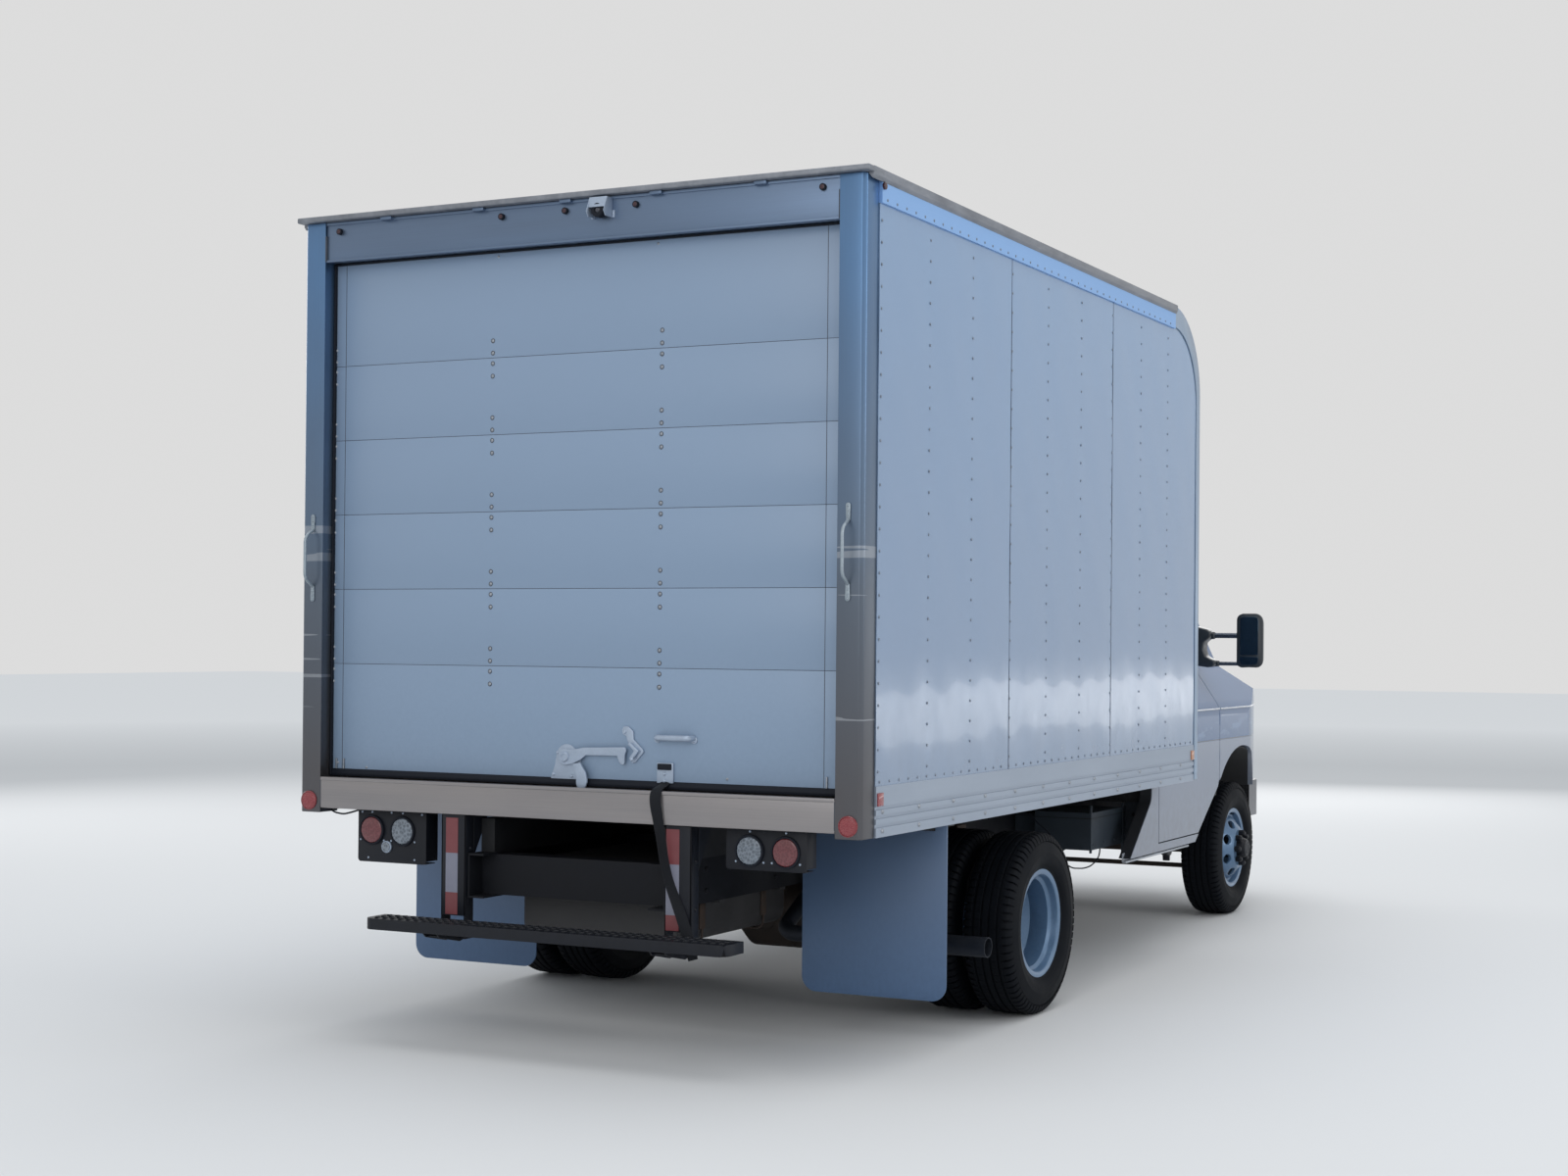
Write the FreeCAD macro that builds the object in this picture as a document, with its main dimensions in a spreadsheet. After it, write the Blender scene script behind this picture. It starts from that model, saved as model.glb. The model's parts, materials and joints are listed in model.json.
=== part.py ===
import FreeCAD, Part

import math
import os
import re

import Sketcher

doc = FreeCAD.newDocument("box_truck")

# The truck stands on z = 0 and faces +Y, with +X to its right. Every distance
# forward is measured from the rear face of the load body, and the helpers below
# add the place of that face, so that the origin is under the middle of the truck.

SIZES = [
    # name, millimetres or degrees or count, meaning
    ("rear_face", -2928, "place of the rear face of the load body"),
    # load body
    ("body_length", 3658, "load body, rear face to front face"),
    ("body_width", 2438, "load body, over the skins"),
    ("body_low", 845, "underside of the cross sills, rails and posts"),
    ("post_width", 102, "rear post across the truck"),
    ("post_depth", 101, "rear post along the truck"),
    ("post_round", 14, "rounded outer corner of a rear post"),
    ("post_drop", 23, "top of the rear posts and header, below the roof"),
    ("header_drop", 177, "underside of the rear header, below the roof"),
    ("sill_low", 863, "underside of the rear sill"),
    ("sill_top", 983, "top of the rear sill and of the floor"),
    ("roof_top", 3141, "top of the roof"),
    ("roof_lip", 22, "how far the roof lip stands past the rear frame"),
    ("wall", 45, "side wall, skin to lining"),
    ("floor_board", 36, "thickness of the floor boards"),
    ("cross_sill_width", 50, "width of a cross sill"),
    ("cross_sill_last", 516, "last cross sill from the front end of the load body"),
    ("cross_sill_first", 300, "first cross sill from the rear face"),
    ("cross_sill_count", 8, "number of cross sills"),
    ("rail_top", 1022, "top of the side bottom rail"),
    ("rail_proud", 6, "how far the bottom rail stands past the skin"),
    ("groove_width", 12, "groove in the bottom rail"),
    ("groove_depth", 5, "depth of that groove"),
    ("groove_first", 33, "lowest groove above the rail's lower edge"),
    ("groove_pitch", 31, "spacing of the grooves"),
    ("top_rail_drop", 111, "lower edge of the top rail, below the roof"),
    ("top_rail_proud", 12, "how far the top rail stands past the skin"),
    ("roof_skin", 36, "thickness of the roof"),
    ("nose_radius", 400, "round front edge of the roof"),
    ("front_wall", 60, "front wall thickness"),
    ("door_recess", 65, "rear door behind the rear face"),
    ("door_thick", 22, "roll-up door panel"),
    ("seam_first", 1418, "lowest seam of the roll-up door"),
    ("seam_pitch", 287.5, "spacing of the door seams"),
    ("seam_count", 5, "number of door seams"),
    ("seam_cut", 4, "width and depth of a seam"),
    ("seal_high", 24, "rubber seal under the door"),
    # latch and handles
    ("latch_x", -41, "pivot of the latch"),
    ("latch_z", 1100, "height of the latch pivot"),
    ("latch_reach", 265, "length of the latch lever"),
    ("latch_thick", 10, "thickness of the latch plates"),
    ("keeper_x", 235, "latch keeper"),
    ("keeper_top", 1196, "top of the latch keeper"),
    ("pull_left", 353, "left end of the pull handle"),
    ("pull_right", 513, "right end of the pull handle"),
    ("pull_z", 1169, "height of the pull handle"),
    ("grab_x", 1162, "grab handle on the post"),
    ("grab_low", 1664, "lower foot of the grab handle"),
    ("grab_high", 1986, "upper foot of the grab handle"),
    ("grab_bar", 8, "radius of the handle bars"),
    ("grab_stand", 55, "how far a grab handle stands off"),
    ("pull_stand", 30, "how far the pull handle stands off"),
    # lamps
    ("header_lamp_drop", 62, "lamps in the header, below the roof"),
    ("header_lamp_radius", 11, "lamp in the header"),
    ("header_lamp_in", 293, "inner pair of header lamps"),
    ("header_lamp_out", 1051, "outer pair of header lamps"),
    ("camera_x", 142, "rear view camera"),
    ("camera_size", 62, "width of the camera housing"),
    ("corner_lamp_x", 1170, "round lamp at the foot of a post"),
    ("corner_lamp_z", 890, "its height"),
    ("corner_lamp_radius", 37, "its radius"),
    ("side_lamp_y", 96, "small lamp on the top rail"),
    ("rail_lamp_front", 58, "front lamp on the bottom rail, from the front end"),
    ("rail_lamp_size", 48, "square lamp on the bottom rail"),
    ("rail_lamp_z", 972, "its height"),
    ("tail_box_in", 656, "inner end of a tail lamp box"),
    ("tail_box_out", 980, "outer end of a tail lamp box"),
    ("tail_box_low", 715, "underside of the right tail lamp box"),
    ("plate_box_low", 660, "underside of the left box with the number plate lamp"),
    ("tail_box_rear", 60, "rear face of the boxes"),
    ("tail_box_deep", 70, "depth of the boxes"),
    ("tail_lamp_z", 783, "height of the tail lamps"),
    ("tail_lamp_radius", 52, "radius of a tail lamp"),
    ("stop_lamp_x", 897, "red tail lamp"),
    ("clear_lamp_x", 752, "clear reversing lamp"),
    ("lamp_proud", 9, "how far a lamp stands out"),
    # rear step
    ("hanger_x", 490, "step hanger post"),
    ("hanger_width", 110, "width of a hanger post"),
    ("hanger_deep", 50, "depth of a hanger post"),
    ("step_half", 780, "half the width of the rear step"),
    ("step_rear", -150, "rear edge of the step"),
    ("step_front", -22, "front edge of the step"),
    ("step_top", 482, "top of the step"),
    ("step_thick", 46, "thickness of the step"),
    ("step_round", 40, "rounded ends of the step"),
    # mud flaps
    ("flap_y", 706, "mud flap behind the rear wheels"),
    ("flap_thick", 8, "thickness of a mud flap"),
    ("flap_in", 612, "inner edge of a mud flap"),
    ("flap_low", 189, "lower edge of a mud flap"),
    ("flap_round", 60, "rounded lower corners"),
    # chassis
    ("wheelbase", 3505, "front axle ahead of the rear axle"),
    ("rear_axle", 1650, "rear axle from the rear face"),
    ("rail_half", 430, "outer face of a frame rail"),
    ("rail_flange", 70, "width of the frame rail's flange"),
    ("rail_web", 7, "thickness of the frame rail"),
    ("rail_base", 555, "underside of the frame rails"),
    ("rail_head", 720, "top of the frame rails"),
    ("rail_front", 5700, "front end of the frame rails"),
    ("member_width", 90, "crossmember along the truck"),
    ("sill_beam", 60, "width of a sill beam between frame and body"),
    # wheels and axles
    ("tyre_radius", 372, "tyre radius, and the height of the axles"),
    ("tyre_width", 223, "section width of a tyre"),
    ("tread_half", 84, "half the width of the tread"),
    ("tyre_wall", 20, "thickness of the tyre"),
    ("bead_half", 85, "half the width over the beads"),
    ("rim_radius", 203, "bead seat radius"),
    ("flange_radius", 221, "rim flange radius"),
    ("rim_half", 89, "half the width over the rim flanges"),
    ("rim_sheet", 6, "thickness of the rim"),
    ("rim_drop", 18, "depth of the rim's well"),
    ("rim_well", 45, "half the width of the rim's well"),
    ("rim_slope", 10, "slanted side of the rim's well"),
    ("disc_offset", 127, "mounting face from the middle of the rim"),
    ("hub_bore", 62, "centre hole of the rim"),
    ("hub_flange", 13, "thickness of the hub flange behind a rim"),
    ("hub_inner", 110, "inner end of a hub from the mounting face"),
    ("front_cap", 26, "outer end of a front hub from that face"),
    ("front_bore", 88, "depth of the bore of a front hub"),
    ("rear_cap", 68, "outer end of a rear hub from that face"),
    ("rear_bore", 70, "depth of the bore of a rear hub"),
    ("hand_hole", 27, "radius of the holes in the rim disc"),
    ("hand_hole_circle", 141, "radius of the circle of those holes"),
    ("hand_hole_count", 8, "number of those holes"),
    ("outer_wheel_x", 1120, "middle of the outer rear tyre"),
    ("dual_spacing", 254, "spacing of the twin tyres"),
    ("front_wheel_x", 865, "middle of a front tyre"),
    ("king_pin_x", 790, "steering axis"),
    ("king_pin", 20, "radius of the king pin"),
    ("king_pin_wall", 14, "wall of the eye round the king pin"),
    ("spindle", 28, "radius of the front spindle"),
    ("axle_tube", 50, "radius of the rear axle tubes"),
    ("banjo", 175, "radius of the differential housing"),
    ("fit", 0.3, "running clearance of a pin or shaft"),
    ("yoke_gap", 6, "clearance between beam end and knuckle"),
    ("beam_thick", 36, "thickness of a front axle beam"),
    ("beam_high", 84, "height of a front axle beam"),
    ("knuckle_half", 34, "half the width of a knuckle lug"),
    ("knuckle_lug", 26, "thickness of a knuckle lug"),
    ("knuckle_web", 24, "thickness of the knuckle's web"),
    ("arm_reach", 115, "steering arm behind the front axle"),
    ("arm_half", 18, "half the width of the steering arm"),
    ("tie_rod_drop", 30, "tie rod below the steering arms"),
    ("tie_rod_radius", 13, "radius of the tie rod"),
    ("tie_pin", 14, "radius of the pins at the ends of the tie rod"),
    ("spring_x", 520, "rear leaf spring"),
    ("spring_width", 76, "width of the leaf spring"),
    ("spring_half", 640, "half the length of the leaf spring"),
    ("spring_stack", 60, "height of the leaf pack at the axle"),
    ("coil_x", 560, "front coil spring"),
    ("coil_radius", 62, "radius of the front coil spring"),
    # drive train and tanks
    ("engine_rear", 4725, "rear of the engine"),
    ("engine_front", 5360, "front of the engine"),
    ("engine_half", 290, "half the width of the engine"),
    ("engine_low", 440, "underside of the engine"),
    ("engine_high", 1040, "top of the engine"),
    ("gearbox_rear", 3950, "rear of the gearbox"),
    ("gearbox_z", 520, "height of the gearbox"),
    ("gearbox_radius", 120, "radius of the gearbox"),
    ("bell_radius", 190, "radius of the bell housing"),
    ("shaft_z", 430, "height of the propeller shaft"),
    ("shaft_radius", 45, "radius of the propeller shaft"),
    ("radiator_half", 390, "half the width of the radiator"),
    ("radiator_thick", 50, "thickness of the radiator"),
    ("radiator_low", 620, "underside of the radiator"),
    ("radiator_high", 1070, "top of the radiator"),
    ("tank_half", 340, "half the width of the fuel tank"),
    ("tank_rear", 250, "rear of the fuel tank"),
    ("tank_front", 1050, "front of the fuel tank"),
    ("tank_low", 390, "underside of the fuel tank"),
    ("tank_high", 690, "top of the fuel tank"),
    ("pipe_radius", 32, "exhaust pipe"),
    ("pipe_bend", 70, "bends of the exhaust pipe"),
    ("tip_radius", 39, "exhaust tail pipe"),
    ("tip_y", 1100, "exhaust tail pipe from the rear face"),
    ("tip_z", 342, "height of the tail pipe"),
    ("tip_end", 1215, "end of the tail pipe"),
    ("pipe_x", 300, "exhaust pipe over the rear axle"),
    ("pipe_ahead", 300, "front bend of that pipe ahead of the axle"),
    ("pipe_behind", 260, "rear bend of that pipe behind the axle"),
    ("pipe_end", 100, "end of the pipe inside the tail pipe"),
    ("muffler_x", 250, "middle of the muffler"),
    ("muffler_z", 440, "height of the muffler"),
    ("pipe_z", 500, "height of the exhaust pipe"),
    ("muffler_radius", 105, "radius of the muffler"),
    ("muffler_rear", 2350, "rear of the muffler"),
    ("muffler_front", 2950, "front of the muffler"),
    ("battery_rear", 3167, "rear of the battery box"),
    ("battery_front", 3609, "front of the battery box"),
    ("battery_out", 850, "outer face of the battery box"),
    ("battery_plate", 448, "length of the holed plate ahead of the battery box"),
    ("battery_in", 560, "inner face of the battery box"),
    ("battery_low", 519, "underside of the battery box"),
    ("battery_high", 699, "top of the battery box"),
    # cab
    ("cab_half", 1007, "half the width of the cab"),
    ("cab_back", 3672, "back wall of the cab"),
    ("cab_tail", 3300, "rear tip of the lower side panel"),
    ("cab_low", 475, "underside of the cab sides"),
    ("cab_roof_z", 2085, "top of the cab roof"),
    ("roof_half", 740, "half the width of the cab at its roof"),
    ("belt_z", 1170, "height where the cab sides start to lean in"),
    ("shoulder_z", 1400, "height of the shoulder under the windows"),
    ("shoulder_half", 850, "half the width of the cab at that shoulder"),
    ("screen_top_y", 4500, "upper edge of the windscreen"),
    ("screen_foot_y", 5165, "lower edge of the windscreen"),
    ("screen_foot_z", 1400, "height of that edge"),
    ("bonnet_lip_y", 5800, "front edge of the bonnet"),
    ("bonnet_lip_z", 1185, "height of that edge"),
    ("nose_ahead", 125, "front of the grille ahead of the bonnet's edge"),
    ("nose_z", 1080, "upper edge of the grille"),
    ("taper_y", 5330, "where the cab starts to narrow"),
    ("corner_x", 885, "front corner across"),
    ("corner_y", 5790, "front corner along"),
    ("nose_half", 690, "half the width of the flat nose"),
    ("cab_wall", 62, "cab wall and door thickness"),
    ("cab_roof_thick", 48, "cab roof thickness"),
    ("arch_radius", 578, "front wheel arch"),
    ("arch_step_y", 4280, "lower rear end of the arch"),
    ("arch_knee_y", 4752, "where the arch leaves its circle"),
    ("arch_knee_z", 790, "height of that place"),
    ("door_front", 4726, "front edge of a cab door"),
    ("door_rear", 3720, "rear edge of a cab door"),
    ("door_low", 520, "lower edge of a cab door"),
    ("door_high", 2000, "upper edge of a cab door"),
    ("gap", 6, "gap round a door, bonnet or lid"),
    ("window_low", 1425, "lower edge of the side window"),
    ("window_high", 1930, "upper edge of the side window"),
    ("window_rear", 3850, "rear edge of the side window"),
    ("window_front", 4570, "front lower corner of the side window"),
    ("window_lean", 140, "how far the front edge of the window leans back"),
    ("pillar_knee_z", 1760, "where the door edge starts to follow the windscreen"),
    ("pillar_lean", 236, "how far it leans back above that"),
    ("tail_top", 3607, "upper end of the slanted rear edge of that panel"),
    ("tail_z", 740, "height of that place"),
    ("back_thick", 30, "cab back wall"),
    ("glass", 6, "thickness of the glass"),
    ("bonnet_half", 660, "half the width of the bonnet"),
    ("bonnet_rear", 5240, "rear edge of the bonnet"),
    ("bonnet_thick", 30, "bonnet thickness"),
    ("cab_floor_z", 765, "top of the cab floor"),
    ("cab_floor_thick", 45, "cab floor thickness"),
    ("firewall_y", 4690, "bulkhead between cab and engine"),
    ("firewall_thick", 30, "bulkhead thickness"),
    ("grille_half", 560, "half the width of the grille opening"),
    ("grille_low", 760, "lower edge of the grille"),
    ("grille_bars", 5, "number of bars in the grille"),
    ("lamp_out", 812, "outer end of a headlamp"),
    ("bumper_front", 6005, "front of the bumper"),
    ("bumper_low", 507, "underside of the bumper"),
    ("bumper_high", 715, "top of the bumper"),
    ("bumper_half", 886, "half the width of the bumper"),
    ("valance_low", 425, "underside of the valance"),
    # seats, dash, steering wheel
    ("seat_x", 450, "middle of a seat"),
    ("seat_half", 240, "half the width of a seat"),
    ("seat_rear", 3740, "rear of a seat"),
    ("seat_front", 4370, "front of a seat"),
    ("seat_top", 1130, "top of the seat cushion"),
    ("seat_back_top", 1760, "top of the seat back"),
    ("dash_rear", 4480, "rear face of the dashboard"),
    ("dash_half", 785, "half the width of the dashboard"),
    ("dash_top", 1370, "top of the dashboard"),
    ("dash_low", 1080, "underside of the dashboard"),
    ("steer_radius", 190, "steering wheel"),
    ("steer_y", 4350, "steering wheel from the rear face"),
    ("steer_z", 1335, "height of the steering wheel"),
    # mirrors
    ("mirror_in", 1136, "inner edge of a mirror"),
    ("mirror_width", 147, "width of a mirror"),
    ("mirror_low", 1390, "lower edge of a mirror"),
    ("mirror_high", 1688, "upper edge of a mirror"),
    ("mirror_y", 4610, "glass side of a mirror"),
    ("mirror_deep", 85, "depth of a mirror"),
    ("mirror_round", 45, "rounded corners of a mirror"),
    ("arm_high_z", 1566, "upper mirror arm"),
    ("arm_high_radius", 15, "radius of the upper arm"),
    ("arm_low_z", 1414, "lower mirror arm"),
    ("arm_low_radius", 11, "radius of the lower arm"),
    ("bracket_low", 1016, "end of the mirror bracket at the lower arm"),
    ("bracket_high", 990, "end of the mirror bracket at the upper arm"),
    ("bracket_neck", 945, "mirror bracket between the arms"),
    # pull strap
    ("strap_radius", 4, "half the width of the pull strap"),
    ("strap_x", 402, "pull strap at the door"),
    ("strap_top", 1056, "upper end of the pull strap"),
]

sheet = doc.addObject("Spreadsheet::Sheet", "Sizes")
for line, (name, number, meaning) in enumerate(SIZES, start=1):
    sheet.set(f"A{line}", meaning)
    sheet.set(f"B{line}", str(number))
    sheet.setAlias(f"B{line}", name)
doc.recompute()

ALIAS = re.compile(r"\b(" + "|".join(name for name, number, meaning in SIZES) + r")\b")
UPRIGHT = FreeCAD.Rotation()
TURNS = {
    "x": FreeCAD.Rotation(FreeCAD.Vector(0, 1, 0), 90),
    "y": FreeCAD.Rotation(FreeCAD.Vector(1, 0, 0), -90),
    "z": UPRIGHT,
}
nodes = []


def size(name):
    """The number in the sheet under this name."""
    return float(sheet.get(name))


def bind(item, prop, formula):
    """Tie a property to the sheet, with bare size names in the formula."""
    item.setExpression(prop, ALIAS.sub(r"Sizes.\1", str(formula)))


def unique(name):
    """A free internal name for a helper object."""
    return f"{name}_{len(doc.Objects)}"


def node(label, item):
    """Name a finished sub-part, and keep it for the export."""
    item.Label = label
    nodes.append(item)
    return item


def place(item, x, y, z):
    """Bind the place of an object. y is forward of the load body's rear face."""
    bind(item, "Placement.Base.x", x)
    bind(item, "Placement.Base.y", f"rear_face + ({y})")
    bind(item, "Placement.Base.z", z)


def block(x, y, z):
    """A box between two limits along each axis."""
    item = doc.addObject("Part::Box", unique("block"))
    for side, (low, high) in zip(("Length", "Width", "Height"), (x, y, z)):
        bind(item, side, f"({high}) - ({low})")
    place(item, x[0], y[0], z[0])
    return item


def rod(axis, start, length, radius):
    """A cylinder from a start point along x, y or z."""
    item = doc.addObject("Part::Cylinder", unique("rod"))
    item.Placement.Rotation = TURNS[axis]
    bind(item, "Radius", radius)
    bind(item, "Height", length)
    place(item, *start)
    return item


def fuse(items):
    """Several touching solids as one."""
    item = doc.addObject("Part::MultiFuse", unique("fuse"))
    item.Shapes = items
    item.Refine = True
    return item


def group(items):
    """Like solids that don't touch, kept in one sub-part."""
    item = doc.addObject("Part::Compound", unique("group"))
    item.Links = items
    return item


def cut(base, tools):
    """Take the tools out of the base."""
    item = doc.addObject("Part::Cut", unique("cut"))
    item.Base = base
    item.Tool = tools[0] if len(tools) == 1 else group(tools)
    item.Refine = True
    return item


def common(items):
    """What all the items share."""
    item = doc.addObject("Part::MultiCommon", unique("common"))
    item.Shapes = items
    item.Refine = True
    return item


def mirrored(item):
    """The same piece on the other side of the truck."""
    copy = doc.addObject("Part::Mirroring", unique("mirrored"))
    copy.Source = item
    copy.Normal = FreeCAD.Vector(1, 0, 0)
    return copy


def swapped(item):
    """The same piece turned half a turn about the middle of the front axle."""
    turn = doc.addObject("Part::Mirroring", unique("swapped"))
    turn.Source = mirrored(item)
    turn.Normal = FreeCAD.Vector(0, 1, 0)
    bind(turn, "Base.y", "rear_face + rear_axle + wheelbase")
    return turn


def both(item):
    """The piece and its mirror image, as one group."""
    return group([item, mirrored(item)])


def outline(body, plane, points):
    """A closed polygon on one of the body's own planes, every corner bound."""
    sketch = body.newObject("Sketcher::SketchObject", unique("outline"))
    flat = [item for item in body.Origin.OriginFeatures if item.Role == plane][0]
    sketch.AttachmentSupport = [(flat, "")]
    sketch.MapMode = "FlatFace"
    count = len(points)
    start = [
        FreeCAD.Vector(math.cos(turn), math.sin(turn), 0)
        for turn in (2 * math.pi * step / count for step in range(count))
    ]
    for step in range(count):
        sketch.addGeometry(Part.LineSegment(start[step], start[(step + 1) % count]))
    for step, (across, up) in enumerate(points):
        sketch.addConstraint(
            Sketcher.Constraint("Coincident", step, 2, (step + 1) % count, 1)
        )
        for kind, formula, rough in (
            ("DistanceX", across, start[step].x),
            ("DistanceY", up, start[step].y),
        ):
            spot = sketch.addConstraint(
                Sketcher.Constraint(kind, -1, 1, step, 1, rough)
            )
            bind(sketch, f"Constraints[{spot}]", formula)
    return sketch


def corner_edges(solid, sketch, corner, normal):
    """Names of the edges that rise from one corner of the outline."""
    doc.recompute()
    spot = sketch.Placement.multVec(sketch.Geometry[corner].StartPoint)
    names = []
    for index, edge in enumerate(solid.Shape.Edges, start=1):
        if len(edge.Vertexes) != 2:
            continue
        offsets = [vertex.Point - spot for vertex in edge.Vertexes]
        if all(offset.cross(normal).Length < 0.01 for offset in offsets):
            names.append(f"Edge{index}")
    return names


def prism(plane, points, low, high, rounds=None):
    """A polygon padded across x (YZ), y (XZ) or z (XY), some corners rounded."""
    body = doc.addObject("PartDesign::Body", unique("prism"))
    sketch = outline(body, plane, points)
    if plane == "XZ_Plane":
        bind(sketch, "AttachmentOffset.Base.z", f"-(rear_face + ({high}))")
        normal = FreeCAD.Vector(0, 1, 0)
    elif plane == "YZ_Plane":
        bind(sketch, "AttachmentOffset.Base.x", "rear_face")
        bind(sketch, "AttachmentOffset.Base.z", low)
        normal = FreeCAD.Vector(1, 0, 0)
    else:
        bind(sketch, "AttachmentOffset.Base.y", "rear_face")
        bind(sketch, "AttachmentOffset.Base.z", low)
        normal = FreeCAD.Vector(0, 0, 1)
    pad = body.newObject("PartDesign::Pad", unique("pad"))
    pad.Profile = sketch
    bind(pad, "Length", f"({high}) - ({low})")
    for corner, radius in (rounds or {}).items():
        solid = body.Tip
        fillet = body.newObject("PartDesign::Fillet", unique("fillet"))
        fillet.Base = (solid, corner_edges(solid, sketch, corner, normal))
        bind(fillet, "Radius", radius)
    return body


def turned(points, middle_x, axle_y):
    """A ring turned about an axle line across the truck, at axle height."""
    body = doc.addObject("PartDesign::Body", unique("turned"))
    sketch = outline(body, "XY_Plane", points)
    spin = body.newObject("PartDesign::Revolution", unique("spin"))
    spin.Profile = sketch
    spin.ReferenceAxis = (sketch, ["H_Axis"])
    spin.Angle = 360
    place(body, middle_x, axle_y, "tyre_radius")
    return body


# Load body

HALF = "body_width / 2"


def rear_frame():
    """Posts, header, sill and the lip of the roof round the rear door."""
    post = prism(
        "XY_Plane",
        [
            (f"{HALF} - post_width", "0"),
            (HALF, "0"),
            (HALF, "post_depth"),
            (f"{HALF} - post_width", "post_depth"),
        ],
        "body_low",
        "roof_top - post_drop",
        {1: "post_round"},
    )
    inside = f"{HALF} - post_width"
    header = block(
        (f"-({inside})", inside), ("0", "post_depth"), ("roof_top - header_drop", "roof_top - post_drop")
    )
    sill = block((f"-({inside})", inside), ("0", "post_depth"), ("sill_low", "sill_top"))
    edge = f"{HALF} + roof_lip"
    lip = block((f"-({edge})", edge), ("-roof_lip", "post_depth"), ("roof_top - post_drop", "roof_top"))
    node("rear_frame", fuse([post, mirrored(post), header, sill, lip]))


def load_floor():
    """Floor boards on a row of cross sills and two sill beams over the frame."""
    inside = f"{HALF} - wall"
    boards = block(
        (f"-({inside})", inside),
        ("post_depth", "body_length - front_wall"),
        ("sill_top - floor_board", "sill_top"),
    )
    sills = []
    pitch = "(body_length - cross_sill_first - cross_sill_last) / (cross_sill_count - 1)"
    for step in range(int(size("cross_sill_count"))):
        near = f"cross_sill_first + {step} * {pitch}"
        sills.append(
            block(
                (f"-({inside})", inside),
                (near, f"{near} + cross_sill_width"),
                ("body_low", "sill_top - floor_board"),
            )
        )
    beam = block(
        ("rail_half - sill_beam", "rail_half"),
        ("post_depth", "body_length - front_wall"),
        ("rail_head", "body_low"),
    )
    node("load_floor", fuse([boards, beam, mirrored(beam)] + sills))


def side_walls():
    """Flat side walls, whose upper front corner follows the nose."""
    front = "body_length - front_wall"
    wall = prism(
        "YZ_Plane",
        [
            ("post_depth", "rail_top"),
            (front, "rail_top"),
            (front, "roof_top - top_rail_drop"),
            ("post_depth", "roof_top - top_rail_drop"),
        ],
        f"{HALF} - wall",
        HALF,
        {2: "nose_radius - front_wall"},
    )
    node("side_walls", both(wall))


def side_rails():
    """Grooved bottom rails and plain top rails."""
    out = f"{HALF} + rail_proud"
    points = [(f"{HALF} - wall", "body_low"), (out, "body_low")]
    for step in range(3):
        near = f"body_low + groove_first + {step} * groove_pitch"
        points += [
            (out, near),
            (f"{out} - groove_depth", near),
            (f"{out} - groove_depth", f"{near} + groove_width"),
            (out, f"{near} + groove_width"),
        ]
    points += [(out, "rail_top"), (f"{HALF} - wall", "rail_top")]
    low = prism("XZ_Plane", points, "post_depth", "body_length - front_wall")
    high = block(
        (f"{HALF} - wall", f"{HALF} + top_rail_proud"),
        ("post_depth", "body_length - nose_radius"),
        ("roof_top - top_rail_drop", "roof_top"),
    )
    node("side_rails", group([low, mirrored(low), high, mirrored(high)]))


def roof_and_nose():
    """Flat roof, and the front wall that curves up into it."""
    inside = f"{HALF} - wall"
    roof = block(
        (f"-({inside})", inside),
        ("post_depth", "body_length - nose_radius"),
        ("roof_top - roof_skin", "roof_top"),
    )
    node("body_roof", roof)
    back = "body_length - nose_radius"
    front = "body_length"
    nose = prism(
        "YZ_Plane",
        [
            (f"{front} - front_wall", "body_low"),
            (front, "body_low"),
            (front, "roof_top"),
            (back, "roof_top"),
            (back, "roof_top - top_rail_drop"),
            (f"{front} - front_wall", "roof_top - top_rail_drop"),
        ],
        f"-({HALF})",
        HALF,
        {2: "nose_radius - 1", 5: "nose_radius - front_wall - 1"},
    )
    node("front_wall", nose)


def roll_up_door():
    """The closed sectional door, grooved at each seam, on its rubber seal."""
    outside = "door_recess"
    across = (f"post_width - {HALF}", f"{HALF} - post_width")
    panel = block(
        across,
        (outside, f"{outside} + door_thick"),
        ("sill_top + seal_high", "roof_top - header_drop"),
    )
    seams = []
    for step in range(int(size("seam_count"))):
        near = f"seam_first + {step} * seam_pitch"
        seams.append(
            block(
                across,
                (outside, f"{outside} + seam_cut"),
                (f"{near} - seam_cut / 2", f"{near} + seam_cut / 2"),
            )
        )
    seal = block(
        across,
        (f"{outside} + 2", f"{outside} + door_thick - 2"),
        ("sill_top", "sill_top + seal_high"),
    )
    node("roll_up_door", fuse([cut(panel, seams), seal]))


def path_between(points, bends):
    """Straight runs through the points, joined by an arc at each inner point."""
    edges = []
    start = points[0]
    for before, corner, after, bend in zip(points, points[1:], points[2:], bends):
        back = (before - corner).normalize()
        ahead = (after - corner).normalize()
        half_turn = (math.pi - back.getAngle(ahead)) / 2
        reach = bend * math.tan(half_turn)
        middle = (back + ahead).normalize()
        centre = corner + middle * (bend / math.cos(half_turn))
        first = corner + back * reach
        last = corner + ahead * reach
        edges.append(Part.makeLine(start, first))
        edges.append(Part.Arc(first, centre - middle * bend, last).toShape())
        start = last
    edges.append(Part.makeLine(start, points[-1]))
    return Part.Wire(edges)


def limp_bends(points):
    """The widest bend that fits at each inner point of a limp cord's route."""
    bends = []
    spots = [FreeCAD.Vector(*point) for point in points]
    for before, corner, after in zip(spots, spots[1:], spots[2:]):
        shorter = min((corner - before).Length, (after - corner).Length)
        half_turn = (corner - before).getAngle(after - corner) / 2
        bends.append(0.45 * shorter / math.tan(half_turn))
    return bends


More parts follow.
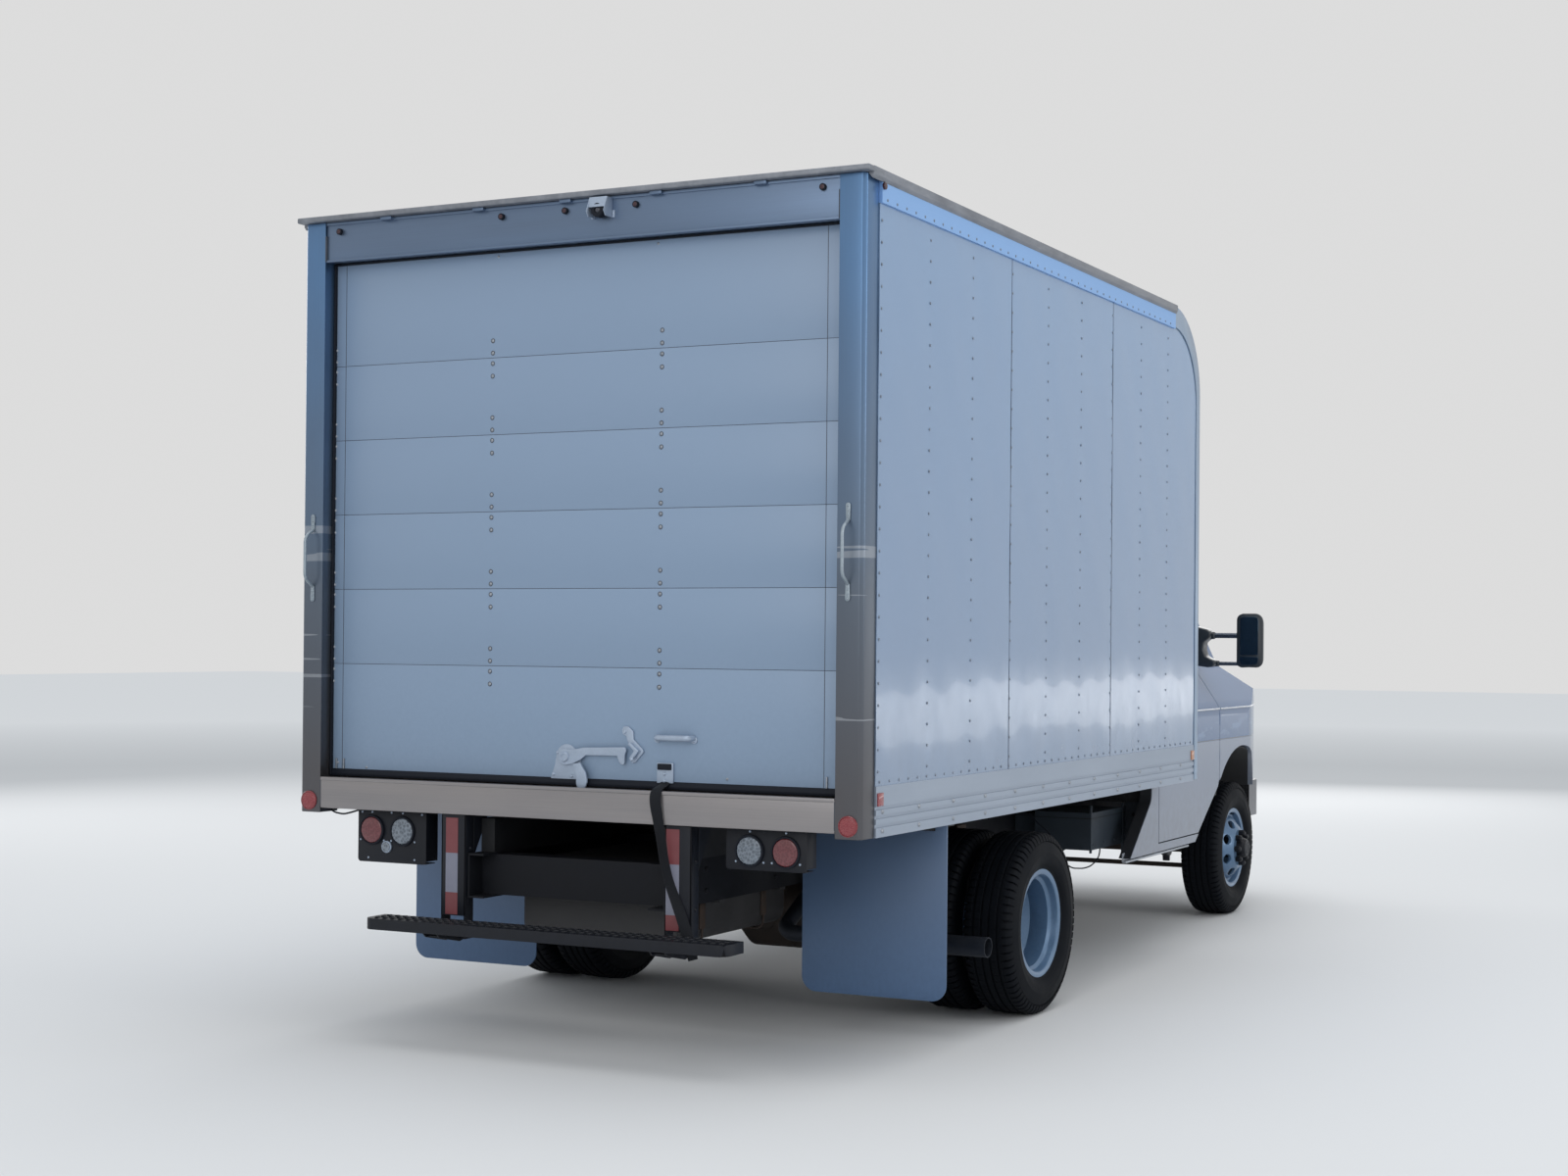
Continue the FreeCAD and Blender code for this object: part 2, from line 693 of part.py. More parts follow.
def tube(points, bends, radius):
    """A round bar or pipe along (x, y, z) points, with a bend at each inner one."""
    shift = FreeCAD.Vector(0, size("rear_face"), 0)
    spots = [FreeCAD.Vector(*point) + shift for point in points]
    path = path_between(spots, bends)
    ring = Part.Wire(Part.makeCircle(radius, spots[0], spots[1] - spots[0]))
    item = doc.addObject("Part::Feature", unique("tube"))
    item.Shape = path.makePipeShell([ring], True, True)
    return item


def door_latch():
    """Latch with its lever, hook and keeper, and the pull handle."""
    door = "door_recess"
    plate = block(
        ("latch_x - 42", "latch_x + 70"),
        (f"{door} - latch_thick", door),
        ("latch_z - 32", "latch_z + 32"),
    )
    lever = block(
        ("latch_x - 30", "latch_x + latch_reach"),
        (f"{door} - 2 * latch_thick", f"{door} - latch_thick"),
        ("latch_z - 14", "latch_z + 12"),
    )
    hook = block(
        ("latch_x + 34", "latch_x + 70"),
        (f"{door} - 2 * latch_thick", f"{door} - latch_thick"),
        ("sill_top + 8", "latch_z"),
    )
    pivot = rod("y", ("latch_x", f"{door} - 3 * latch_thick", "latch_z"), "3 * latch_thick", 15)
    keeper = block(
        ("keeper_x - 12", "keeper_x + 12"),
        (f"{door} - 3 * latch_thick", door),
        ("latch_z + 24", "keeper_top"),
    )
    stand = size("pull_stand")
    near = size("door_recess")
    handle = tube(
        [
            (size("pull_left"), near, size("pull_z")),
            (size("pull_left"), near - stand, size("pull_z")),
            (size("pull_right"), near - stand, size("pull_z")),
            (size("pull_right"), near, size("pull_z")),
        ],
        [stand / 2] * 2,
        size("grab_bar"),
    )
    feet = []
    for end in ("pull_left", "pull_right"):
        feet.append(
            block(
                (f"{end} - 18", f"{end} + 18"),
                (f"{door} - 4", door),
                ("pull_z - 16", "pull_z + 16"),
            )
        )
    latch = fuse([plate, lever, hook, pivot])
    anchor = block(
        ("strap_x - 20", "strap_x + 20"),
        (f"{door} - 2 * strap_radius", door),
        ("strap_top", "strap_top + 20"),
    )
    return [latch, keeper, fuse([handle] + feet), anchor]


def door_hardware():
    """The latch and pull handle, and a bent grab handle on each rear post."""
    stand = size("grab_stand")
    bar = tube(
        [
            (size("grab_x"), 0, size("grab_low")),
            (size("grab_x"), -stand, size("grab_low") + stand / 2),
            (size("grab_x"), -stand, size("grab_high") - stand / 2),
            (size("grab_x"), 0, size("grab_high")),
        ],
        [stand / 2] * 2,
        size("grab_bar"),
    )
    feet = []
    for foot in ("grab_low", "grab_high"):
        feet.append(
            block(
                ("grab_x - 16", "grab_x + 16"),
                ("-5", "0"),
                (f"{foot} - 30", f"{foot} + 30"),
            )
        )
    trim = block(
        ("grab_x - 30", "grab_x + 30"),
        ("0", "grab_stand"),
        ("grab_low - 60", "grab_high + 60"),
    )
    handle = cut(fuse([bar] + feet), [trim])
    node("door_hardware", group(door_latch() + [handle, mirrored(handle)]))


def lamps():
    """Marker lamps of the body, tail lamps and the boxes that carry them."""
    row = [rod("y", (0, "-lamp_proud", "roof_top - header_lamp_drop"), "lamp_proud", "header_lamp_radius")]
    for across in ("header_lamp_in", "header_lamp_out"):
        lamp = rod(
            "y", (across, "-lamp_proud", "roof_top - header_lamp_drop"), "lamp_proud", "header_lamp_radius"
        )
        row += [lamp, mirrored(lamp)]
    foot = rod(
        "y",
        ("corner_lamp_x", "-lamp_proud", "corner_lamp_z"),
        "lamp_proud",
        "corner_lamp_radius",
    )
    side = rod(
        "x",
        (f"{HALF}", "side_lamp_y - 10", "roof_top - header_lamp_drop + 9"),
        "lamp_proud",
        "header_lamp_radius",
    )
    row += [foot, mirrored(foot), side, mirrored(side)]
    for near in ("post_depth + 4", "body_length - rail_lamp_front - rail_lamp_size"):
        square = block(
            (f"{HALF} + rail_proud", f"{HALF} + rail_proud + 5"),
            (near, f"{near} + rail_lamp_size"),
            ("rail_lamp_z - rail_lamp_size / 2", "rail_lamp_z + rail_lamp_size / 2"),
        )
        row += [square, mirrored(square)]
    half = "camera_size / 2"
    housing = prism(
        "YZ_Plane",
        [
            ("-50", f"roof_top - header_lamp_drop - {half}"),
            ("0", f"roof_top - header_lamp_drop - {half}"),
            ("0", f"roof_top - header_lamp_drop + {half}"),
            ("-25", f"roof_top - header_lamp_drop + {half}"),
        ],
        f"camera_x - {half}",
        f"camera_x + {half}",
    )
    node("marker_lamps", group(row + [housing]))
    deep = ("tail_box_rear", "tail_box_rear + tail_box_deep")
    right = block(("tail_box_in", "tail_box_out"), deep, ("tail_box_low", "sill_low"))
    left = block(("-tail_box_out", "-tail_box_in"), deep, ("plate_box_low", "sill_low"))
    boxes = {1: [right], -1: [left]}
    for across in ("stop_lamp_x", "clear_lamp_x"):
        lens = rod(
            "y",
            (across, "tail_box_rear - lamp_proud", "tail_lamp_z"),
            "lamp_proud",
            "tail_lamp_radius",
        )
        boxes[1].append(lens)
        boxes[-1].append(mirrored(lens))
    node("tail_lamps", group([fuse(boxes[1]), fuse(boxes[-1])]))


def rear_step():
    """Tread on arms that two hanger posts carry."""
    tread = prism(
        "XY_Plane",
        [
            ("-step_half", "step_rear"),
            ("step_half", "step_rear"),
            ("step_half", "step_front"),
            ("-step_half", "step_front"),
        ],
        "step_top - step_thick",
        "step_top",
        {0: "step_round", 1: "step_round"},
    )
    under = "step_top - step_thick"
    post = block(
        ("hanger_x - hanger_width / 2", "hanger_x + hanger_width / 2"),
        ("10", "10 + hanger_deep"),
        (f"{under} - step_thick", "sill_low"),
    )
    arm = block(
        ("hanger_x - hanger_width / 3", "hanger_x + hanger_width / 3"),
        ("step_rear + step_round / 2", "10"),
        (f"{under} - step_thick", under),
    )
    node("rear_step", fuse([tread, post, arm, mirrored(post), mirrored(arm)]))
    flap = prism(
        "XZ_Plane",
        [
            ("flap_in", "flap_low"),
            (HALF, "flap_low"),
            (HALF, "body_low"),
            ("flap_in", "body_low"),
        ],
        "flap_y",
        "flap_y + flap_thick",
        {0: "flap_round", 1: "flap_round"},
    )
    node("mud_flaps", both(flap))


FRONT_AXLE = "rear_axle + wheelbase"


def axle_brackets():
    """Pivot of the far axle beam, and the seat over the coil spring."""
    pivot = block(
        ("rail_half - rail_flange - 30", "rail_half"),
        (f"{FRONT_AXLE} - 60", f"{FRONT_AXLE} - 4"),
        ("tyre_radius - beam_high / 2", "rail_base"),
    )
    seat = block(
        ("rail_half - rail_flange", "coil_x + coil_radius"),
        (f"{FRONT_AXLE} - coil_radius", f"{FRONT_AXLE} + coil_radius"),
        ("rail_head", "rail_head + 25"),
    )
    return pivot, seat


def frame():
    """Two channel rails and the crossmembers between them."""
    web = "rail_web"
    rail = prism(
        "XZ_Plane",
        [
            ("rail_half - rail_flange", "rail_base"),
            ("rail_half", "rail_base"),
            ("rail_half", "rail_head"),
            ("rail_half - rail_flange", "rail_head"),
            ("rail_half - rail_flange", f"rail_head - {web}"),
            (f"rail_half - {web}", f"rail_head - {web}"),
            (f"rail_half - {web}", f"rail_base + {web}"),
            ("rail_half - rail_flange", f"rail_base + {web}"),
        ],
        "20",
        "rail_front",
    )
    bracket, seat = axle_brackets()
    node("frame_rail_right", fuse([rail, bracket, seat]))
    node("frame_rail_left", fuse([mirrored(rail), swapped(bracket), mirrored(seat)]))
    across = (f"{web} - rail_half", f"rail_half - {web}")
    high = (f"rail_base + {web}", f"rail_head - {web}")
    members = []
    for near in (
        "100",
        "tank_front + 30",
        "muffler_rear - 150",
        "battery_rear",
        "gearbox_rear - 200",
        "rail_front - member_width",
    ):
        members.append(block(across, (near, f"{near} + member_width"), high))
    node("crossmembers", group(members))


def rear_axle():
    """Differential housing and tubes; returns the leaf spring above them."""
    reach = "(outer_wheel_x - disc_offset - 45)"
    housing = turned(
        [
            (f"-{reach}", "0"),
            (reach, "0"),
            (reach, "axle_tube"),
            ("banjo * 1.4", "axle_tube"),
            ("banjo * 0.6", "banjo"),
            ("-banjo * 0.6", "banjo"),
            ("-banjo * 1.4", "axle_tube"),
            (f"-{reach}", "axle_tube"),
        ],
        "0",
        "rear_axle",
    )
    neck = rod("y", (0, "rear_axle", "tyre_radius + 10"), "banjo + 90", "banjo / 2")
    node("rear_axle", fuse([housing, neck]))
    seat = "tyre_radius + axle_tube"
    eye = "rail_base"
    leaf = prism(
        "YZ_Plane",
        [
            ("rear_axle - spring_half", f"{eye} - 20"),
            ("rear_axle - 60", seat),
            ("rear_axle + 60", seat),
            ("rear_axle + spring_half", f"{eye} - 20"),
            ("rear_axle + spring_half", eye),
            ("rear_axle + 120", f"{seat} + spring_stack"),
            ("rear_axle - 120", f"{seat} + spring_stack"),
            ("rear_axle - spring_half", eye),
        ],
        "spring_x - spring_width / 2",
        "spring_x + spring_width / 2",
    )
    brackets = []
    for near in ("rear_axle - spring_half", "rear_axle + spring_half - 60"):
        brackets.append(
            block(
                ("rail_half", "spring_x + spring_width / 2"),
                (near, f"{near} + 60"),
                (eye, "rail_head - 20"),
            )
        )
    return fuse([leaf] + brackets)


def front_axle():
    """Two crossing beams with king pin eyes; returns the coil spring on one."""
    middle = "tyre_radius"
    beam = block(
        ("-(rail_half - rail_flange - 30)", "king_pin_x"),
        (f"{FRONT_AXLE} + 4", f"{FRONT_AXLE} + 4 + beam_thick"),
        (f"{middle} - beam_high / 2", f"{middle} + beam_high / 2"),
    )
    eye = rod(
        "z",
        ("king_pin_x", FRONT_AXLE, f"{middle} - beam_high / 2"),
        "beam_high",
        "king_pin + king_pin_wall",
    )
    bore = rod(
        "z",
        ("king_pin_x", FRONT_AXLE, f"{middle} - beam_high"),
        "2 * beam_high",
        "king_pin + fit",
    )
    right = cut(fuse([beam, eye]), [bore])
    node("front_axle_beams", group([right, swapped(right)]))
    seat = f"{middle} + beam_high / 2"
    coil = rod("z", ("coil_x", FRONT_AXLE, seat), f"rail_head - ({seat})", "coil_radius")
    return coil


def knuckle():
    """Yoke round the king pin eye with its spindle and arm, and the tie rod."""
    middle = "tyre_radius"
    top = f"{middle} + beam_high / 2 + yoke_gap"
    low = f"{middle} - beam_high / 2 - yoke_gap"
    web_in = "king_pin_x + king_pin + king_pin_wall + yoke_gap"
    web_out = f"{web_in} + knuckle_web"
    lugs = []
    for near in (top, f"{low} - knuckle_lug"):
        lugs.append(
            block(
                ("king_pin_x - knuckle_half", web_out),
                (f"{FRONT_AXLE} - knuckle_half", f"{FRONT_AXLE} + knuckle_half"),
                (near, f"{near} + knuckle_lug"),
            )
        )
    web = block(
        (web_in, web_out),
        (f"{FRONT_AXLE} - 1.3 * knuckle_half", f"{FRONT_AXLE} + 1.3 * knuckle_half"),
        (f"{low} - knuckle_lug", f"{top} + knuckle_lug"),
    )
    pin = rod(
        "z",
        ("king_pin_x", FRONT_AXLE, f"{low} - knuckle_lug"),
        f"{top} + knuckle_lug - ({low} - knuckle_lug)",
        "king_pin",
    )
    spindle = rod(
        "x",
        (web_out, FRONT_AXLE, middle),
        f"front_wheel_x + disc_offset - spindle - ({web_out})",
        "spindle",
    )
    arm_end = f"{FRONT_AXLE} - arm_reach"
    arm = block(
        ("king_pin_x - arm_half", "king_pin_x + arm_half"),
        (f"{arm_end} - arm_half", f"{FRONT_AXLE} - knuckle_half"),
        (f"{low} - knuckle_lug", low),
    )
    right = fuse(lugs + [web, pin, spindle, arm])
    node("knuckle_right", right)
    node("knuckle_left", mirrored(right))
    rod_z = f"{low} - knuckle_lug - tie_rod_drop"
    link = rod("x", ("-king_pin_x", arm_end, rod_z), "2 * king_pin_x", "tie_rod_radius")
    ends = []
    for side in ("king_pin_x", "-king_pin_x"):
        ends.append(
            rod(
                "z",
                (side, arm_end, f"{rod_z} - tie_pin"),
                "tie_pin + tie_rod_drop - fit",
                "tie_pin",
            )
        )
    node("tie_rod", fuse([link] + ends))


def tyre(middle_x, axle_y):
    """Hollow tyre as a ring with rounded shoulders."""
    half = "tyre_width / 2"
    wall = "tyre_wall"
    deep = "(tyre_radius - rim_radius)"
    points = [
        ("bead_half", "rim_radius + fit"),
        ("bead_half", "flange_radius + 2"),
        (half, f"rim_radius + 0.45 * {deep}"),
        (half, f"rim_radius + 0.62 * {deep}"),
        ("tread_half + 14", "tyre_radius - 14"),
        ("tread_half", "tyre_radius"),
        ("-tread_half", "tyre_radius"),
        ("-(tread_half + 14)", "tyre_radius - 14"),
        (f"-({half})", f"rim_radius + 0.62 * {deep}"),
        (f"-({half})", f"rim_radius + 0.45 * {deep}"),
        ("-bead_half", "flange_radius + 2"),
        ("-bead_half", "rim_radius + fit"),
        (f"-(bead_half - {wall})", "rim_radius + fit"),
        (f"-({half} - {wall})", f"rim_radius + 0.5 * {deep}"),
        (f"-tread_half + {wall} / 2", f"tyre_radius - {wall}"),
        (f"tread_half - {wall} / 2", f"tyre_radius - {wall}"),
        (f"{half} - {wall}", f"rim_radius + 0.5 * {deep}"),
        (f"bead_half - {wall}", "rim_radius + fit"),
    ]
    return turned(points, middle_x, axle_y)


def rim(middle_x, axle_y, face):
    """Rim with its disc, whose face is outboard for 1 and inboard for -1."""
    sheet_thick = "rim_sheet"
    drop = "rim_drop"
    slope = "rim_well + rim_slope"
    points = [
        ("-rim_half", "flange_radius"),
        ("-rim_half + 3", "flange_radius"),
        ("-rim_half + 3", "rim_radius"),
        (f"-({slope})", "rim_radius"),
        ("-rim_well", f"rim_radius - {drop}"),
        ("rim_well", f"rim_radius - {drop}"),
        (slope, "rim_radius"),
        ("rim_half - 3", "rim_radius"),
        ("rim_half - 3", "flange_radius"),
        ("rim_half", "flange_radius"),
        ("rim_half", f"rim_radius - {sheet_thick}"),
        (f"{slope} + 3", f"rim_radius - {sheet_thick}"),
        ("rim_well + 3", f"rim_radius - {drop} - {sheet_thick}"),
        ("-(rim_well + 3)", f"rim_radius - {drop} - {sheet_thick}"),
        (f"-({slope} + 3)", f"rim_radius - {sheet_thick}"),
        ("-rim_half", f"rim_radius - {sheet_thick}"),
    ]
    barrel = turned(points, middle_x, axle_y)
    edge = f"rim_radius - {drop} - {sheet_thick} + 2"
    disc_points = [
        (f"{face} * 30", edge),
        (f"{face} * 42", edge),
        (f"{face} * (disc_offset - 8)", "hub_bore + 58"),
        (f"{face} * disc_offset", "hub_bore + 40"),
        (f"{face} * disc_offset", "hub_bore"),
        (f"{face} * (disc_offset - 9)", "hub_bore"),
        (f"{face} * (disc_offset - 9)", "hub_bore + 34"),
        (f"{face} * (disc_offset - 19)", "hub_bore + 50"),
    ]
    disc = turned(disc_points, middle_x, axle_y)
    holes = []
    count = int(size("hand_hole_count"))
    for step in range(count):
        angle = 360 / count * (step + 0.5)
        holes.append(
            rod(
                "x",
                (
                    f"{middle_x} - disc_offset",
                    f"{axle_y} + hand_hole_circle * cos({angle})",
                    f"tyre_radius + hand_hole_circle * sin({angle})",
                ),
                "2 * disc_offset",
                "hand_hole",
            )
        )
    return fuse([barrel, cut(disc, holes)])


def front_wheel():
    """Tyre, and the rim with its hub on the front spindle."""
    ring = tyre("front_wheel_x", FRONT_AXLE)
    node("tyre_front_right", ring)
    node("tyre_front_left", mirrored(ring))
    face = "front_wheel_x + disc_offset"
    back = f"{face} - 9 - hub_flange"
    flange = rod("x", (back, FRONT_AXLE, "tyre_radius"), "hub_flange", "hub_bore + 34")
    drum = rod(
        "x",
        (f"{face} - hub_inner", FRONT_AXLE, "tyre_radius"),
        "hub_inner + front_cap",
        "hub_bore - 4",
    )
    bore = rod(
        "x",
        (f"{face} - hub_inner - 2", FRONT_AXLE, "tyre_radius"),
        "front_bore + 2",
        "spindle + fit",
    )
    middle = cut(fuse([flange, drum]), [bore])
    wheel = fuse([rim("front_wheel_x", FRONT_AXLE, 1), middle])
    node("rim_front_right", wheel)
    node("rim_front_left", mirrored(wheel))


def rear_wheel():
    """Twin tyres, and the two rims back to back on one hub."""
    inner = "outer_wheel_x - dual_spacing"
    pair = group([tyre("outer_wheel_x", "rear_axle"), tyre(inner, "rear_axle")])
    node("tyre_rear_right", pair)
    node("tyre_rear_left", mirrored(pair))
    face = "outer_wheel_x - disc_offset"
    back = f"{face} - 9 - hub_flange"
    flange = rod("x", (back, "rear_axle", "tyre_radius"), "hub_flange", "hub_bore + 34")
    drum = rod(
        "x",
        (f"{face} - hub_inner", "rear_axle", "tyre_radius"),
        "hub_inner - 10",
        "axle_tube + 26",
    )
    cap = rod("x", (f"{face} - 12", "rear_axle", "tyre_radius"), "12 + rear_cap", "hub_bore - 6")
    bore = rod(
        "x",
        (f"{face} - hub_inner - 2", "rear_axle", "tyre_radius"),
        "rear_bore + 2",
        "axle_tube + fit",
    )
    middle = cut(fuse([flange, drum, cap]), [bore])
    rims = [rim("outer_wheel_x", "rear_axle", -1), rim(inner, "rear_axle", 1)]
    wheel = fuse(rims + [middle])
    node("rim_rear_right", wheel)
    node("rim_rear_left", mirrored(wheel))


def drive_train():
    """Engine, gearbox, propeller shaft, exhaust and fuel tank."""
    motor = block(
        ("-engine_half", "engine_half"),
        ("engine_rear", "engine_front"),
        ("engine_low", "engine_high"),
    )
    mounts = block(
        ("rail_web - rail_half", "rail_half - rail_web"),
        ("engine_rear + 300", "engine_rear + 380"),
        ("rail_base + rail_web", "rail_base + 80"),
    )
    node("engine", fuse([motor, mounts]))
    case = rod(
        "y",
        (0, "gearbox_rear", "gearbox_z"),
        "engine_rear - gearbox_rear",
        "gearbox_radius",
    )
    bell = rod("y", (0, "engine_rear - 200", "gearbox_z"), "200", "bell_radius")
    neck = "rear_axle + banjo + 90"
    shaft = rod("y", (0, neck, "shaft_z"), f"gearbox_rear - ({neck})", "shaft_radius")
    node("gearbox_and_shaft", fuse([case, bell, shaft]))
    tank = prism(
        "XZ_Plane",
        [
            ("-tank_half", "tank_low"),
            ("tank_half", "tank_low"),
            ("tank_half", "tank_high"),
            ("-tank_half", "tank_high"),
        ],
        "tank_rear",
        "tank_front",
        {0: "60", 1: "60", 2: "40", 3: "40"},
    )
    straps = []
    for near in ("tank_rear + 150", "tank_front - 190"):
        straps.append(
            block(
                ("-rail_half", "rail_half"),
                (near, f"{near} + 40"),
                ("rail_base - 10", "rail_base"),
            )
        )
    node("fuel_tank", fuse([tank] + straps))
    radiator = block(
        ("-radiator_half", "radiator_half"),
        ("rail_front", "rail_front + radiator_thick"),
        ("radiator_low", "radiator_high"),
    )
    node("radiator", radiator)


def exhaust():
    """Muffler under the frame and the tail pipe behind the right rear wheels."""
    x = size("pipe_x")
    axle = size("rear_axle")
    tip_y = size("tip_y")
    tip_z = size("tip_z")
    high = size("pipe_z")
    back = tube(
        [
            (size("muffler_x"), size("muffler_rear") + 30, size("muffler_z")),
            (size("muffler_x"), size("muffler_rear") - 90, size("muffler_z")),
            (x, axle + size("pipe_ahead"), high),
            (x, axle - size("pipe_behind"), high),
            (x, tip_y, tip_z),
            (size("tip_end") - size("pipe_end"), tip_y, tip_z),
        ],
        [size("pipe_bend")] * 4,
        size("pipe_radius"),
    )
    front = rod(
        "y",
        ("muffler_x", "muffler_front - 10", "muffler_z"),
        "gearbox_rear - muffler_front",
        "pipe_radius",
    )
    muffler = rod(
        "y",
        ("muffler_x", "muffler_rear", "muffler_z"),
        "muffler_front - muffler_rear",
        "muffler_radius",
    )
    tip = rod("x", ("tip_end - 420", "tip_y", "tip_z"), "420", "tip_radius")
    bore = rod("x", ("tip_end - 90", "tip_y", "tip_z"), "100", "tip_radius - 3")
    hanger = block(
        ("muffler_x + 40", "rail_half"),
        ("muffler_rear + 40", "muffler_rear + 70"),
        ("muffler_z + 60", "rail_base"),
    )
    node("exhaust", cut(fuse([back, front, muffler, tip, hanger]), [bore]))


def battery_box():
    """Box beside the right frame rail with a holed plate ahead of it."""
    case = block(
        ("battery_in", "battery_out"),
        ("battery_rear", "battery_front"),
        ("battery_low", "battery_high"),
    )
    plate = block(
        ("battery_out - 8", "battery_out"),
        ("battery_front", "battery_front + battery_plate"),
        ("battery_low + 6", "battery_high"),
    )
    carrier = block(
        ("rail_half", "battery_in"),
        ("battery_rear + 60", "battery_front - 60"),
        ("battery_low + 60", "battery_high - 20"),
    )
    holes = []
    for ahead, up in ((45, 50), (45, 130), (150, 60), (150, 150)):
        holes.append(
            rod(
                "x",
                ("battery_out - 20", f"battery_front + {ahead}", f"battery_low + {up}"),
                "40",
                "9",
            )
        )
    node("battery_box", cut(fuse([case, plate, carrier]), holes))


NOSE = "bonnet_lip_y + nose_ahead"


def cab_form(inset, top):
    """The cab as what its side, front and plan outlines share."""
    side = prism(
        "YZ_Plane",
        [
            (f"cab_tail - {inset}", f"cab_low - {inset}"),
            (f"tail_top - {inset} * 3", f"tail_z + {inset}"),
            (f"tail_top - {inset} * 3", "body_low - 20"),
            (f"cab_back - {inset} * 3", "body_low - 20"),
            (f"cab_back - {inset} * 3", f"cab_roof_z - {top}"),
            (f"screen_top_y - {inset} / 3", f"cab_roof_z - {top}"),
            (f"screen_foot_y - {inset} / 2", f"screen_foot_z - {inset} / 2"),
            (f"bonnet_lip_y - {inset} / 2", f"bonnet_lip_z - {inset} / 2"),
            (f"{NOSE} - {inset}", f"nose_z - {inset} / 2"),
            (f"{NOSE} - {inset}", f"cab_low - {inset}"),
        ],
        "-cab_half - 10",
        "cab_half + 10",
        {1: "70", 4: "60", 5: "220", 7: "160", 8: "60"},
    )
    front = prism(
        "XZ_Plane",
        [
            (f"-(cab_half - {inset})", "cab_low - 100"),
            (f"cab_half - {inset}", "cab_low - 100"),
            (f"cab_half - {inset}", "belt_z"),
            (f"shoulder_half - {inset}", "shoulder_z"),
            (f"roof_half - {inset}", f"cab_roof_z - {top}"),
            (f"-(roof_half - {inset})", f"cab_roof_z - {top}"),
            (f"-(shoulder_half - {inset})", "shoulder_z"),
            (f"-(cab_half - {inset})", "belt_z"),
        ],
        "cab_tail - 300",
        f"{NOSE} + 10",
        {2: "140", 3: "90", 4: "110", 5: "110", 6: "90", 7: "140"},
    )
    plan = prism(
        "XY_Plane",
        [
            (f"-(cab_half - {inset})", "cab_tail - 300"),
            (f"cab_half - {inset}", "cab_tail - 300"),
            (f"cab_half - {inset}", "taper_y"),
            (f"corner_x - {inset}", "corner_y"),
            (f"nose_half - {inset} / 2", f"{NOSE} - {inset}"),
            (f"-(nose_half - {inset} / 2)", f"{NOSE} - {inset}"),
            (f"-(corner_x - {inset})", "corner_y"),
            (f"-(cab_half - {inset})", "taper_y"),
        ],
        "cab_low - 100",
        "cab_roof_z + 10",
        {2: "700", 3: "160", 4: "120", 5: "120", 6: "160", 7: "700"},
    )
    return common([side, front, plan])


def door_outline(grow):
    """The edge of a cab door, grown by the gap round it or not."""
    return [
        (f"door_rear - {grow}", f"door_low - {grow}"),
        (f"arch_step_y + 80 + {grow}", f"door_low - {grow}"),
        (f"arch_knee_y - 52 + {grow}", f"arch_knee_z - 45 - {grow}"),
        (f"door_front + {grow}", "arch_knee_z"),
        (f"door_front + {grow}", "pillar_knee_z"),
        (f"door_front - pillar_lean + {grow}", f"door_high + {grow}"),
        (f"door_rear - {grow}", f"door_high + {grow}"),
    ]


def window_outline(grow):
    """The edge of the side window."""
    return [
        (f"window_rear - {grow}", f"window_low - {grow}"),
        (f"window_front + {grow}", f"window_low - {grow}"),
        (f"window_front - window_lean + {grow}", f"window_high + {grow}"),
        (f"window_rear - {grow}", f"window_high + {grow}"),
    ]


LEAN = "(shoulder_half - roof_half) / (cab_roof_z - shoulder_z)"


def side_x(height, inset):
    """How far out the leaning cab side is at a height above its shoulder."""
    return f"shoulder_half - (({height}) - shoulder_z) * {LEAN} - ({inset})"


def slanted_slab(near, far, low, high, y_low, y_high):
    """A slab parallel to the leaning side of the cab."""
    return prism(
        "XZ_Plane",
        [
            (side_x(low, far), low),
            (side_x(low, near), low),
            (side_x(high, near), high),
            (side_x(high, far), high),
        ],
        y_low,
        y_high,
    )


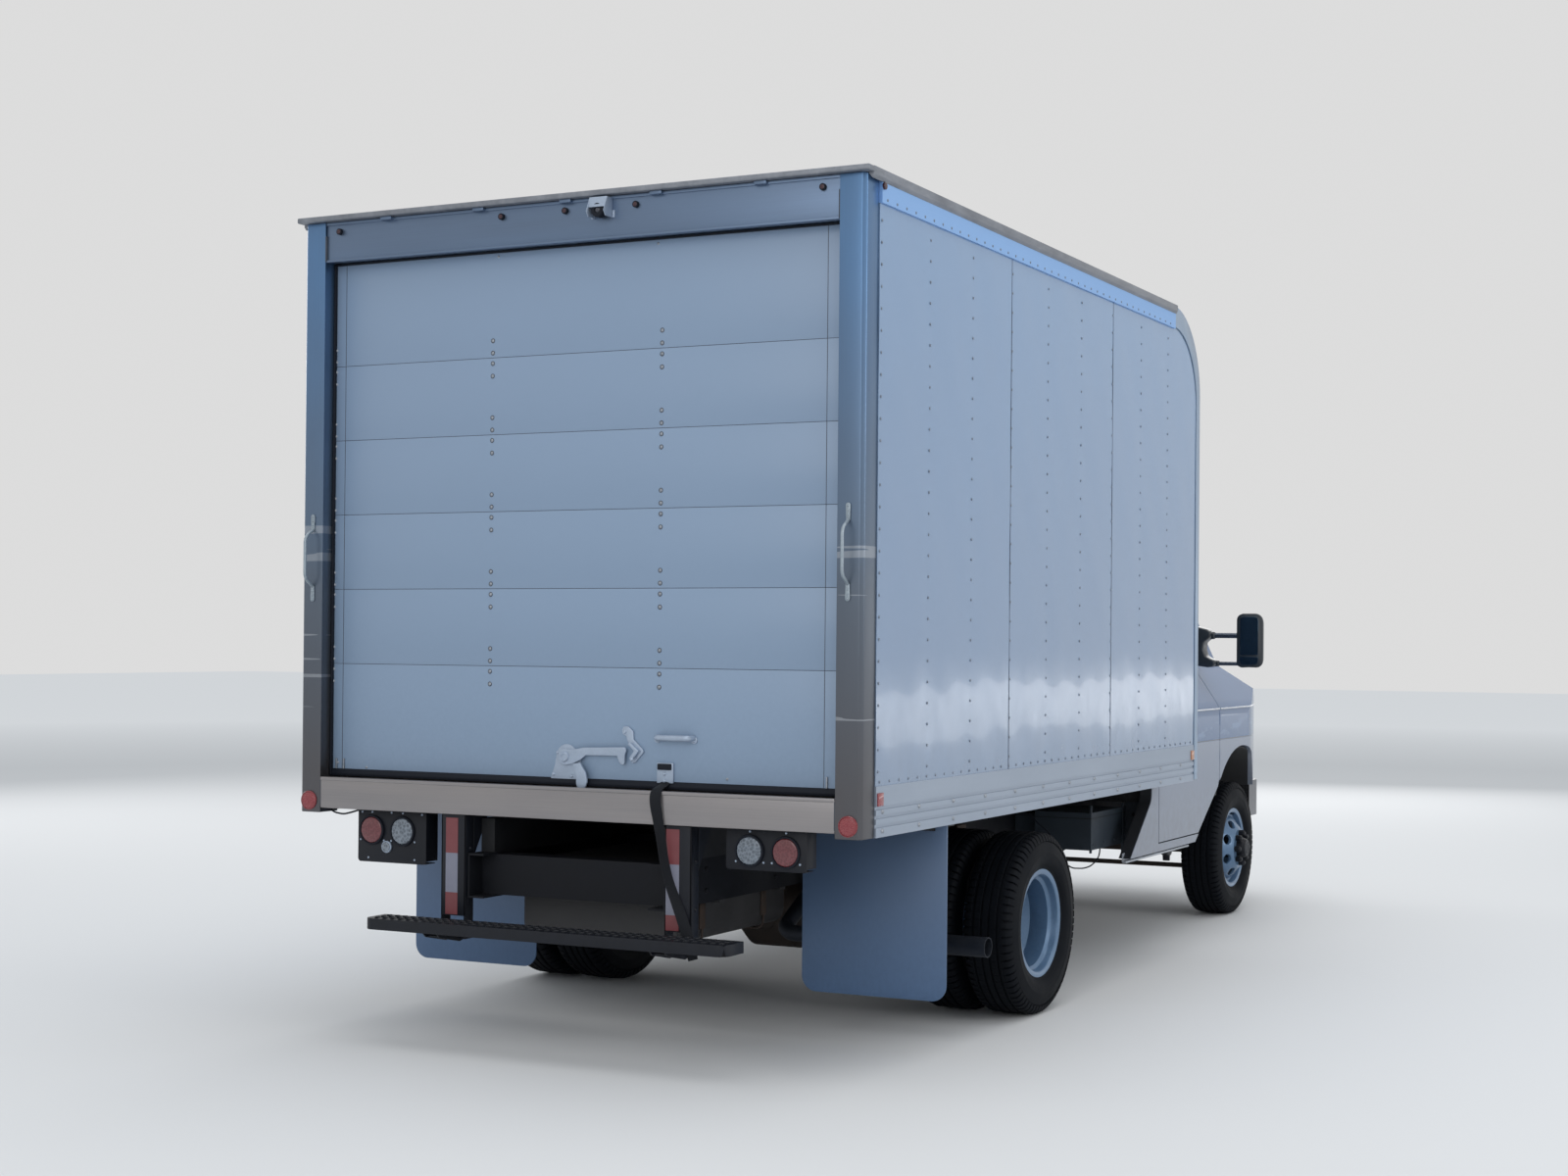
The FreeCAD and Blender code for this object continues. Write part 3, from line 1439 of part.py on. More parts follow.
def cab():
    """Cab panels cut from one hollow form along the real joints."""
    outer = cab_form("0", "0")
    inner = cab_form("cab_wall", "cab_roof_thick")
    shell = cut(outer, [inner])
    wide = ("-cab_half - 20", "cab_half + 20")
    right = ("roof_half - 200", "cab_half + 20")
    line = "door_high + gap"
    roof = common([shell, block(wide, ("cab_tail", NOSE), (line, "cab_roof_z + 10"))])

    hole = prism("YZ_Plane", door_outline("gap"), *right, {6: "46", 5: "46"})
    arch = rod("x", ("roof_half - 300", FRONT_AXLE, "tyre_radius"), "600", "arch_radius")
    knee = prism(
        "YZ_Plane",
        [
            ("arch_step_y", "cab_low - 20"),
            (f"{FRONT_AXLE} + arch_radius - 40", "cab_low - 20"),
            (f"{FRONT_AXLE} + arch_radius - 40", "arch_knee_z - 200"),
            (FRONT_AXLE, "arch_knee_z"),
            ("arch_knee_y", "arch_knee_z"),
        ],
        "roof_half - 300",
        "cab_half + 60",
    )
    quarter = common(
        [shell, block(right, ("cab_tail - 10", "door_front - pillar_lean - 30"), ("cab_low - 1", line))]
    )
    quarter = cut(quarter, [hole, knee])
    node("cab_sides", both(quarter))

    screen = prism(
        "XZ_Plane",
        [
            ("-(shoulder_half - 60)", "screen_foot_z + 12"),
            ("shoulder_half - 60", "screen_foot_z + 12"),
            ("roof_half - 60", "door_high - 6"),
            ("-(roof_half - 60)", "door_high - 6"),
        ],
        "door_rear",
        NOSE,
        {0: "50", 1: "50", 2: "50", 3: "50"},
    )
    pillar_zone = block(
        wide, ("door_front - pillar_lean - 30", "screen_foot_y + 40"), ("screen_foot_z", line)
    )
    holes = [hole, mirrored(hole), screen]
    pillars = cut(common([shell, pillar_zone]), holes)
    node("cab_roof", fuse([roof, pillars]))
    slope = "(screen_foot_y - screen_top_y) / (cab_roof_z - screen_foot_z)"
    foot = "screen_foot_z - 40"
    top = "door_high + 30"
    glass = prism(
        "YZ_Plane",
        [
            (f"screen_foot_y + 40 * {slope} - 24", foot),
            (f"screen_foot_y + 40 * {slope} - 15", foot),
            (f"screen_top_y + (cab_roof_z - ({top})) * {slope} - 15", top),
            (f"screen_top_y + (cab_roof_z - ({top})) * {slope} - 24", top),
        ],
        "-cab_half",
        "cab_half",
    )
    node("windscreen", common([glass, screen]))

    fender_zone = block(
        wide, ("door_front + gap", "bonnet_lip_y"), ("cab_low - 1", "screen_foot_z")
    )
    bonnet_hole = block(
        ("-bonnet_half - gap", "bonnet_half + gap"),
        ("bonnet_rear - gap", NOSE),
        ("bonnet_lip_z - 160", "screen_foot_z + 10"),
    )
    bumper_room = block(
        wide, (f"{FRONT_AXLE} + arch_radius - 100", f"{NOSE} + 10"), ("cab_low - 10", "bumper_high + gap")
    )
    fenders = cut(
        common([shell, fender_zone]),
        [bonnet_hole, arch, mirrored(arch), knee, mirrored(knee), bumper_room],
    )
    fall = "(screen_foot_z - bonnet_lip_z) / (bonnet_lip_y - screen_foot_y)"
    rear_z = f"screen_foot_z - (bonnet_rear - screen_foot_y) * {fall}"
    pins = []
    for middle in ("bonnet_half - 150", "150 - bonnet_half"):
        across = (f"{middle} - 40", f"{middle} + 40")
        pins.append(
            rod("x", (across[0], "bonnet_rear - gap / 2", rear_z), "80", "gap / 2 - fit")
        )
        pins.append(
            block(across, ("bonnet_rear - gap - 1", "bonnet_rear - gap / 2"), (f"{rear_z} - 2", rear_z))
        )
    for low in ("arch_knee_z + 90", "belt_z - 90"):
        pin = rod("z", ("cab_half", "door_front + gap / 2", low), "60", "gap / 2 - fit")
        leaf = block(
            ("cab_half - 5", "cab_half"),
            ("door_front + gap / 2", "door_front + gap + 1"),
            (low, f"{low} + 60"),
        )
        pins += [pin, leaf, mirrored(pin), mirrored(leaf)]
    node("front_fenders", fuse([fenders] + pins))

    bonnet = prism(
        "YZ_Plane",
        [
            ("bonnet_rear", f"{rear_z} - bonnet_thick"),
            ("bonnet_lip_y - 6", "bonnet_lip_z - bonnet_thick"),
            ("bonnet_lip_y - 6", f"bonnet_lip_z + 6 * {fall}"),
            ("bonnet_rear", rear_z),
        ],
        "-bonnet_half",
        "bonnet_half",
    )
    node("bonnet", common([bonnet, outer]))

    front_zone = block(wide, ("bonnet_lip_y", f"{NOSE} + 10"), ("bumper_high + gap", "bonnet_lip_z + 10"))
    grille_hole = block(
        ("-grille_half", "grille_half"),
        ("bonnet_lip_y - 100", f"{NOSE} + 10"),
        ("grille_low", "nose_z - 40"),
    )
    lamp_hole = block(
        ("grille_half + 25", "lamp_out"),
        ("bonnet_lip_y - 150", f"{NOSE} + 10"),
        ("grille_low + 80", "nose_z - 30"),
    )
    panel = cut(common([shell, front_zone]), [grille_hole, lamp_hole, mirrored(lamp_hole)])
    node("front_panel", panel)
    lamp = common([outer, lamp_hole])
    behind = cut(lamp, [block(wide, ("bonnet_lip_y - 200", "bonnet_lip_y"), ("0", "cab_roof_z"))])
    node("headlamps", both(behind))
    bars = []
    count = int(size("grille_bars"))
    for step in range(count):
        near = f"grille_low + (nose_z - 40 - grille_low) / {count} * {step + 0.35}"
        bars.append(
            block(
                ("-grille_half", "grille_half"),
                (f"{NOSE} - 45", f"{NOSE} - 12"),
                (near, f"{near} + 22"),
            )
        )
    node("grille", group(bars))
    return shell, inner


def cab_doors(shell):
    """Doors with cut windows, their glass and the mirrors on them."""
    right = ("roof_half - 200", "cab_half + 20")
    leaf = prism("YZ_Plane", door_outline("0"), *right, {6: "40", 5: "40"})
    window = prism("YZ_Plane", window_outline("0"), *right, {0: "40", 1: "40", 2: "40", 3: "40"})
    head = "door_high + 10"
    rebate = prism(
        "XZ_Plane",
        [
            ("cab_half - 16", "belt_z - 40"),
            ("shoulder_half - 16", "shoulder_z"),
            (side_x(head, "16"), head),
            (side_x(head, "cab_wall + 60"), head),
            ("shoulder_half - cab_wall - 60", "shoulder_z"),
            ("cab_half - cab_wall - 60", "belt_z - 40"),
        ],
        "door_rear - 1",
        "door_rear + 30",
    )
    door = cut(common([shell, leaf]), [window, rebate])
    node("cab_door_right", door)
    node("cab_door_left", mirrored(door))
    pane = slanted_slab(
        "26", "26 + glass", "window_low - 20", "window_high + 20", "door_rear", "door_front"
    )
    glass = common([pane, window])
    node("door_glass_right", glass)
    node("door_glass_left", mirrored(glass))
    housing = prism(
        "XZ_Plane",
        [
            ("mirror_in", "mirror_low"),
            ("mirror_in + mirror_width", "mirror_low"),
            ("mirror_in + mirror_width", "mirror_high"),
            ("mirror_in", "mirror_high"),
        ],
        "mirror_y",
        "mirror_y + mirror_deep",
        {0: "mirror_round", 1: "mirror_round", 2: "mirror_round", 3: "mirror_round"},
    )
    plan = prism(
        "XY_Plane",
        [
            ("mirror_in", "mirror_y"),
            ("mirror_in + mirror_width", "mirror_y"),
            ("mirror_in + mirror_width", "mirror_y + 30"),
            ("mirror_in + mirror_width - 40", "mirror_y + mirror_deep"),
            ("mirror_in + 40", "mirror_y + mirror_deep"),
            ("mirror_in", "mirror_y + 30"),
        ],
        "mirror_low",
        "mirror_high",
        {2: "30", 3: "25", 4: "25", 5: "30"},
    )
    bracket = prism(
        "XZ_Plane",
        [
            (side_x("arm_low_z + 8", "0"), "arm_low_z + 8"),
            ("bracket_low - 45", "arm_low_z - 22"),
            ("bracket_low", "arm_low_z - 18"),
            ("bracket_low", "arm_low_z + 16"),
            ("bracket_neck + 12", "arm_low_z + 40"),
            ("bracket_neck", "(arm_low_z + arm_high_z) / 2"),
            ("bracket_neck + 8", "arm_high_z - 34"),
            ("bracket_high", "arm_high_z - 20"),
            ("bracket_high", "arm_high_z + 20"),
            ("bracket_high - 45", "arm_high_z + 44"),
            (side_x("arm_high_z + 62", "0"), "arm_high_z + 62"),
        ],
        "mirror_y - 10",
        "mirror_y + mirror_deep - 5",
        {2: "14", 3: "14", 4: "40", 5: "30", 6: "20", 7: "14", 8: "14", 9: "40"},
    )
    arms = []
    for end, near, radius in (
        ("bracket_high", "arm_high_z", "arm_high_radius"),
        ("bracket_low", "arm_low_z", "arm_low_radius"),
    ):
        arms.append(
            rod(
                "x",
                (f"{end} - 20", "mirror_y + mirror_deep / 2", near),
                f"mirror_in + 20 - ({end} - 20)",
                radius,
            )
        )
    mirror = fuse([common([housing, plan]), bracket] + arms)
    node("mirror_right", mirror)
    node("mirror_left", mirrored(mirror))


def cab_inside(room):
    """Floor with the bulkhead, back wall, seats, dashboard and steering wheel."""
    wide = "cab_half - cab_wall - 20"
    half = side_x("shoulder_z", "cab_wall + gap")
    across = (f"-({half})", half)
    floor = block(
        (f"-({wide})", wide),
        ("cab_back + back_thick", "firewall_y"),
        ("cab_floor_z - cab_floor_thick", "cab_floor_z"),
    )
    bulkhead = block(
        across,
        ("firewall_y", "firewall_y + firewall_thick"),
        ("cab_floor_z - cab_floor_thick", "screen_foot_z - 60"),
    )
    back = block(
        ("-cab_half", "cab_half"),
        ("cab_back", "cab_back + back_thick"),
        ("cab_floor_z - cab_floor_thick", "cab_roof_z"),
    )
    node("cab_floor", fuse([floor, bulkhead, common([back, room])]))
    seat = prism(
        "YZ_Plane",
        [
            ("seat_rear + 140", "cab_floor_z"),
            ("seat_front - 70", "cab_floor_z"),
            ("seat_front - 70", "seat_top - 160"),
            ("seat_front", "seat_top - 140"),
            ("seat_front", "seat_top"),
            ("seat_rear + 220", "seat_top - 20"),
            ("seat_rear + 110", "seat_back_top"),
            ("seat_rear", "seat_back_top"),
            ("seat_rear + 100", "seat_top - 50"),
        ],
        "seat_x - seat_half",
        "seat_x + seat_half",
        {3: "30", 4: "50", 5: "40", 6: "35", 7: "35"},
    )
    node("seats", both(seat))
    dash = prism(
        "YZ_Plane",
        [
            ("dash_rear + 40", "dash_low"),
            ("firewall_y", "dash_low"),
            ("firewall_y", "dash_top - 40"),
            ("dash_rear + 60", "dash_top"),
            ("dash_rear", "dash_top - 70"),
        ],
        "-dash_half",
        "dash_half",
        {3: "40", 4: "30"},
    )
    ring = doc.addObject("Part::Torus", unique("ring"))
    bind(ring, "Radius1", "steer_radius")
    bind(ring, "Radius2", "15")
    ring.Placement.Rotation = FreeCAD.Rotation(FreeCAD.Vector(1, 0, 0), 65)
    place(ring, "-seat_x", "steer_y", "steer_z")
    x = -size("seat_x")
    y = size("steer_y")
    z = size("steer_z")
    reach = size("dash_rear") + 30 - y
    column = tube([(x, y, z), (x, y + reach, z - reach * math.tan(math.radians(25)))], [], 28)
    spoke = rod("x", ("-seat_x - steer_radius", "steer_y", "steer_z"), "2 * steer_radius", "14")
    node("dashboard", fuse([dash, ring, column, spoke]))


def bumper():
    """Bumper with swept ends, valance and the arms from the frame."""
    bar = prism(
        "XY_Plane",
        [
            ("bumper_half", "bumper_front - 305"),
            ("bumper_half", "bumper_front - 115"),
            ("bumper_half - 160", "bumper_front"),
            ("-(bumper_half - 160)", "bumper_front"),
            ("-bumper_half", "bumper_front - 115"),
            ("-bumper_half", "bumper_front - 305"),
            ("-(bumper_half - 50)", "bumper_front - 305"),
            ("-(bumper_half - 50)", "bumper_front - 160"),
            ("-(bumper_half - 190)", "bumper_front - 50"),
            ("bumper_half - 190", "bumper_front - 50"),
            ("bumper_half - 50", "bumper_front - 160"),
            ("bumper_half - 50", "bumper_front - 305"),
        ],
        "bumper_low",
        "bumper_high",
        {1: "90", 2: "90", 3: "90", 4: "90"},
    )
    valance = block(
        ("-(bumper_half - 110)", "bumper_half - 110"),
        ("bumper_front - 120", "bumper_front - 90"),
        ("valance_low", "bumper_low + 30"),
    )
    arms = []
    for side in (1, -1):
        arms.append(
            block(
                (f"{side} * rail_half - 25", f"{side} * rail_half + 25"),
                ("rail_front", "bumper_front - 50"),
                ("rail_base + 20", "bumper_high - 20"),
            )
        )
    node("front_bumper", fuse([bar, valance] + arms))


def pull_strap():
    """Strap from the door, over the sill and down past the step."""
    spots = [
        (402, 61, 1056),
        (402, 60, 1030),
        (403, 48, 1004),
        (405, 22, 996),
        (407, -8, 985),
        (410, -22, 950),
        (424, -20, 885),
        (436, -16, 810),
        (446, -12, 735),
        (464, -9, 665),
        (492, -8, 600),
        (522, -7, 530),
        (548, -7, 460),
        (566, -7, 395),
    ]
    bends = limp_bends(spots)
    print("pull strap bend radii, mm:", [round(bend) for bend in bends])
    node("pull_strap", tube(spots, bends, size("strap_radius")))


rear_frame()
load_floor()
side_walls()
side_rails()
roof_and_nose()
roll_up_door()
door_hardware()
lamps()
rear_step()
frame()
leaf_spring = rear_axle()
coil_spring = front_axle()
node("springs", group([leaf_spring, mirrored(leaf_spring), coil_spring, mirrored(coil_spring)]))
knuckle()
front_wheel()
rear_wheel()
drive_train()
exhaust()
battery_box()
cab_shell, cab_room = cab()
cab_doors(cab_shell)
cab_inside(cab_room)
bumper()
pull_strap()

doc.recompute()
for item in doc.Objects:
    if "Invalid" in item.State or "Error" in item.State:
        raise RuntimeError(f"{item.Name} ({item.Label}) is {item.State}")
for item in nodes:
    if item.Shape.isNull() or not item.Shape.isValid():
        raise RuntimeError(f"{item.Label} has no valid shape")

os.makedirs("parts", exist_ok=True)
for item in nodes:
    item.Shape.exportStep(f"parts/{item.Label}.step")
print(len(nodes), "sub-parts written")
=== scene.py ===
import json
import math

import bpy
from mathutils import Matrix, Vector

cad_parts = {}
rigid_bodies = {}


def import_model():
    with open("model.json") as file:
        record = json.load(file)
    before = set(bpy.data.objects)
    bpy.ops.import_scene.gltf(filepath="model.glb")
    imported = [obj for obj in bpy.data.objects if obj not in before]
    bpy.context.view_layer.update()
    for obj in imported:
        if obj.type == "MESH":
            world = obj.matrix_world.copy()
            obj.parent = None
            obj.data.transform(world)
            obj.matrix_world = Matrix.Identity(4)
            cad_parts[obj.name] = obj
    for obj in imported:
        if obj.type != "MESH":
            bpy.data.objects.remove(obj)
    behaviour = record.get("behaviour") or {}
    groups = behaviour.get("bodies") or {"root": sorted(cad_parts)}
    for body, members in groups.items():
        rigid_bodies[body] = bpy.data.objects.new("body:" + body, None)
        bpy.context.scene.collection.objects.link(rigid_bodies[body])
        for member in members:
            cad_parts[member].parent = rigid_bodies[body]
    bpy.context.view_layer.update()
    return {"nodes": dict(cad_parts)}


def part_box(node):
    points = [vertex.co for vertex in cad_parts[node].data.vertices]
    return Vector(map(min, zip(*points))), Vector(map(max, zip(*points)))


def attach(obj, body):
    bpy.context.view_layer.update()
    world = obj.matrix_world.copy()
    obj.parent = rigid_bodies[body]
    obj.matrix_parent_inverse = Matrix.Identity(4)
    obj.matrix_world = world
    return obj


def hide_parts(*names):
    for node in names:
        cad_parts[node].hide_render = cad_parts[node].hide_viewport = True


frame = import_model()

# The truck stands on z = 0 and faces +Y. The load body's rear face, where most
# places on the body are measured from, is the rear face of the sill.
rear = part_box("rear_step")[0].y + 0.15


# Camera: a person's eye height behind the truck's right rear corner, with a short
# telephoto. The picture is cropped off centre, which the small shift follows.

IMAGE_WIDTH, IMAGE_HEIGHT = 1600, 1200
SENSOR = 36.0
view_centre_x, view_centre_y = 964.8, 640.4
focal_pixels = 2160.8
camera_data = bpy.data.cameras.new("camera")
camera_data.sensor_width = SENSOR
camera_data.lens = focal_pixels / IMAGE_WIDTH * SENSOR
camera_data.shift_x = (IMAGE_WIDTH / 2 - view_centre_x) / IMAGE_WIDTH
camera_data.shift_y = (view_centre_y - IMAGE_HEIGHT / 2) / IMAGE_WIDTH
camera_data.clip_end = 200
camera = bpy.data.objects.new("camera", camera_data)
bpy.context.collection.objects.link(camera)
turn_left, tilt_up, lean = 0.4313, 0.0063, 0.0081
camera.matrix_world = (
    Matrix.Translation((4.477, rear - 6.407, 1.5245))
    @ Matrix.Rotation(turn_left, 4, "Z")
    @ Matrix.Rotation(math.pi / 2 + tilt_up, 4, "X")
    @ Matrix.Rotation(lean, 4, "Z")
)
bpy.context.scene.camera = camera
bpy.context.scene.view_settings.view_transform = "Standard"


# Shader maths: a socket wrapped so that an expression on values adds Math nodes,
# and a finish that is being made, with one method for any other node.


class Value:
    """A socket of a material that can be added, multiplied and compared."""

    def __init__(self, finish, socket):
        self.finish = finish
        self.socket = socket

    def maths(self, operation, first, second=0.0):
        node = self.finish.tree.nodes.new("ShaderNodeMath")
        node.operation = operation
        for socket, value in zip(node.inputs, (first, second)):
            self.finish.feed(socket, value)
        return Value(self.finish, node.outputs[0])

    def __add__(self, other):
        return self.maths("ADD", self, other)

    def __sub__(self, other):
        return self.maths("SUBTRACT", self, other)

    def __rsub__(self, other):
        return self.maths("SUBTRACT", other, self)

    def __mul__(self, other):
        return self.maths("MULTIPLY", self, other)

    def __truediv__(self, other):
        return self.maths("DIVIDE", self, other)

    def __pow__(self, other):
        return self.maths("POWER", self, other)

    def __gt__(self, other):
        return self.maths("GREATER_THAN", self, other)

    def __lt__(self, other):
        return self.maths("LESS_THAN", self, other)

    def __abs__(self):
        return self.maths("ABSOLUTE", self)

    def __mod__(self, other):
        return self.maths("FLOORED_MODULO", self, other)

    __radd__ = __add__
    __rmul__ = __mul__


class Finish:
    """A material that is being made on one Principled shader."""

    def __init__(self, name, **fixed):
        self.material = bpy.data.materials.new(name)
        self.material.use_nodes = True
        self.tree = self.material.node_tree
        self.shader = self.tree.nodes["Principled BSDF"]
        self.set(**fixed)

    def feed(self, socket, value):
        if isinstance(value, Value):
            self.tree.links.new(value.socket, socket)
        elif value is not None:
            socket.default_value = value

    def set(self, **values):
        """Values or links for the shader's sockets, by their names."""
        for name, value in values.items():
            if isinstance(value, tuple) and len(value) == 3 and "Color" in name:
                value = (*value, 1.0)
            self.feed(self.shader.inputs[name.replace("_", " ")], value)
        return self

    def add(self, kind, settings=None, output=0, **values):
        """Any node: its settings first, then the values or links of its sockets."""
        node = self.tree.nodes.new("ShaderNode" + kind)
        for name, value in (settings or {}).items():
            if name == "stops":
                for spot, (place, shade) in enumerate(value):
                    if spot > 1:
                        node.color_ramp.elements.new(place)
                    node.color_ramp.elements[spot].position = place
                    node.color_ramp.elements[spot].color = (*shade, 1.0)
            else:
                setattr(node, name, value)
        for name, value in values.items():
            spot = int(name[1:]) if name[0] == "n" and name[1:].isdigit() else name
            self.feed(node.inputs[spot], value)
        return Value(self, node.outputs[output])

    def place(self, scale=(1, 1, 1), turn=(0, 0, 0)):
        """Object coordinates, scaled and turned for a pattern."""
        spot = self.add("TexCoord", output="Object")
        return self.add("Mapping", Vector=spot, Scale=scale, Rotation=turn)

    def axes(self):
        """The three object coordinates as values."""
        spot = self.add("TexCoord", output="Object")
        parts = self.add("SeparateXYZ", Vector=spot)
        return [Value(self, output) for output in parts.socket.node.outputs]

    def noise(self, size, detail=4.0, stretch=(1, 1, 1), roughness=0.5):
        """Noise whose grains are about size metres across."""
        spot = self.place(scale=[1 / (size * part) for part in stretch])
        return self.add("TexNoise", Vector=spot, Scale=1.0, Detail=detail, Roughness=roughness)

    def blend(self, share, first, second):
        """A mix of two colours."""
        node = self.tree.nodes.new("ShaderNodeMix")
        node.data_type = "RGBA"
        for spot, value in ((0, share), (6, first), (7, second)):
            if isinstance(value, tuple):
                value = (*value, 1.0)
            self.feed(node.inputs[spot], value)
        return Value(self, node.outputs[2])

    def ramp(self, value, low, high):
        """From 0 at low to 1 at high."""
        return self.add("MapRange", n0=value, n1=float(low), n2=float(high), n3=0.0, n4=1.0)

    def bump(self, height, depth, strength=1.0):
        """Relief of a real depth in metres."""
        return self.add("Bump", Height=height, Distance=depth, Strength=strength)


def two_tone(name, cloud, dark, light, gloss=None, relief=None, grain=None, **fixed):
    """A finish of two tones in one noise, which also moves its roughness and relief.

    cloud and grain are what noise() takes, gloss is a roughness and what the cloud adds
    to it, and relief is a depth and a strength. The relief follows the grain if given.
    """
    finish = Finish(name, **fixed)
    tone = finish.noise(*cloud)
    finish.set(Base_Color=finish.blend(tone, dark, light))
    if gloss:
        finish.set(Roughness=gloss[0] + tone * gloss[1])
    if relief:
        height = finish.noise(*grain) if grain else tone
        finish.set(Normal=finish.bump(height, *relief))
    return finish


def dress(finish, *names):
    """Give a finish to CAD nodes, by name."""
    for name in names:
        slots = frame["nodes"][name].data.materials
        slots.clear()
        slots.append(finish.material)


# Studio: a plain pale floor, a pale world that metal and glass also show, and soft
# lamps above and beside the truck, as from a bright sky on its shaded side. A long low
# strip beside the road ahead shows the ripples in the side skin.

floor_material = Finish("studio_floor", Roughness=0.95, Specular_IOR_Level=0.0)
floor_east, floor_north, floor_high = floor_material.axes()
far_off = (floor_east**2 + floor_north**2) ** 0.5
far_off = floor_material.ramp(far_off, 17.0, 30.0)
floor_material.set(Base_Color=floor_material.blend(far_off, (0.68, 0.68, 0.68), (0.94, 0.93, 0.92)))
bpy.ops.mesh.primitive_plane_add(size=120)
floor = bpy.context.object
floor.name = "studio_floor"
floor.data.materials.append(floor_material.material)

world = bpy.data.worlds.new("studio")
bpy.context.scene.world = world
world.use_nodes = True
sky = world.node_tree
paths = sky.nodes.new("ShaderNodeLightPath")
either = sky.nodes.new("ShaderNodeMath")
either.operation = "MAXIMUM"
sky.links.new(paths.outputs["Is Glossy Ray"], either.inputs[0])
sky.links.new(paths.outputs["Is Transmission Ray"], either.inputs[1])
seen = sky.nodes.new("ShaderNodeMath")
seen.operation = "MAXIMUM"
sky.links.new(either.outputs[0], seen.inputs[0])
sky.links.new(paths.outputs["Is Camera Ray"], seen.inputs[1])
backdrop = sky.nodes.new("ShaderNodeBackground")
backdrop.inputs["Color"].default_value = (0.72, 0.72, 0.72, 1)
fill = sky.nodes["Background"]
fill.inputs["Color"].default_value = (0.9, 0.95, 1.0, 1)
fill.inputs["Strength"].default_value = 0.75
choice = sky.nodes.new("ShaderNodeMixShader")
sky.links.new(seen.outputs[0], choice.inputs[0])
sky.links.new(fill.outputs[0], choice.inputs[1])
sky.links.new(backdrop.outputs[0], choice.inputs[2])
sky.links.new(choice.outputs[0], sky.nodes["World Output"].inputs["Surface"])


def soft_lamp(name, place, aim, width, power):
    """A square area lamp that faces a point."""
    data = bpy.data.lights.new(name, "AREA")
    data.shape = "SQUARE"
    data.size = width
    data.energy = power
    lamp = bpy.data.objects.new(name, data)
    bpy.context.collection.objects.link(lamp)
    lamp.location = place
    lamp.rotation_euler = (Vector(aim) - Vector(place)).to_track_quat("-Z", "Y").to_euler()
    lamp.visible_camera = False
    return lamp


strip = soft_lamp("lamp_low_strip", (12.0, rear + 32.0, 0.4), (0, rear + 32.0, 0.4), 1.0, 170)
strip.data.shape = "RECTANGLE"
strip.data.size, strip.data.size_y = 36.0, 0.8
soft_lamp("lamp_above", (1.0, -1.0, 11.0), (0, 0, 1.0), 9.0, 420)
soft_lamp("lamp_behind", (1.5, -12.0, 5.0), (0, 0, 1.4), 6.0, 180)
soft_lamp("lamp_right", (12.0, -2.0, 5.0), (0, 0, 1.4), 6.0, 300)
soft_lamp("lamp_left", (-12.0, 3.0, 6.0), (0, 0, 1.4), 6.0, 250)
soft_lamp("lamp_front", (-2.0, 12.0, 5.0), (0, 0, 1.4), 6.0, 250)


# Side skins: white sheet metal on upright stiffeners, three sheets a side, drawn in
# at every column of rivets, so that reflections ripple. Each is a fine grid whose
# pillows are moved in by a formula, over the flat CAD wall.


def fresh():
    """Leave edit mode and deselect all, because an operator acts on what is selected."""
    if bpy.context.object and bpy.context.object.mode != "OBJECT":
        bpy.ops.object.mode_set(mode="OBJECT")
    bpy.ops.object.select_all(action="DESELECT")


def alone(piece):
    """Select one piece only, and make it the active one."""
    fresh()
    piece.select_set(True)
    bpy.context.view_layer.objects.active = piece
    return piece


def unselected(piece):
    """Deselect a piece's whole mesh, before its parts are chosen by a rule."""
    alone(piece)
    bpy.ops.object.mode_set(mode="EDIT")
    bpy.ops.mesh.select_all(action="DESELECT")
    bpy.ops.object.mode_set(mode="OBJECT")


def settled(name, piece=None):
    """Name a piece, and put its place in its mesh."""
    piece = alone(piece or bpy.context.object)
    piece.name = name
    bpy.ops.object.transform_apply(location=True, rotation=True, scale=True)
    return piece


def modified(piece, kind, **settings):
    """Add a modifier to a piece and apply it."""
    alone(piece)
    step = piece.modifiers.new("step", kind)
    for name, value in settings.items():
        setattr(step, name, value)
    bpy.ops.object.modifier_apply(modifier="step")
    return piece


def row(piece, count, step):
    """The piece repeated count times, step apart, in one mesh."""
    return modified(
        piece, "ARRAY", count=count, use_relative_offset=False, use_constant_offset=True,
        constant_offset_displace=step
    )


def smooth(piece, angle=35):
    alone(piece)
    bpy.ops.object.shade_smooth_by_angle(angle=math.radians(angle))
    return piece


def rounded(piece, width, segments=3, angle=30):
    """Bevel the sharp edges, and shade the piece smooth between them."""
    modified(
        piece, "BEVEL", width=width, segments=segments, limit_method="ANGLE",
        angle_limit=math.radians(angle), harden_normals=False
    )
    return smooth(piece)


def joined(name, pieces):
    """Several meshes as one piece."""
    alone(pieces[0])
    for piece in pieces:
        piece.select_set(True)
    bpy.ops.object.join()
    return settled(name)


def copy_of(piece, name, move=(0, 0, 0)):
    """A copy with its own mesh, moved."""
    twin = piece.copy()
    twin.data = piece.data.copy()
    bpy.context.collection.objects.link(twin)
    twin.data.transform(Matrix.Translation(move))
    twin.name = name
    return twin


def mirror_of(piece, name):
    """A mirror image on the truck's other side, with its faces turned back out."""
    twin = copy_of(piece, name)
    twin.data.transform(Matrix.Scale(-1, 4, (1, 0, 0)))
    twin.data.flip_normals()
    return twin


def fitted(piece, finish, body, slot, *replaced):
    """Give a piece its finish and its body, and hide the CAD nodes it stands for. The slot is not
    used.
    """
    piece.data.materials.clear()
    piece.data.materials.append(finish.material)
    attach(piece, body)
    if replaced:
        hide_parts(*replaced)
    return piece


def left_of(name):
    """The name of the same thing on the left side."""
    return name.replace("_right", "_left")


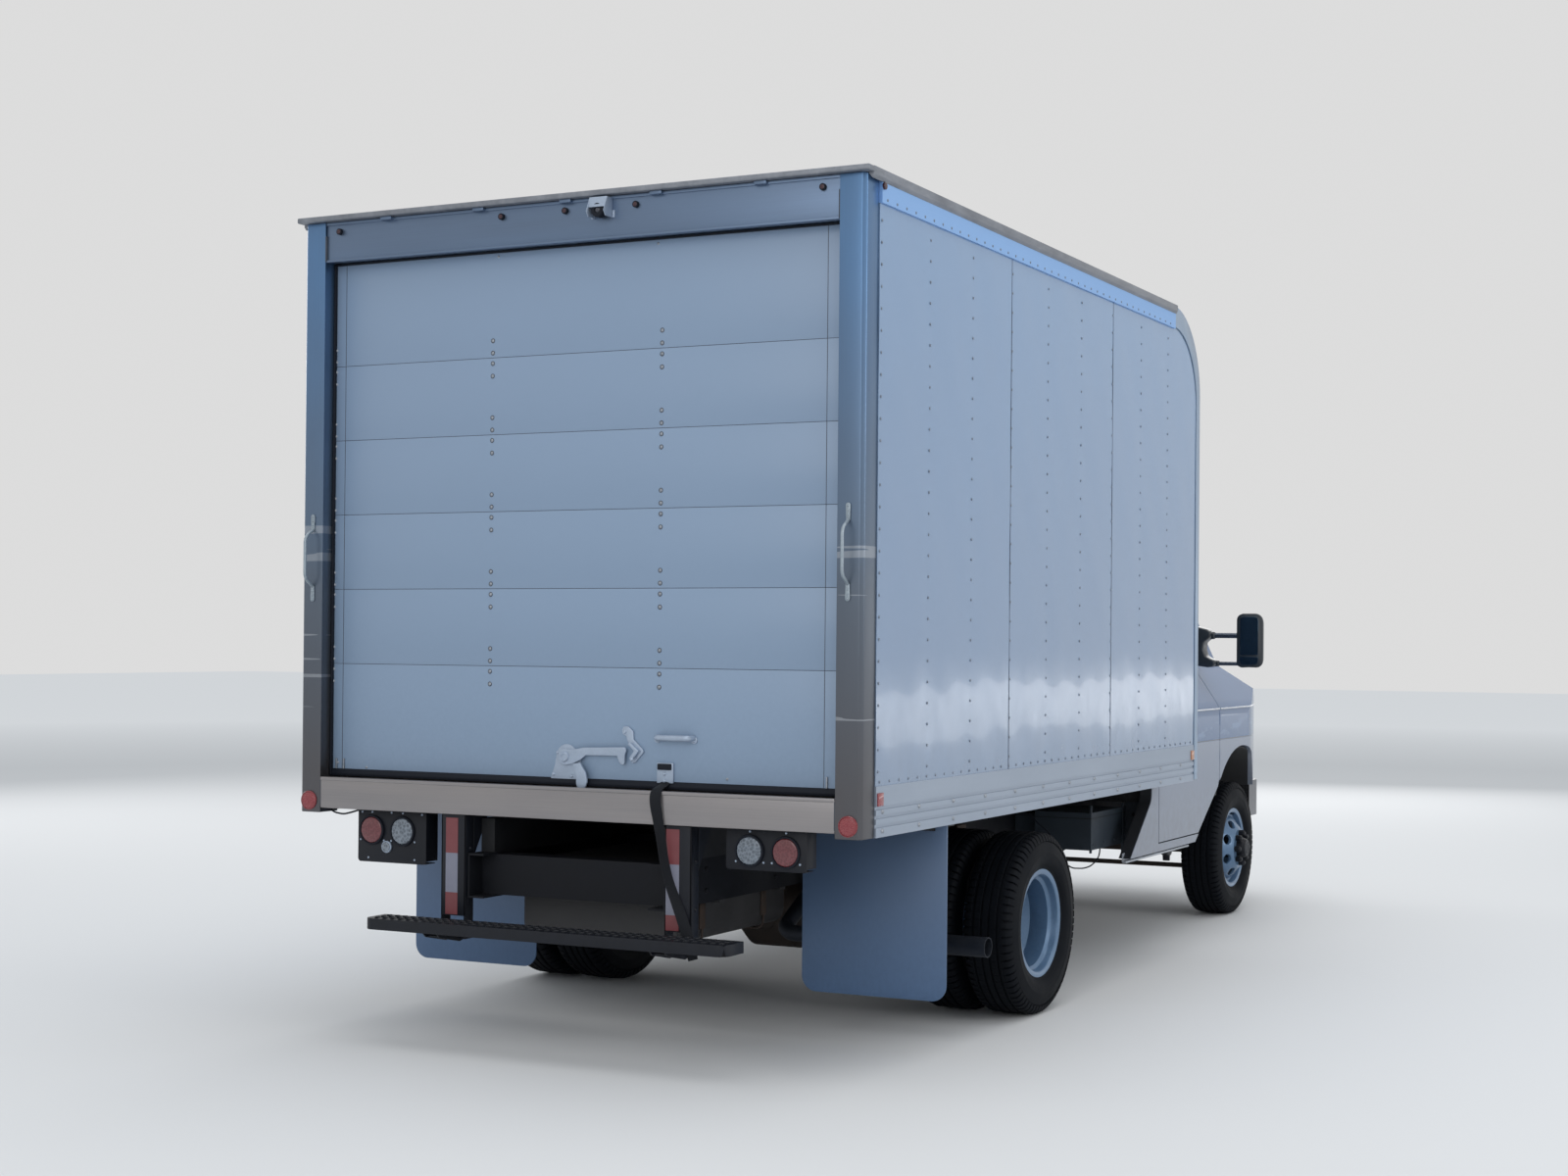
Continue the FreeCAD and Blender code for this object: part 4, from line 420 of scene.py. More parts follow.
def both(piece, finish, body, slot, *replaced):
    """Fit a piece of the right side, and its mirror image on the left."""
    fitted(piece, finish, body, slot, *replaced)
    twin = mirror_of(piece, left_of(piece.name))
    return fitted(twin, finish, left_of(body), slot, *map(left_of, replaced))


body_half = 1.219
skin_low, skin_high = 1.022, 3.03
skin_rear, skin_front = rear + 0.101, rear + 3.598
column_first, column_pitch, column_count = rear + 0.513, 0.38, 8
nose_corner = 0.34


def skin_depth(along, up):
    """How far the skin is drawn in at a place: at the columns, and a little unevenly."""
    bay = (along - column_first) / column_pitch
    pillow = math.sin(math.pi * (bay % 1.0))
    wave = math.sin(up * 4.1 + 1.7 * math.floor(bay)) * math.sin(bay * 2.3 + 0.6)
    dent = math.sin(up * 11.0 + bay * 5.0) * math.sin(bay * 3.7 + up * 2.0)
    return 0.0012 * (1 - pillow) + 0.0007 * (1 + wave) * pillow + 0.0006 * (1 + dent)


def side_skin(name):
    """One side's skin as a grid, cut to the round upper front corner."""
    length, height = skin_front - skin_rear, skin_high - skin_low
    fresh()
    bpy.ops.mesh.primitive_grid_add(x_subdivisions=176, y_subdivisions=72, size=1)
    piece = bpy.context.object
    corner_y, corner_z = skin_front - nose_corner, skin_high - nose_corner
    for vertex in piece.data.vertices:
        along = skin_rear + (vertex.co.x + 0.5) * length
        up = skin_low + (vertex.co.y + 0.5) * height
        over_y, over_z = along - corner_y, up - corner_z
        if over_y > 0 and over_z > 0:
            reach = max(over_y, over_z) / math.hypot(over_y, over_z)
            along, up = corner_y + over_y * reach, corner_z + over_z * reach
        vertex.co = (body_half + 0.0045 - skin_depth(along, up), along, up)
    modified(piece, "SOLIDIFY", thickness=0.0012, offset=-1)
    return smooth(settled(name), 60)


# Painted shade: the white paint is given a dark blue-grey for the truck's shaded side, and
# skin_shade makes it bluer and lighter towards the top, a painted sky reflection.
skin_paint = Finish(
    "body_skin_paint", Coat_Weight=0.35, Coat_Roughness=0.04, Specular_IOR_Level=0.4
)
high = skin_paint.axes()[2]
skin_cloud = skin_paint.noise(0.9, 2.0, (1, 1, 0.6))
skin_grime = skin_paint.noise(0.05, 5.0, (1, 1, 2.0)) * (1 - skin_paint.ramp(high, 1.0, 1.5))
skin_shade = skin_paint.ramp(high, 1.0, 2.9) * 0.8 + skin_cloud * 0.25
skin_shaded_white = skin_paint.blend(skin_shade, (0.215, 0.285, 0.4), (0.205, 0.315, 0.48))
skin_paint.set(
    Base_Color=skin_paint.blend(skin_grime * 0.35, skin_shaded_white, (0.2, 0.22, 0.25)),
    Roughness=0.1 + skin_grime * 0.3,
    Normal=skin_paint.bump(skin_paint.noise(0.16, 1.5, (1, 1, 2.2)), 0.0022, 0.8)
)
both(side_skin("side_skin_right"), skin_paint, "chassis", "white_paint")
dress(skin_paint, "side_walls")


# Skin rivets: small domed rivets in a column over each stiffener, along the rear post
# and under the top rail, pressed from the outside. One dome is repeated by arrays.


def dome(name, place, radius, height, axis="x", sides=8):
    """A flat dome that looks along +X, -Y or +Z, with its rim at a place."""
    fresh()
    bpy.ops.mesh.primitive_uv_sphere_add(segments=sides, ring_count=4, radius=1)
    piece = bpy.context.object
    bpy.ops.object.mode_set(mode="EDIT")
    bpy.ops.mesh.select_all(action="SELECT")
    bpy.ops.mesh.bisect(plane_co=(0, 0, 0), plane_no=(0, 0, 1), clear_inner=True)
    bpy.ops.object.mode_set(mode="OBJECT")
    piece.scale = (radius, radius, height)
    turn = {"x": (0, math.pi / 2, 0), "y": (math.pi / 2, 0, 0), "z": (0, 0, 0)}
    piece.rotation_euler = turn[axis]
    piece.location = place
    return settled(name)


rivet_radius, rivet_pitch = 0.0055, 0.076
rivet_steel = two_tone(
    "rivet_metal", (0.02, 2.0), (0.1, 0.125, 0.165), (0.2, 0.235, 0.29), Metallic=0.5,
    Roughness=0.35
)
skin_out = body_half + 0.0038
column = dome("column", (skin_out, column_first, skin_low + 0.05), rivet_radius, 0.0022)
row(row(column, 26, (0, 0, rivet_pitch)), column_count, (0, column_pitch, 0))
edge_column = dome("edge", (skin_out, skin_rear + 0.016, skin_low + 0.05), rivet_radius, 0.0022)
row(edge_column, 26, (0, 0, rivet_pitch))
foot_row = dome("foot", (skin_out, skin_rear + 0.03, skin_low + 0.014), rivet_radius, 0.0022)
row(foot_row, 46, (0, rivet_pitch, 0))
top_row = dome("top", (body_half + 0.012, skin_rear + 0.04, 3.044), rivet_radius, 0.0024)
row(top_row, 41, (0, rivet_pitch, 0))
rivets = joined("skin_rivets_right", [column, edge_column, foot_row, top_row])
unselected(rivets)
for vertex in rivets.data.vertices:
    past_y = vertex.co.y - (skin_front - nose_corner)
    past_z = vertex.co.z - (skin_high - nose_corner)
    beyond = past_y > 0 and past_z > 0 and math.hypot(past_y, past_z) > nose_corner - 0.03
    vertex.select = beyond and vertex.co.x < body_half + 0.011
bpy.ops.object.mode_set(mode="EDIT")
bpy.ops.mesh.select_linked()
bpy.ops.mesh.delete(type="VERT")
bpy.ops.object.mode_set(mode="OBJECT")
smooth(rivets, 80)
both(rivets, rivet_steel, "chassis", "bright_frame")


# Sheet seams: the skin's three sheets lap at two columns, with a dark hairline of
# painted shade at the edge.


def box(name, x, y, z):
    """A box between two limits along each axis."""
    fresh()
    low, high = Vector((x[0], y[0], z[0])), Vector((x[1], y[1], z[1]))
    bpy.ops.mesh.primitive_cube_add(size=1, location=(low + high) / 2)
    bpy.context.object.scale = high - low
    return settled(name)


def round_box(name, x, y, z, *bevel):
    """A box with rounded edges; bevel is what rounded() takes after the piece."""
    return rounded(box(name, x, y, z), *bevel)


# seam_shadow is near black: painted shade, also used in the door seams, at the posts' inner edges
# and round the hinge bolts.
seam_dark = two_tone("seam_shadow", (0.03,), (0.035, 0.04, 0.05), (0.07, 0.08, 0.1), Roughness=0.7)
seams = []
for lap in (rear + 1.254, rear + 2.406):
    seams.append(round_box(
        "lap", (body_half, body_half + 0.0042), (lap + 0.012, lap + 0.0145), (1.02, 3.03), 0.0004, 1
    ))
both(joined("sheet_laps_right", seams), seam_dark, "chassis", "black_steel")


# Bottom rails: grooved aluminium extrusions along both sides, bolted to every cross
# sill in two rows. The CAD rails keep their shape and get a drawn, dulled finish.

rail_alloy = Finish("rail_alloy", Metallic=0.55)
rail_streaks = rail_alloy.noise(0.004, 3.0, (1, 140, 1))
rail_stain = rail_alloy.noise(0.35, 4.0, (1, 2.5, 0.5))
rail_tone = rail_alloy.blend(
    rail_stain * 0.7 + rail_streaks * 0.3, (0.238, 0.285, 0.357), (0.381, 0.437, 0.518)
)
# Painted reflection: higher up the alloy turns bright blue, as the sky would show in it.
rail_painted_sky = rail_alloy.ramp(rail_alloy.axes()[2], 1.2, 2.8)
rail_alloy.set(
    Base_Color=rail_alloy.blend(rail_painted_sky, rail_tone, (0.27, 0.47, 0.8)),
    Roughness=0.34 + rail_streaks * 0.16, Normal=rail_alloy.bump(rail_streaks, 0.0003, 0.5)
)
dress(rail_alloy, "side_rails")
bolt_steel = two_tone(
    "bolt_zinc", (0.008, 3.0), (0.2, 0.22, 0.25), (0.42, 0.45, 0.49), (0.3, 0.25), Metallic=0.8
)
rail_out = body_half + 0.006
rail_bolts = []
for height in (0.932, 0.866):
    bolt = dome("bolt", (rail_out, rear + 0.15, height), 0.0085, 0.006, sides=10)
    rail_bolts.append(row(bolt, 12, (0, 0.295, 0)))
both(smooth(joined("rail_bolts_right", rail_bolts), 60), bolt_steel, "chassis", "galvanised")


# Roof edge and nose trim: a mill-finish angle along the top rail, and the aluminium
# band that covers the corner of the round nose, wide at the top and narrow below.


def plate(name, outline, axis, low, high):
    """A flat outline, extruded along x from (y, z), along y from (x, z), or z from (x, y)."""
    fresh()
    bpy.ops.mesh.primitive_circle_add(vertices=len(outline), fill_type="NGON")
    piece = bpy.context.object
    slot = "xyz".index(axis)
    for vertex, spot in zip(piece.data.vertices, outline):
        spot = list(spot)
        spot.insert(slot, low)
        vertex.co = spot
    reach = [0, 0, 0]
    reach[slot] = high - low
    bpy.ops.object.mode_set(mode="EDIT")
    bpy.ops.mesh.select_all(action="SELECT")
    bpy.ops.mesh.extrude_region_move(TRANSFORM_OT_translate={"value": reach})
    bpy.ops.mesh.select_all(action="SELECT")
    bpy.ops.mesh.normals_make_consistent(inside=False)
    bpy.ops.object.mode_set(mode="OBJECT")
    return settled(name)


def round_plate(name, outline, axis, low, high, *bevel):
    """A plate with rounded edges."""
    return rounded(plate(name, outline, axis, low, high), *bevel)


def arc(centre, radius, start, end, steps):
    """Points round a centre from one angle to another, in degrees."""
    turns = [math.radians(start + (end - start) * step / steps) for step in range(steps + 1)]
    return [
        (centre[0] + radius * math.cos(turn), centre[1] + radius * math.sin(turn)) for turn in turns
    ]


nose_centre = (rear + 3.258, 2.741)
trim_shine = two_tone(
    "nose_trim_alloy", (0.05, 4.0, (1, 1, 6)), (0.27, 0.35, 0.46), (0.4, 0.5, 0.62), (0.26, 0.2),
    Metallic=0.75
)
outside = [(rear + 3.24, 3.139)] + arc(nose_centre, 0.399, 90, 0, 14) + [(rear + 3.657, 0.85)]
inside = [(rear + 3.607, 0.85)] + arc((rear + 3.268, 2.7), 0.339, 0, 90, 14) + [
    (rear + 3.24, 3.036)
]
band = round_plate(
    "nose_trim_right", outside + inside, "x", body_half, body_half + 0.0075, 0.002, 2
)
both(band, trim_shine, "chassis", "rail_metal")
roof_edge_metal = two_tone(
    "roof_edge_alloy", (0.05, 6.0, (1, 3, 1), 0.7), (0.1, 0.11, 0.13), (0.36, 0.38, 0.42),
    (0.35, 0.3), (0.001, 0.6), Metallic=0.6
)
lip_points = [
    (body_half - 0.02, 3.139), (body_half - 0.02, 3.141), (body_half + 0.021, 3.141),
    (body_half + 0.021, 3.112), (body_half + 0.0125, 3.1)
]
roof_edge = round_plate("roof_edge_right", lip_points, "y", rear + 0.02, rear + 3.262, 0.0015, 2)
both(roof_edge, roof_edge_metal, "chassis", "rail_metal")


# Rear frame: bright steel posts, header and sill, folded and welded into one frame,
# with a flat lip over the top that sheds rain. Each member is its own rounded box.

post_width, post_depth = 0.102, 0.101
frame_low, frame_high = 0.845, 3.118
header_low, sill_low, sill_top = 2.964, 0.863, 0.983
opening = body_half - post_width


def brushed(name, along, colours, grain=0.0025):
    """Brushed bright steel, its grain along x or z, with painted reflections: its tone changes with
    height, and pale painted glints streak its middle.
    """
    finish = Finish(name, Metallic=0.72)
    stretch = (220, 40, 1) if along == "x" else (1, 1, 220)
    grain_marks = finish.noise(grain, 4.0, stretch, 0.6)
    smears = finish.noise(0.22, 4.0, (0.6, 0.6, 1.6) if along == "z" else (2.5, 1, 0.4))
    high = finish.axes()[2]
    low_reflection, mid_reflection, high_reflection = colours
    lower = finish.blend(finish.ramp(high, 1.0, 1.9), low_reflection, mid_reflection)
    tone = finish.blend(finish.ramp(high, 1.7, 2.9), lower, high_reflection)
    # Painted highlights: pale streaks, only between 1.25 and 1.95 m high.
    glint_bands = finish.noise(0.05, 2.0, (30, 30, 1))
    painted_glint = (glint_bands > 0.6) * (high < 1.95) * (high > 1.25)
    tone = finish.blend(smears * 0.35 + grain_marks * 0.25 - 0.1, tone, (0.1, 0.12, 0.15))
    finish.set(
        Base_Color=finish.blend(painted_glint * 0.35, tone, (0.55, 0.58, 0.62)),
        Roughness=0.22 + grain_marks * 0.14 + smears * 0.1,
        Normal=finish.bump(grain_marks, 0.0002, 0.5)
    )
    return finish


# Each part's three tones, low, middle and high, are painted reflections.
post_steel = brushed(
    "post_steel", "z", ((0.115, 0.108, 0.11), (0.145, 0.185, 0.24), (0.115, 0.235, 0.43))
)
header_steel = brushed(
    "header_steel", "x", ((0.27, 0.29, 0.33), (0.19, 0.25, 0.35), (0.155, 0.222, 0.335))
)
sill_steel = brushed(
    "sill_steel", "x", ((0.345, 0.32, 0.315), (0.29, 0.29, 0.3), (0.25, 0.27, 0.3))
)
post_outline = [
    (opening, rear + 0.0005), (body_half - 0.014, rear + 0.0005),
    (body_half - 0.0005, rear + 0.014), (body_half - 0.0005, rear + post_depth),
    (opening, rear + post_depth), (opening, rear + 0.08), (opening + 0.004, rear + 0.076),
    (opening + 0.004, rear + 0.012)
]
post = round_plate("rear_post_right", post_outline, "z", frame_low, frame_high, 0.0035, 3, 20)
both(post, post_steel, "chassis", "bright_frame", "rear_frame")
header = [
    box(
        "face", (-opening, opening), (rear + 0.008, rear + post_depth),
        (header_low + 0.004, frame_high)
    ),
    box("hem", (-opening, opening), (rear + 0.003, rear + 0.03), (header_low, header_low + 0.01)),
    box("fold", (-opening, opening), (rear + 0.004, rear + 0.03), (frame_high - 0.012, frame_high))
]
header = joined("rear_header", [rounded(part, 0.002) for part in header])
fitted(header, header_steel, "chassis", "bright_frame")
sill = [
    box(
        "face", (-opening, opening), (rear + 0.001, rear + post_depth), (sill_low, sill_top - 0.003)
    ),
    box("nosing", (-opening, opening), (rear - 0.0015, rear + 0.022), (sill_top - 0.014, sill_top))
]
sill = joined("rear_sill", [rounded(part, 0.0035) for part in sill])
fitted(sill, sill_steel, "chassis", "bright_frame")
lip_half = body_half + 0.0215
rain_lip = round_box(
    "rain_lip", (-lip_half, lip_half), (rear - 0.0215, rear + 0.1), (3.119, 3.1405), 0.006
)
fitted(rain_lip, roof_edge_metal, "chassis", "bright_frame")
tabs = []
for across in (-0.846, -0.418, -0.03, 0.357, 0.784):
    tabs.append(
        round_box("tab", (across, across + 0.05), (rear - 0.01, rear + 0.006), (3.106, 3.12), 0.003)
    )
fitted(joined("lip_welds", tabs), header_steel, "chassis", "bright_frame")
# Dark strips in the seam_shadow finish at the posts' inner edges by the sill and header: painted
# shade.
post_edge_shades = []
for edge, height in ((opening, sill_low + 0.01), (opening, header_low + 0.002)):
    post_edge_shades.append(round_box(
        "bead", (edge - 0.004, edge + 0.003), (rear + 0.001, rear + 0.01), (height, height + 0.1),
        0.002
    ))
both(joined("frame_seams_right", post_edge_shades), seam_dark, "chassis", "black_steel")


# Roll-up door: six white laminated panels hinged to each other inside, closed in its
# tracks. Carriage bolts of the hinges show at every seam, with rubber at the edges.

door_face = rear + 0.065
door_back = rear + 0.087
panel_low, panel_high = 1.007, header_low
seam_first, seam_pitch = 1.418, 0.2875
levels = [panel_low] + [seam_first + seam_pitch * step for step in range(5)] + [panel_high + 0.01]
leaves = []
for low, top in zip(levels, levels[1:]):
    leaves.append(round_box(
        "leaf", (-opening, opening), (door_face, door_back), (low + 0.0008, top - 0.0008), 0.0012, 2
    ))
# Painted shade: the white laminate is given a dark blue-grey for the shaded side, slightly lighter
# towards the top.
door_paint = Finish("door_laminate", Coat_Weight=0.15, Coat_Roughness=0.25)
high = door_paint.axes()[2]
door_cloud = door_paint.noise(0.7, 3.0)
door_dust = door_paint.noise(0.012, 5.0) * (1 - door_paint.ramp(high, 1.0, 1.7))
door_shaded_tone = door_paint.blend(
    door_cloud * 0.6 + door_paint.ramp(high, 1.0, 3.0) * 0.4, (0.23, 0.318, 0.44),
    (0.24, 0.325, 0.455)
)
door_paint.set(
    Base_Color=door_paint.blend(door_dust * 0.25, door_shaded_tone, (0.141, 0.192, 0.253)),
    Roughness=0.3 + door_cloud * 0.12 + door_dust * 0.2,
    Normal=door_paint.bump(door_paint.noise(0.25, 2.0), 0.0015, 0.4)
)
fitted(joined("door_panels", leaves), door_paint, "chassis", "door_panel", "roll_up_door")
# Dark lines in the seams between the panels and two grooves near the edges: painted shade.
shades = []
for height in levels[1:-1]:
    shades.append(round_box(
        "line", (-opening, opening), (door_face + 0.001, door_back - 0.002),
        (height - 0.0009, height + 0.0009), 0.0002, 1
    ))
for across in (-1.066, 1.041):
    shades.append(round_box(
        "line", (across - 0.0011, across + 0.0011), (door_face - 0.0008, door_face + 0.001),
        (panel_low, panel_high), 0.0003, 1
    ))
fitted(joined("door_seams", shades), seam_dark, "chassis", "black_steel")

door_bolts = []
for across in (0.37, -0.372, 1.1125, -1.1125):
    for offset in (-0.068, -0.021, 0.018, 0.064):
        side_reach = 0.0072 if abs(across) < 1 else 0.0062
        bolt = dome("bolt", (across, door_face, seam_first + offset), side_reach, 0.0045, "y", 12)
        door_bolts.append(row(bolt, 5, (0, 0, seam_pitch)))
for across, height in (
    (-1.088, 1.035), (-0.948, 1.02), (0.655, 1.03), (-0.35, 2.945), (0.35, 2.945)
):
    door_bolts.append(dome("screw", (across, door_face, height), 0.0055, 0.0035, "y", 10))
fitted(smooth(joined("door_bolts", door_bolts), 60), bolt_steel, "chassis", "galvanised")
# Dark rings round the hinge bolts: painted shadow.
rims = []
for across in (0.37, -0.372):
    for offset in (-0.068, -0.021, 0.018, 0.064):
        fresh()
        bpy.ops.mesh.primitive_torus_add(
            major_segments=16, minor_segments=5, major_radius=0.0078, minor_radius=0.0012,
            location=(across, door_face - 0.0002, seam_first + offset),
            rotation=(math.pi / 2, 0, 0)
        )
        rims.append(row(settled("rim"), 5, (0, 0, seam_pitch)))
fitted(smooth(joined("bolt_rims", rims)), seam_dark, "chassis", "black_steel")

black_rubber = two_tone(
    "black_rubber", (0.01, 5.0), (0.003, 0.005, 0.01), (0.01, 0.013, 0.022), (0.55, 0.25),
    (0.0004, 0.4), Specular_IOR_Level=0.25
)
seal_outline = [
    (door_face - 0.006, sill_top + 0.001), (door_face - 0.01, sill_top + 0.012),
    (door_face - 0.002, panel_low + 0.006), (door_back, panel_low + 0.004),
    (door_back, sill_top + 0.001)
]
foot_seal = round_plate("foot_seal", seal_outline, "x", -opening, opening, 0.003)
fitted(foot_seal, black_rubber, "chassis", "black_plastic")
edge_seals = []
for side in (-1, 1):
    low_x, high_x = sorted((side * opening, side * (opening - 0.007)))
    edge_seals.append(round_box(
        "strip", (low_x, high_x), (door_face - 0.014, door_face), (sill_top + 0.004, panel_high),
        0.002
    ))
edge_seals.append(round_box(
    "strip", (-opening, opening), (door_face - 0.01, door_face),
    (panel_high - 0.006, panel_high + 0.002), 0.002
))
fitted(joined("edge_seals", edge_seals), black_rubber, "chassis", "black_plastic")
tracks = []
for side in (-1, 1):
    for across in (1.094, 1.058):
        low_x, high_x = sorted((side * across, side * (across - 0.006)))
        tracks.append(round_box(
            "bracket", (low_x, high_x), (door_face - 0.007, door_face), (1.012, 1.052), 0.001
        ))
fitted(joined("corner_brackets", tracks), bolt_steel, "chassis", "galvanised")


# Door latch: a zinc-plated foot plate with a long lever on a round pivot. Its hook
# goes down over the sill, and the lever's end snaps under a bent keeper plate.

zinc_plate = Finish("zinc_plate", Metallic=0.45)
zinc_spangle = zinc_plate.noise(0.006, 3.0)
zinc_cloud = zinc_plate.noise(0.05, 4.0)
zinc_plate.set(
    Base_Color=zinc_plate.blend(
        zinc_cloud * 0.6 + zinc_spangle * 0.4, (0.27, 0.33, 0.42), (0.46, 0.54, 0.66)
    ),
    Roughness=0.28 + zinc_spangle * 0.2, Normal=zinc_plate.bump(zinc_spangle, 0.0004, 0.4)
)
pivot_x, pivot_z = -0.022, 1.09
foot_plate = [(-0.092, 1.008), (0.036, 1.006), (0.038, 1.06), (0.04, 1.1)]
foot_plate += arc((pivot_x, pivot_z), 0.046, 40, 170, 8) + [(-0.074, 1.06)]
lever = arc((pivot_x, pivot_z), 0.03, 75, 285, 12)
lever += [(0.01, 1.064), (0.046, 1.08), (0.07, 1.098), (0.205, 1.1), (0.214, 1.078)]
lever += arc((0.228, 1.078), 0.01, 200, 340, 5) + [(0.238, 1.104)]
lever += arc((0.232, 1.12), 0.012, 0, 90, 5) + [(0.06, 1.126), (0.02, 1.118)]
hook = [(0.02, 1.066), (0.052, 1.07), (0.076, 1.036), (0.082, 1.01), (0.082, 0.996)]
hook += arc((0.058, 0.998), 0.022, 0, -180, 8) + [(0.036, 1.02), (0.03, 1.046)]
latch_parts = [
    round_plate("foot", foot_plate, "y", door_face - 0.004, door_face, 0.0012, 2),
    round_plate("lever", lever, "y", door_face - 0.019, door_face - 0.011, 0.0022, 3),
    round_plate("hook", hook, "y", door_face - 0.028, door_face - 0.02, 0.0022, 3)
]


def turned(name, outline, centre, axis="x", steps=64):
    """A closed outline of (along, radius) turned about an axis through a centre."""
    fresh()
    bpy.ops.mesh.primitive_circle_add(vertices=len(outline), fill_type="NOTHING")
    piece = bpy.context.object
    along = Vector((1, 0, 0)) if axis == "x" else Vector((0, 1, 0))
    for vertex, (reach, radius) in zip(piece.data.vertices, outline):
        vertex.co = Vector(centre) + along * reach + Vector((0, 0, radius))
    bpy.ops.object.mode_set(mode="EDIT")
    bpy.ops.mesh.select_all(action="SELECT")
    bpy.ops.mesh.spin(steps=steps, angle=math.tau, center=centre, axis=along)
    bpy.ops.mesh.select_all(action="SELECT")
    bpy.ops.mesh.remove_doubles(threshold=0.00001)
    bpy.ops.mesh.normals_make_consistent(inside=False)
    bpy.ops.object.mode_set(mode="OBJECT")
    return smooth(settled(name), 32)


pin_outline = [
    (0.0, 0.0), (0.0, 0.019), (-0.022, 0.019), (-0.026, 0.016), (-0.026, 0.011), (-0.023, 0.009),
    (-0.023, 0.0)
]
latch_parts.append(turned("pivot", pin_outline, (pivot_x, door_face, pivot_z), "y", 32))
keeper = [
    (0.219, 1.196), (0.226, 1.206), (0.244, 1.207), (0.266, 1.19), (0.268, 1.16), (0.309, 1.124),
    (0.31, 1.114), (0.276, 1.078), (0.262, 1.075), (0.256, 1.09), (0.274, 1.112), (0.24, 1.158),
    (0.238, 1.17), (0.221, 1.18)
]
keeper_plate = round_plate("keeper", keeper, "y", door_face - 0.008, door_face, 0.0018, 3)
rib = [(0.262, 1.15), (0.3, 1.12), (0.268, 1.084), (0.258, 1.092), (0.28, 1.12), (0.252, 1.144)]
keeper_rib = round_plate("rib", rib, "y", door_face - 0.024, door_face - 0.006, 0.003, 3)
latch_parts += [keeper_plate, keeper_rib]
for across, height, deep in (
    (0.232, 1.187, 0.008), (-0.08, 1.024, 0.004), (0.000, 1.02, 0.004), (-0.062, 1.104, 0.004),
    (0.272, 1.09, 0.024)
):
    latch_parts.append(dome("bolt", (across, door_face - deep, height), 0.0075, 0.005, "y", 12))
fitted(joined("door_latch", latch_parts), zinc_plate, "chassis", "galvanised", "door_hardware")


# Pull handle: a half-round bar across the door, flattened to bolted feet at its ends.


def bent(points, bend, steps=6):
    """The path through some points, with its inner corners rounded."""
    points = [Vector(point) for point in points]
    path = [points[0]]
    for before, corner, after in zip(points, points[1:], points[2:]):
        start = corner + (before - corner).normalized() * bend
        end = corner + (after - corner).normalized() * bend
        for step in range(steps + 1):
            share = step / steps
            near = start * (1 - share) ** 2 + end * share**2
            path.append(near + corner * 2 * share * (1 - share))
    return path + [points[-1]]


def bar(name, path, radius, detail=3):
    """A round bar or pipe along a path, with closed ends."""
    data = bpy.data.curves.new(name, "CURVE")
    data.dimensions = "3D"
    data.bevel_depth = radius
    data.bevel_resolution = detail
    data.use_fill_caps = True
    spline = data.splines.new("POLY")
    spline.points.add(len(path) - 1)
    for point, spot in zip(spline.points, path):
        point.co = (*spot, 1)
    piece = bpy.data.objects.new(name, data)
    bpy.context.collection.objects.link(piece)
    alone(piece)
    bpy.ops.object.convert(target="MESH")
    bpy.ops.object.mode_set(mode="EDIT")
    bpy.ops.mesh.select_all(action="SELECT")
    bpy.ops.mesh.remove_doubles(threshold=0.00001)
    bpy.ops.mesh.normals_make_consistent(inside=False)
    bpy.ops.object.mode_set(mode="OBJECT")
    return smooth(settled(name), 50)


pull_left, pull_right, pull_z = 0.366, 0.52, 1.17
grip = bar(
    "grip",
    bent(
        [
            (pull_left + 0.004, door_face - 0.002, pull_z),
            (pull_left + 0.012, door_face - 0.027, pull_z),
            (pull_right - 0.012, door_face - 0.027, pull_z),
            (pull_right - 0.004, door_face - 0.002, pull_z)
        ],
        0.012
    ),
    0.012
)
feet = []
for across in (pull_left, pull_right):
    outline = arc((across, pull_z - 0.006), 0.013, 0, 345, 15)
    feet.append(round_plate("foot", outline, "y", door_face - 0.005, door_face, 0.0015, 2))
    feet.append(dome("bolt", (across, door_face - 0.005, pull_z - 0.009), 0.006, 0.005, "y", 12))
fitted(joined("pull_handle", [grip] + feet), zinc_plate, "chassis", "galvanised")


# Strap anchor: a short black clamp on a pale backing plate, with two round bolts.

anchor_x = 0.402
backing = round_box(
    "backing", (anchor_x - 0.033, anchor_x + 0.035), (door_face - 0.0085, door_face), (1.008, 1.08),
    0.001, 2
)
bolts = [backing]
for height in (1.041, 1.016):
    bolts.append(
        dome("bolt", (anchor_x - 0.002, door_face - 0.0085, height), 0.0075, 0.005, "y", 12)
    )
fitted(joined("strap_backing", bolts), zinc_plate, "chassis", "galvanised")
fitted(
    round_box(
        "strap_clamp", (0.374, 0.43), (door_face - 0.016, door_face - 0.006), (1.055, 1.077), 0.0025
    ),
    black_rubber, "chassis", "black_plastic"
)


# Grab handles: D-shaped galvanised bars on both rear posts, their ends hammered flat
# and held by two bolts each.

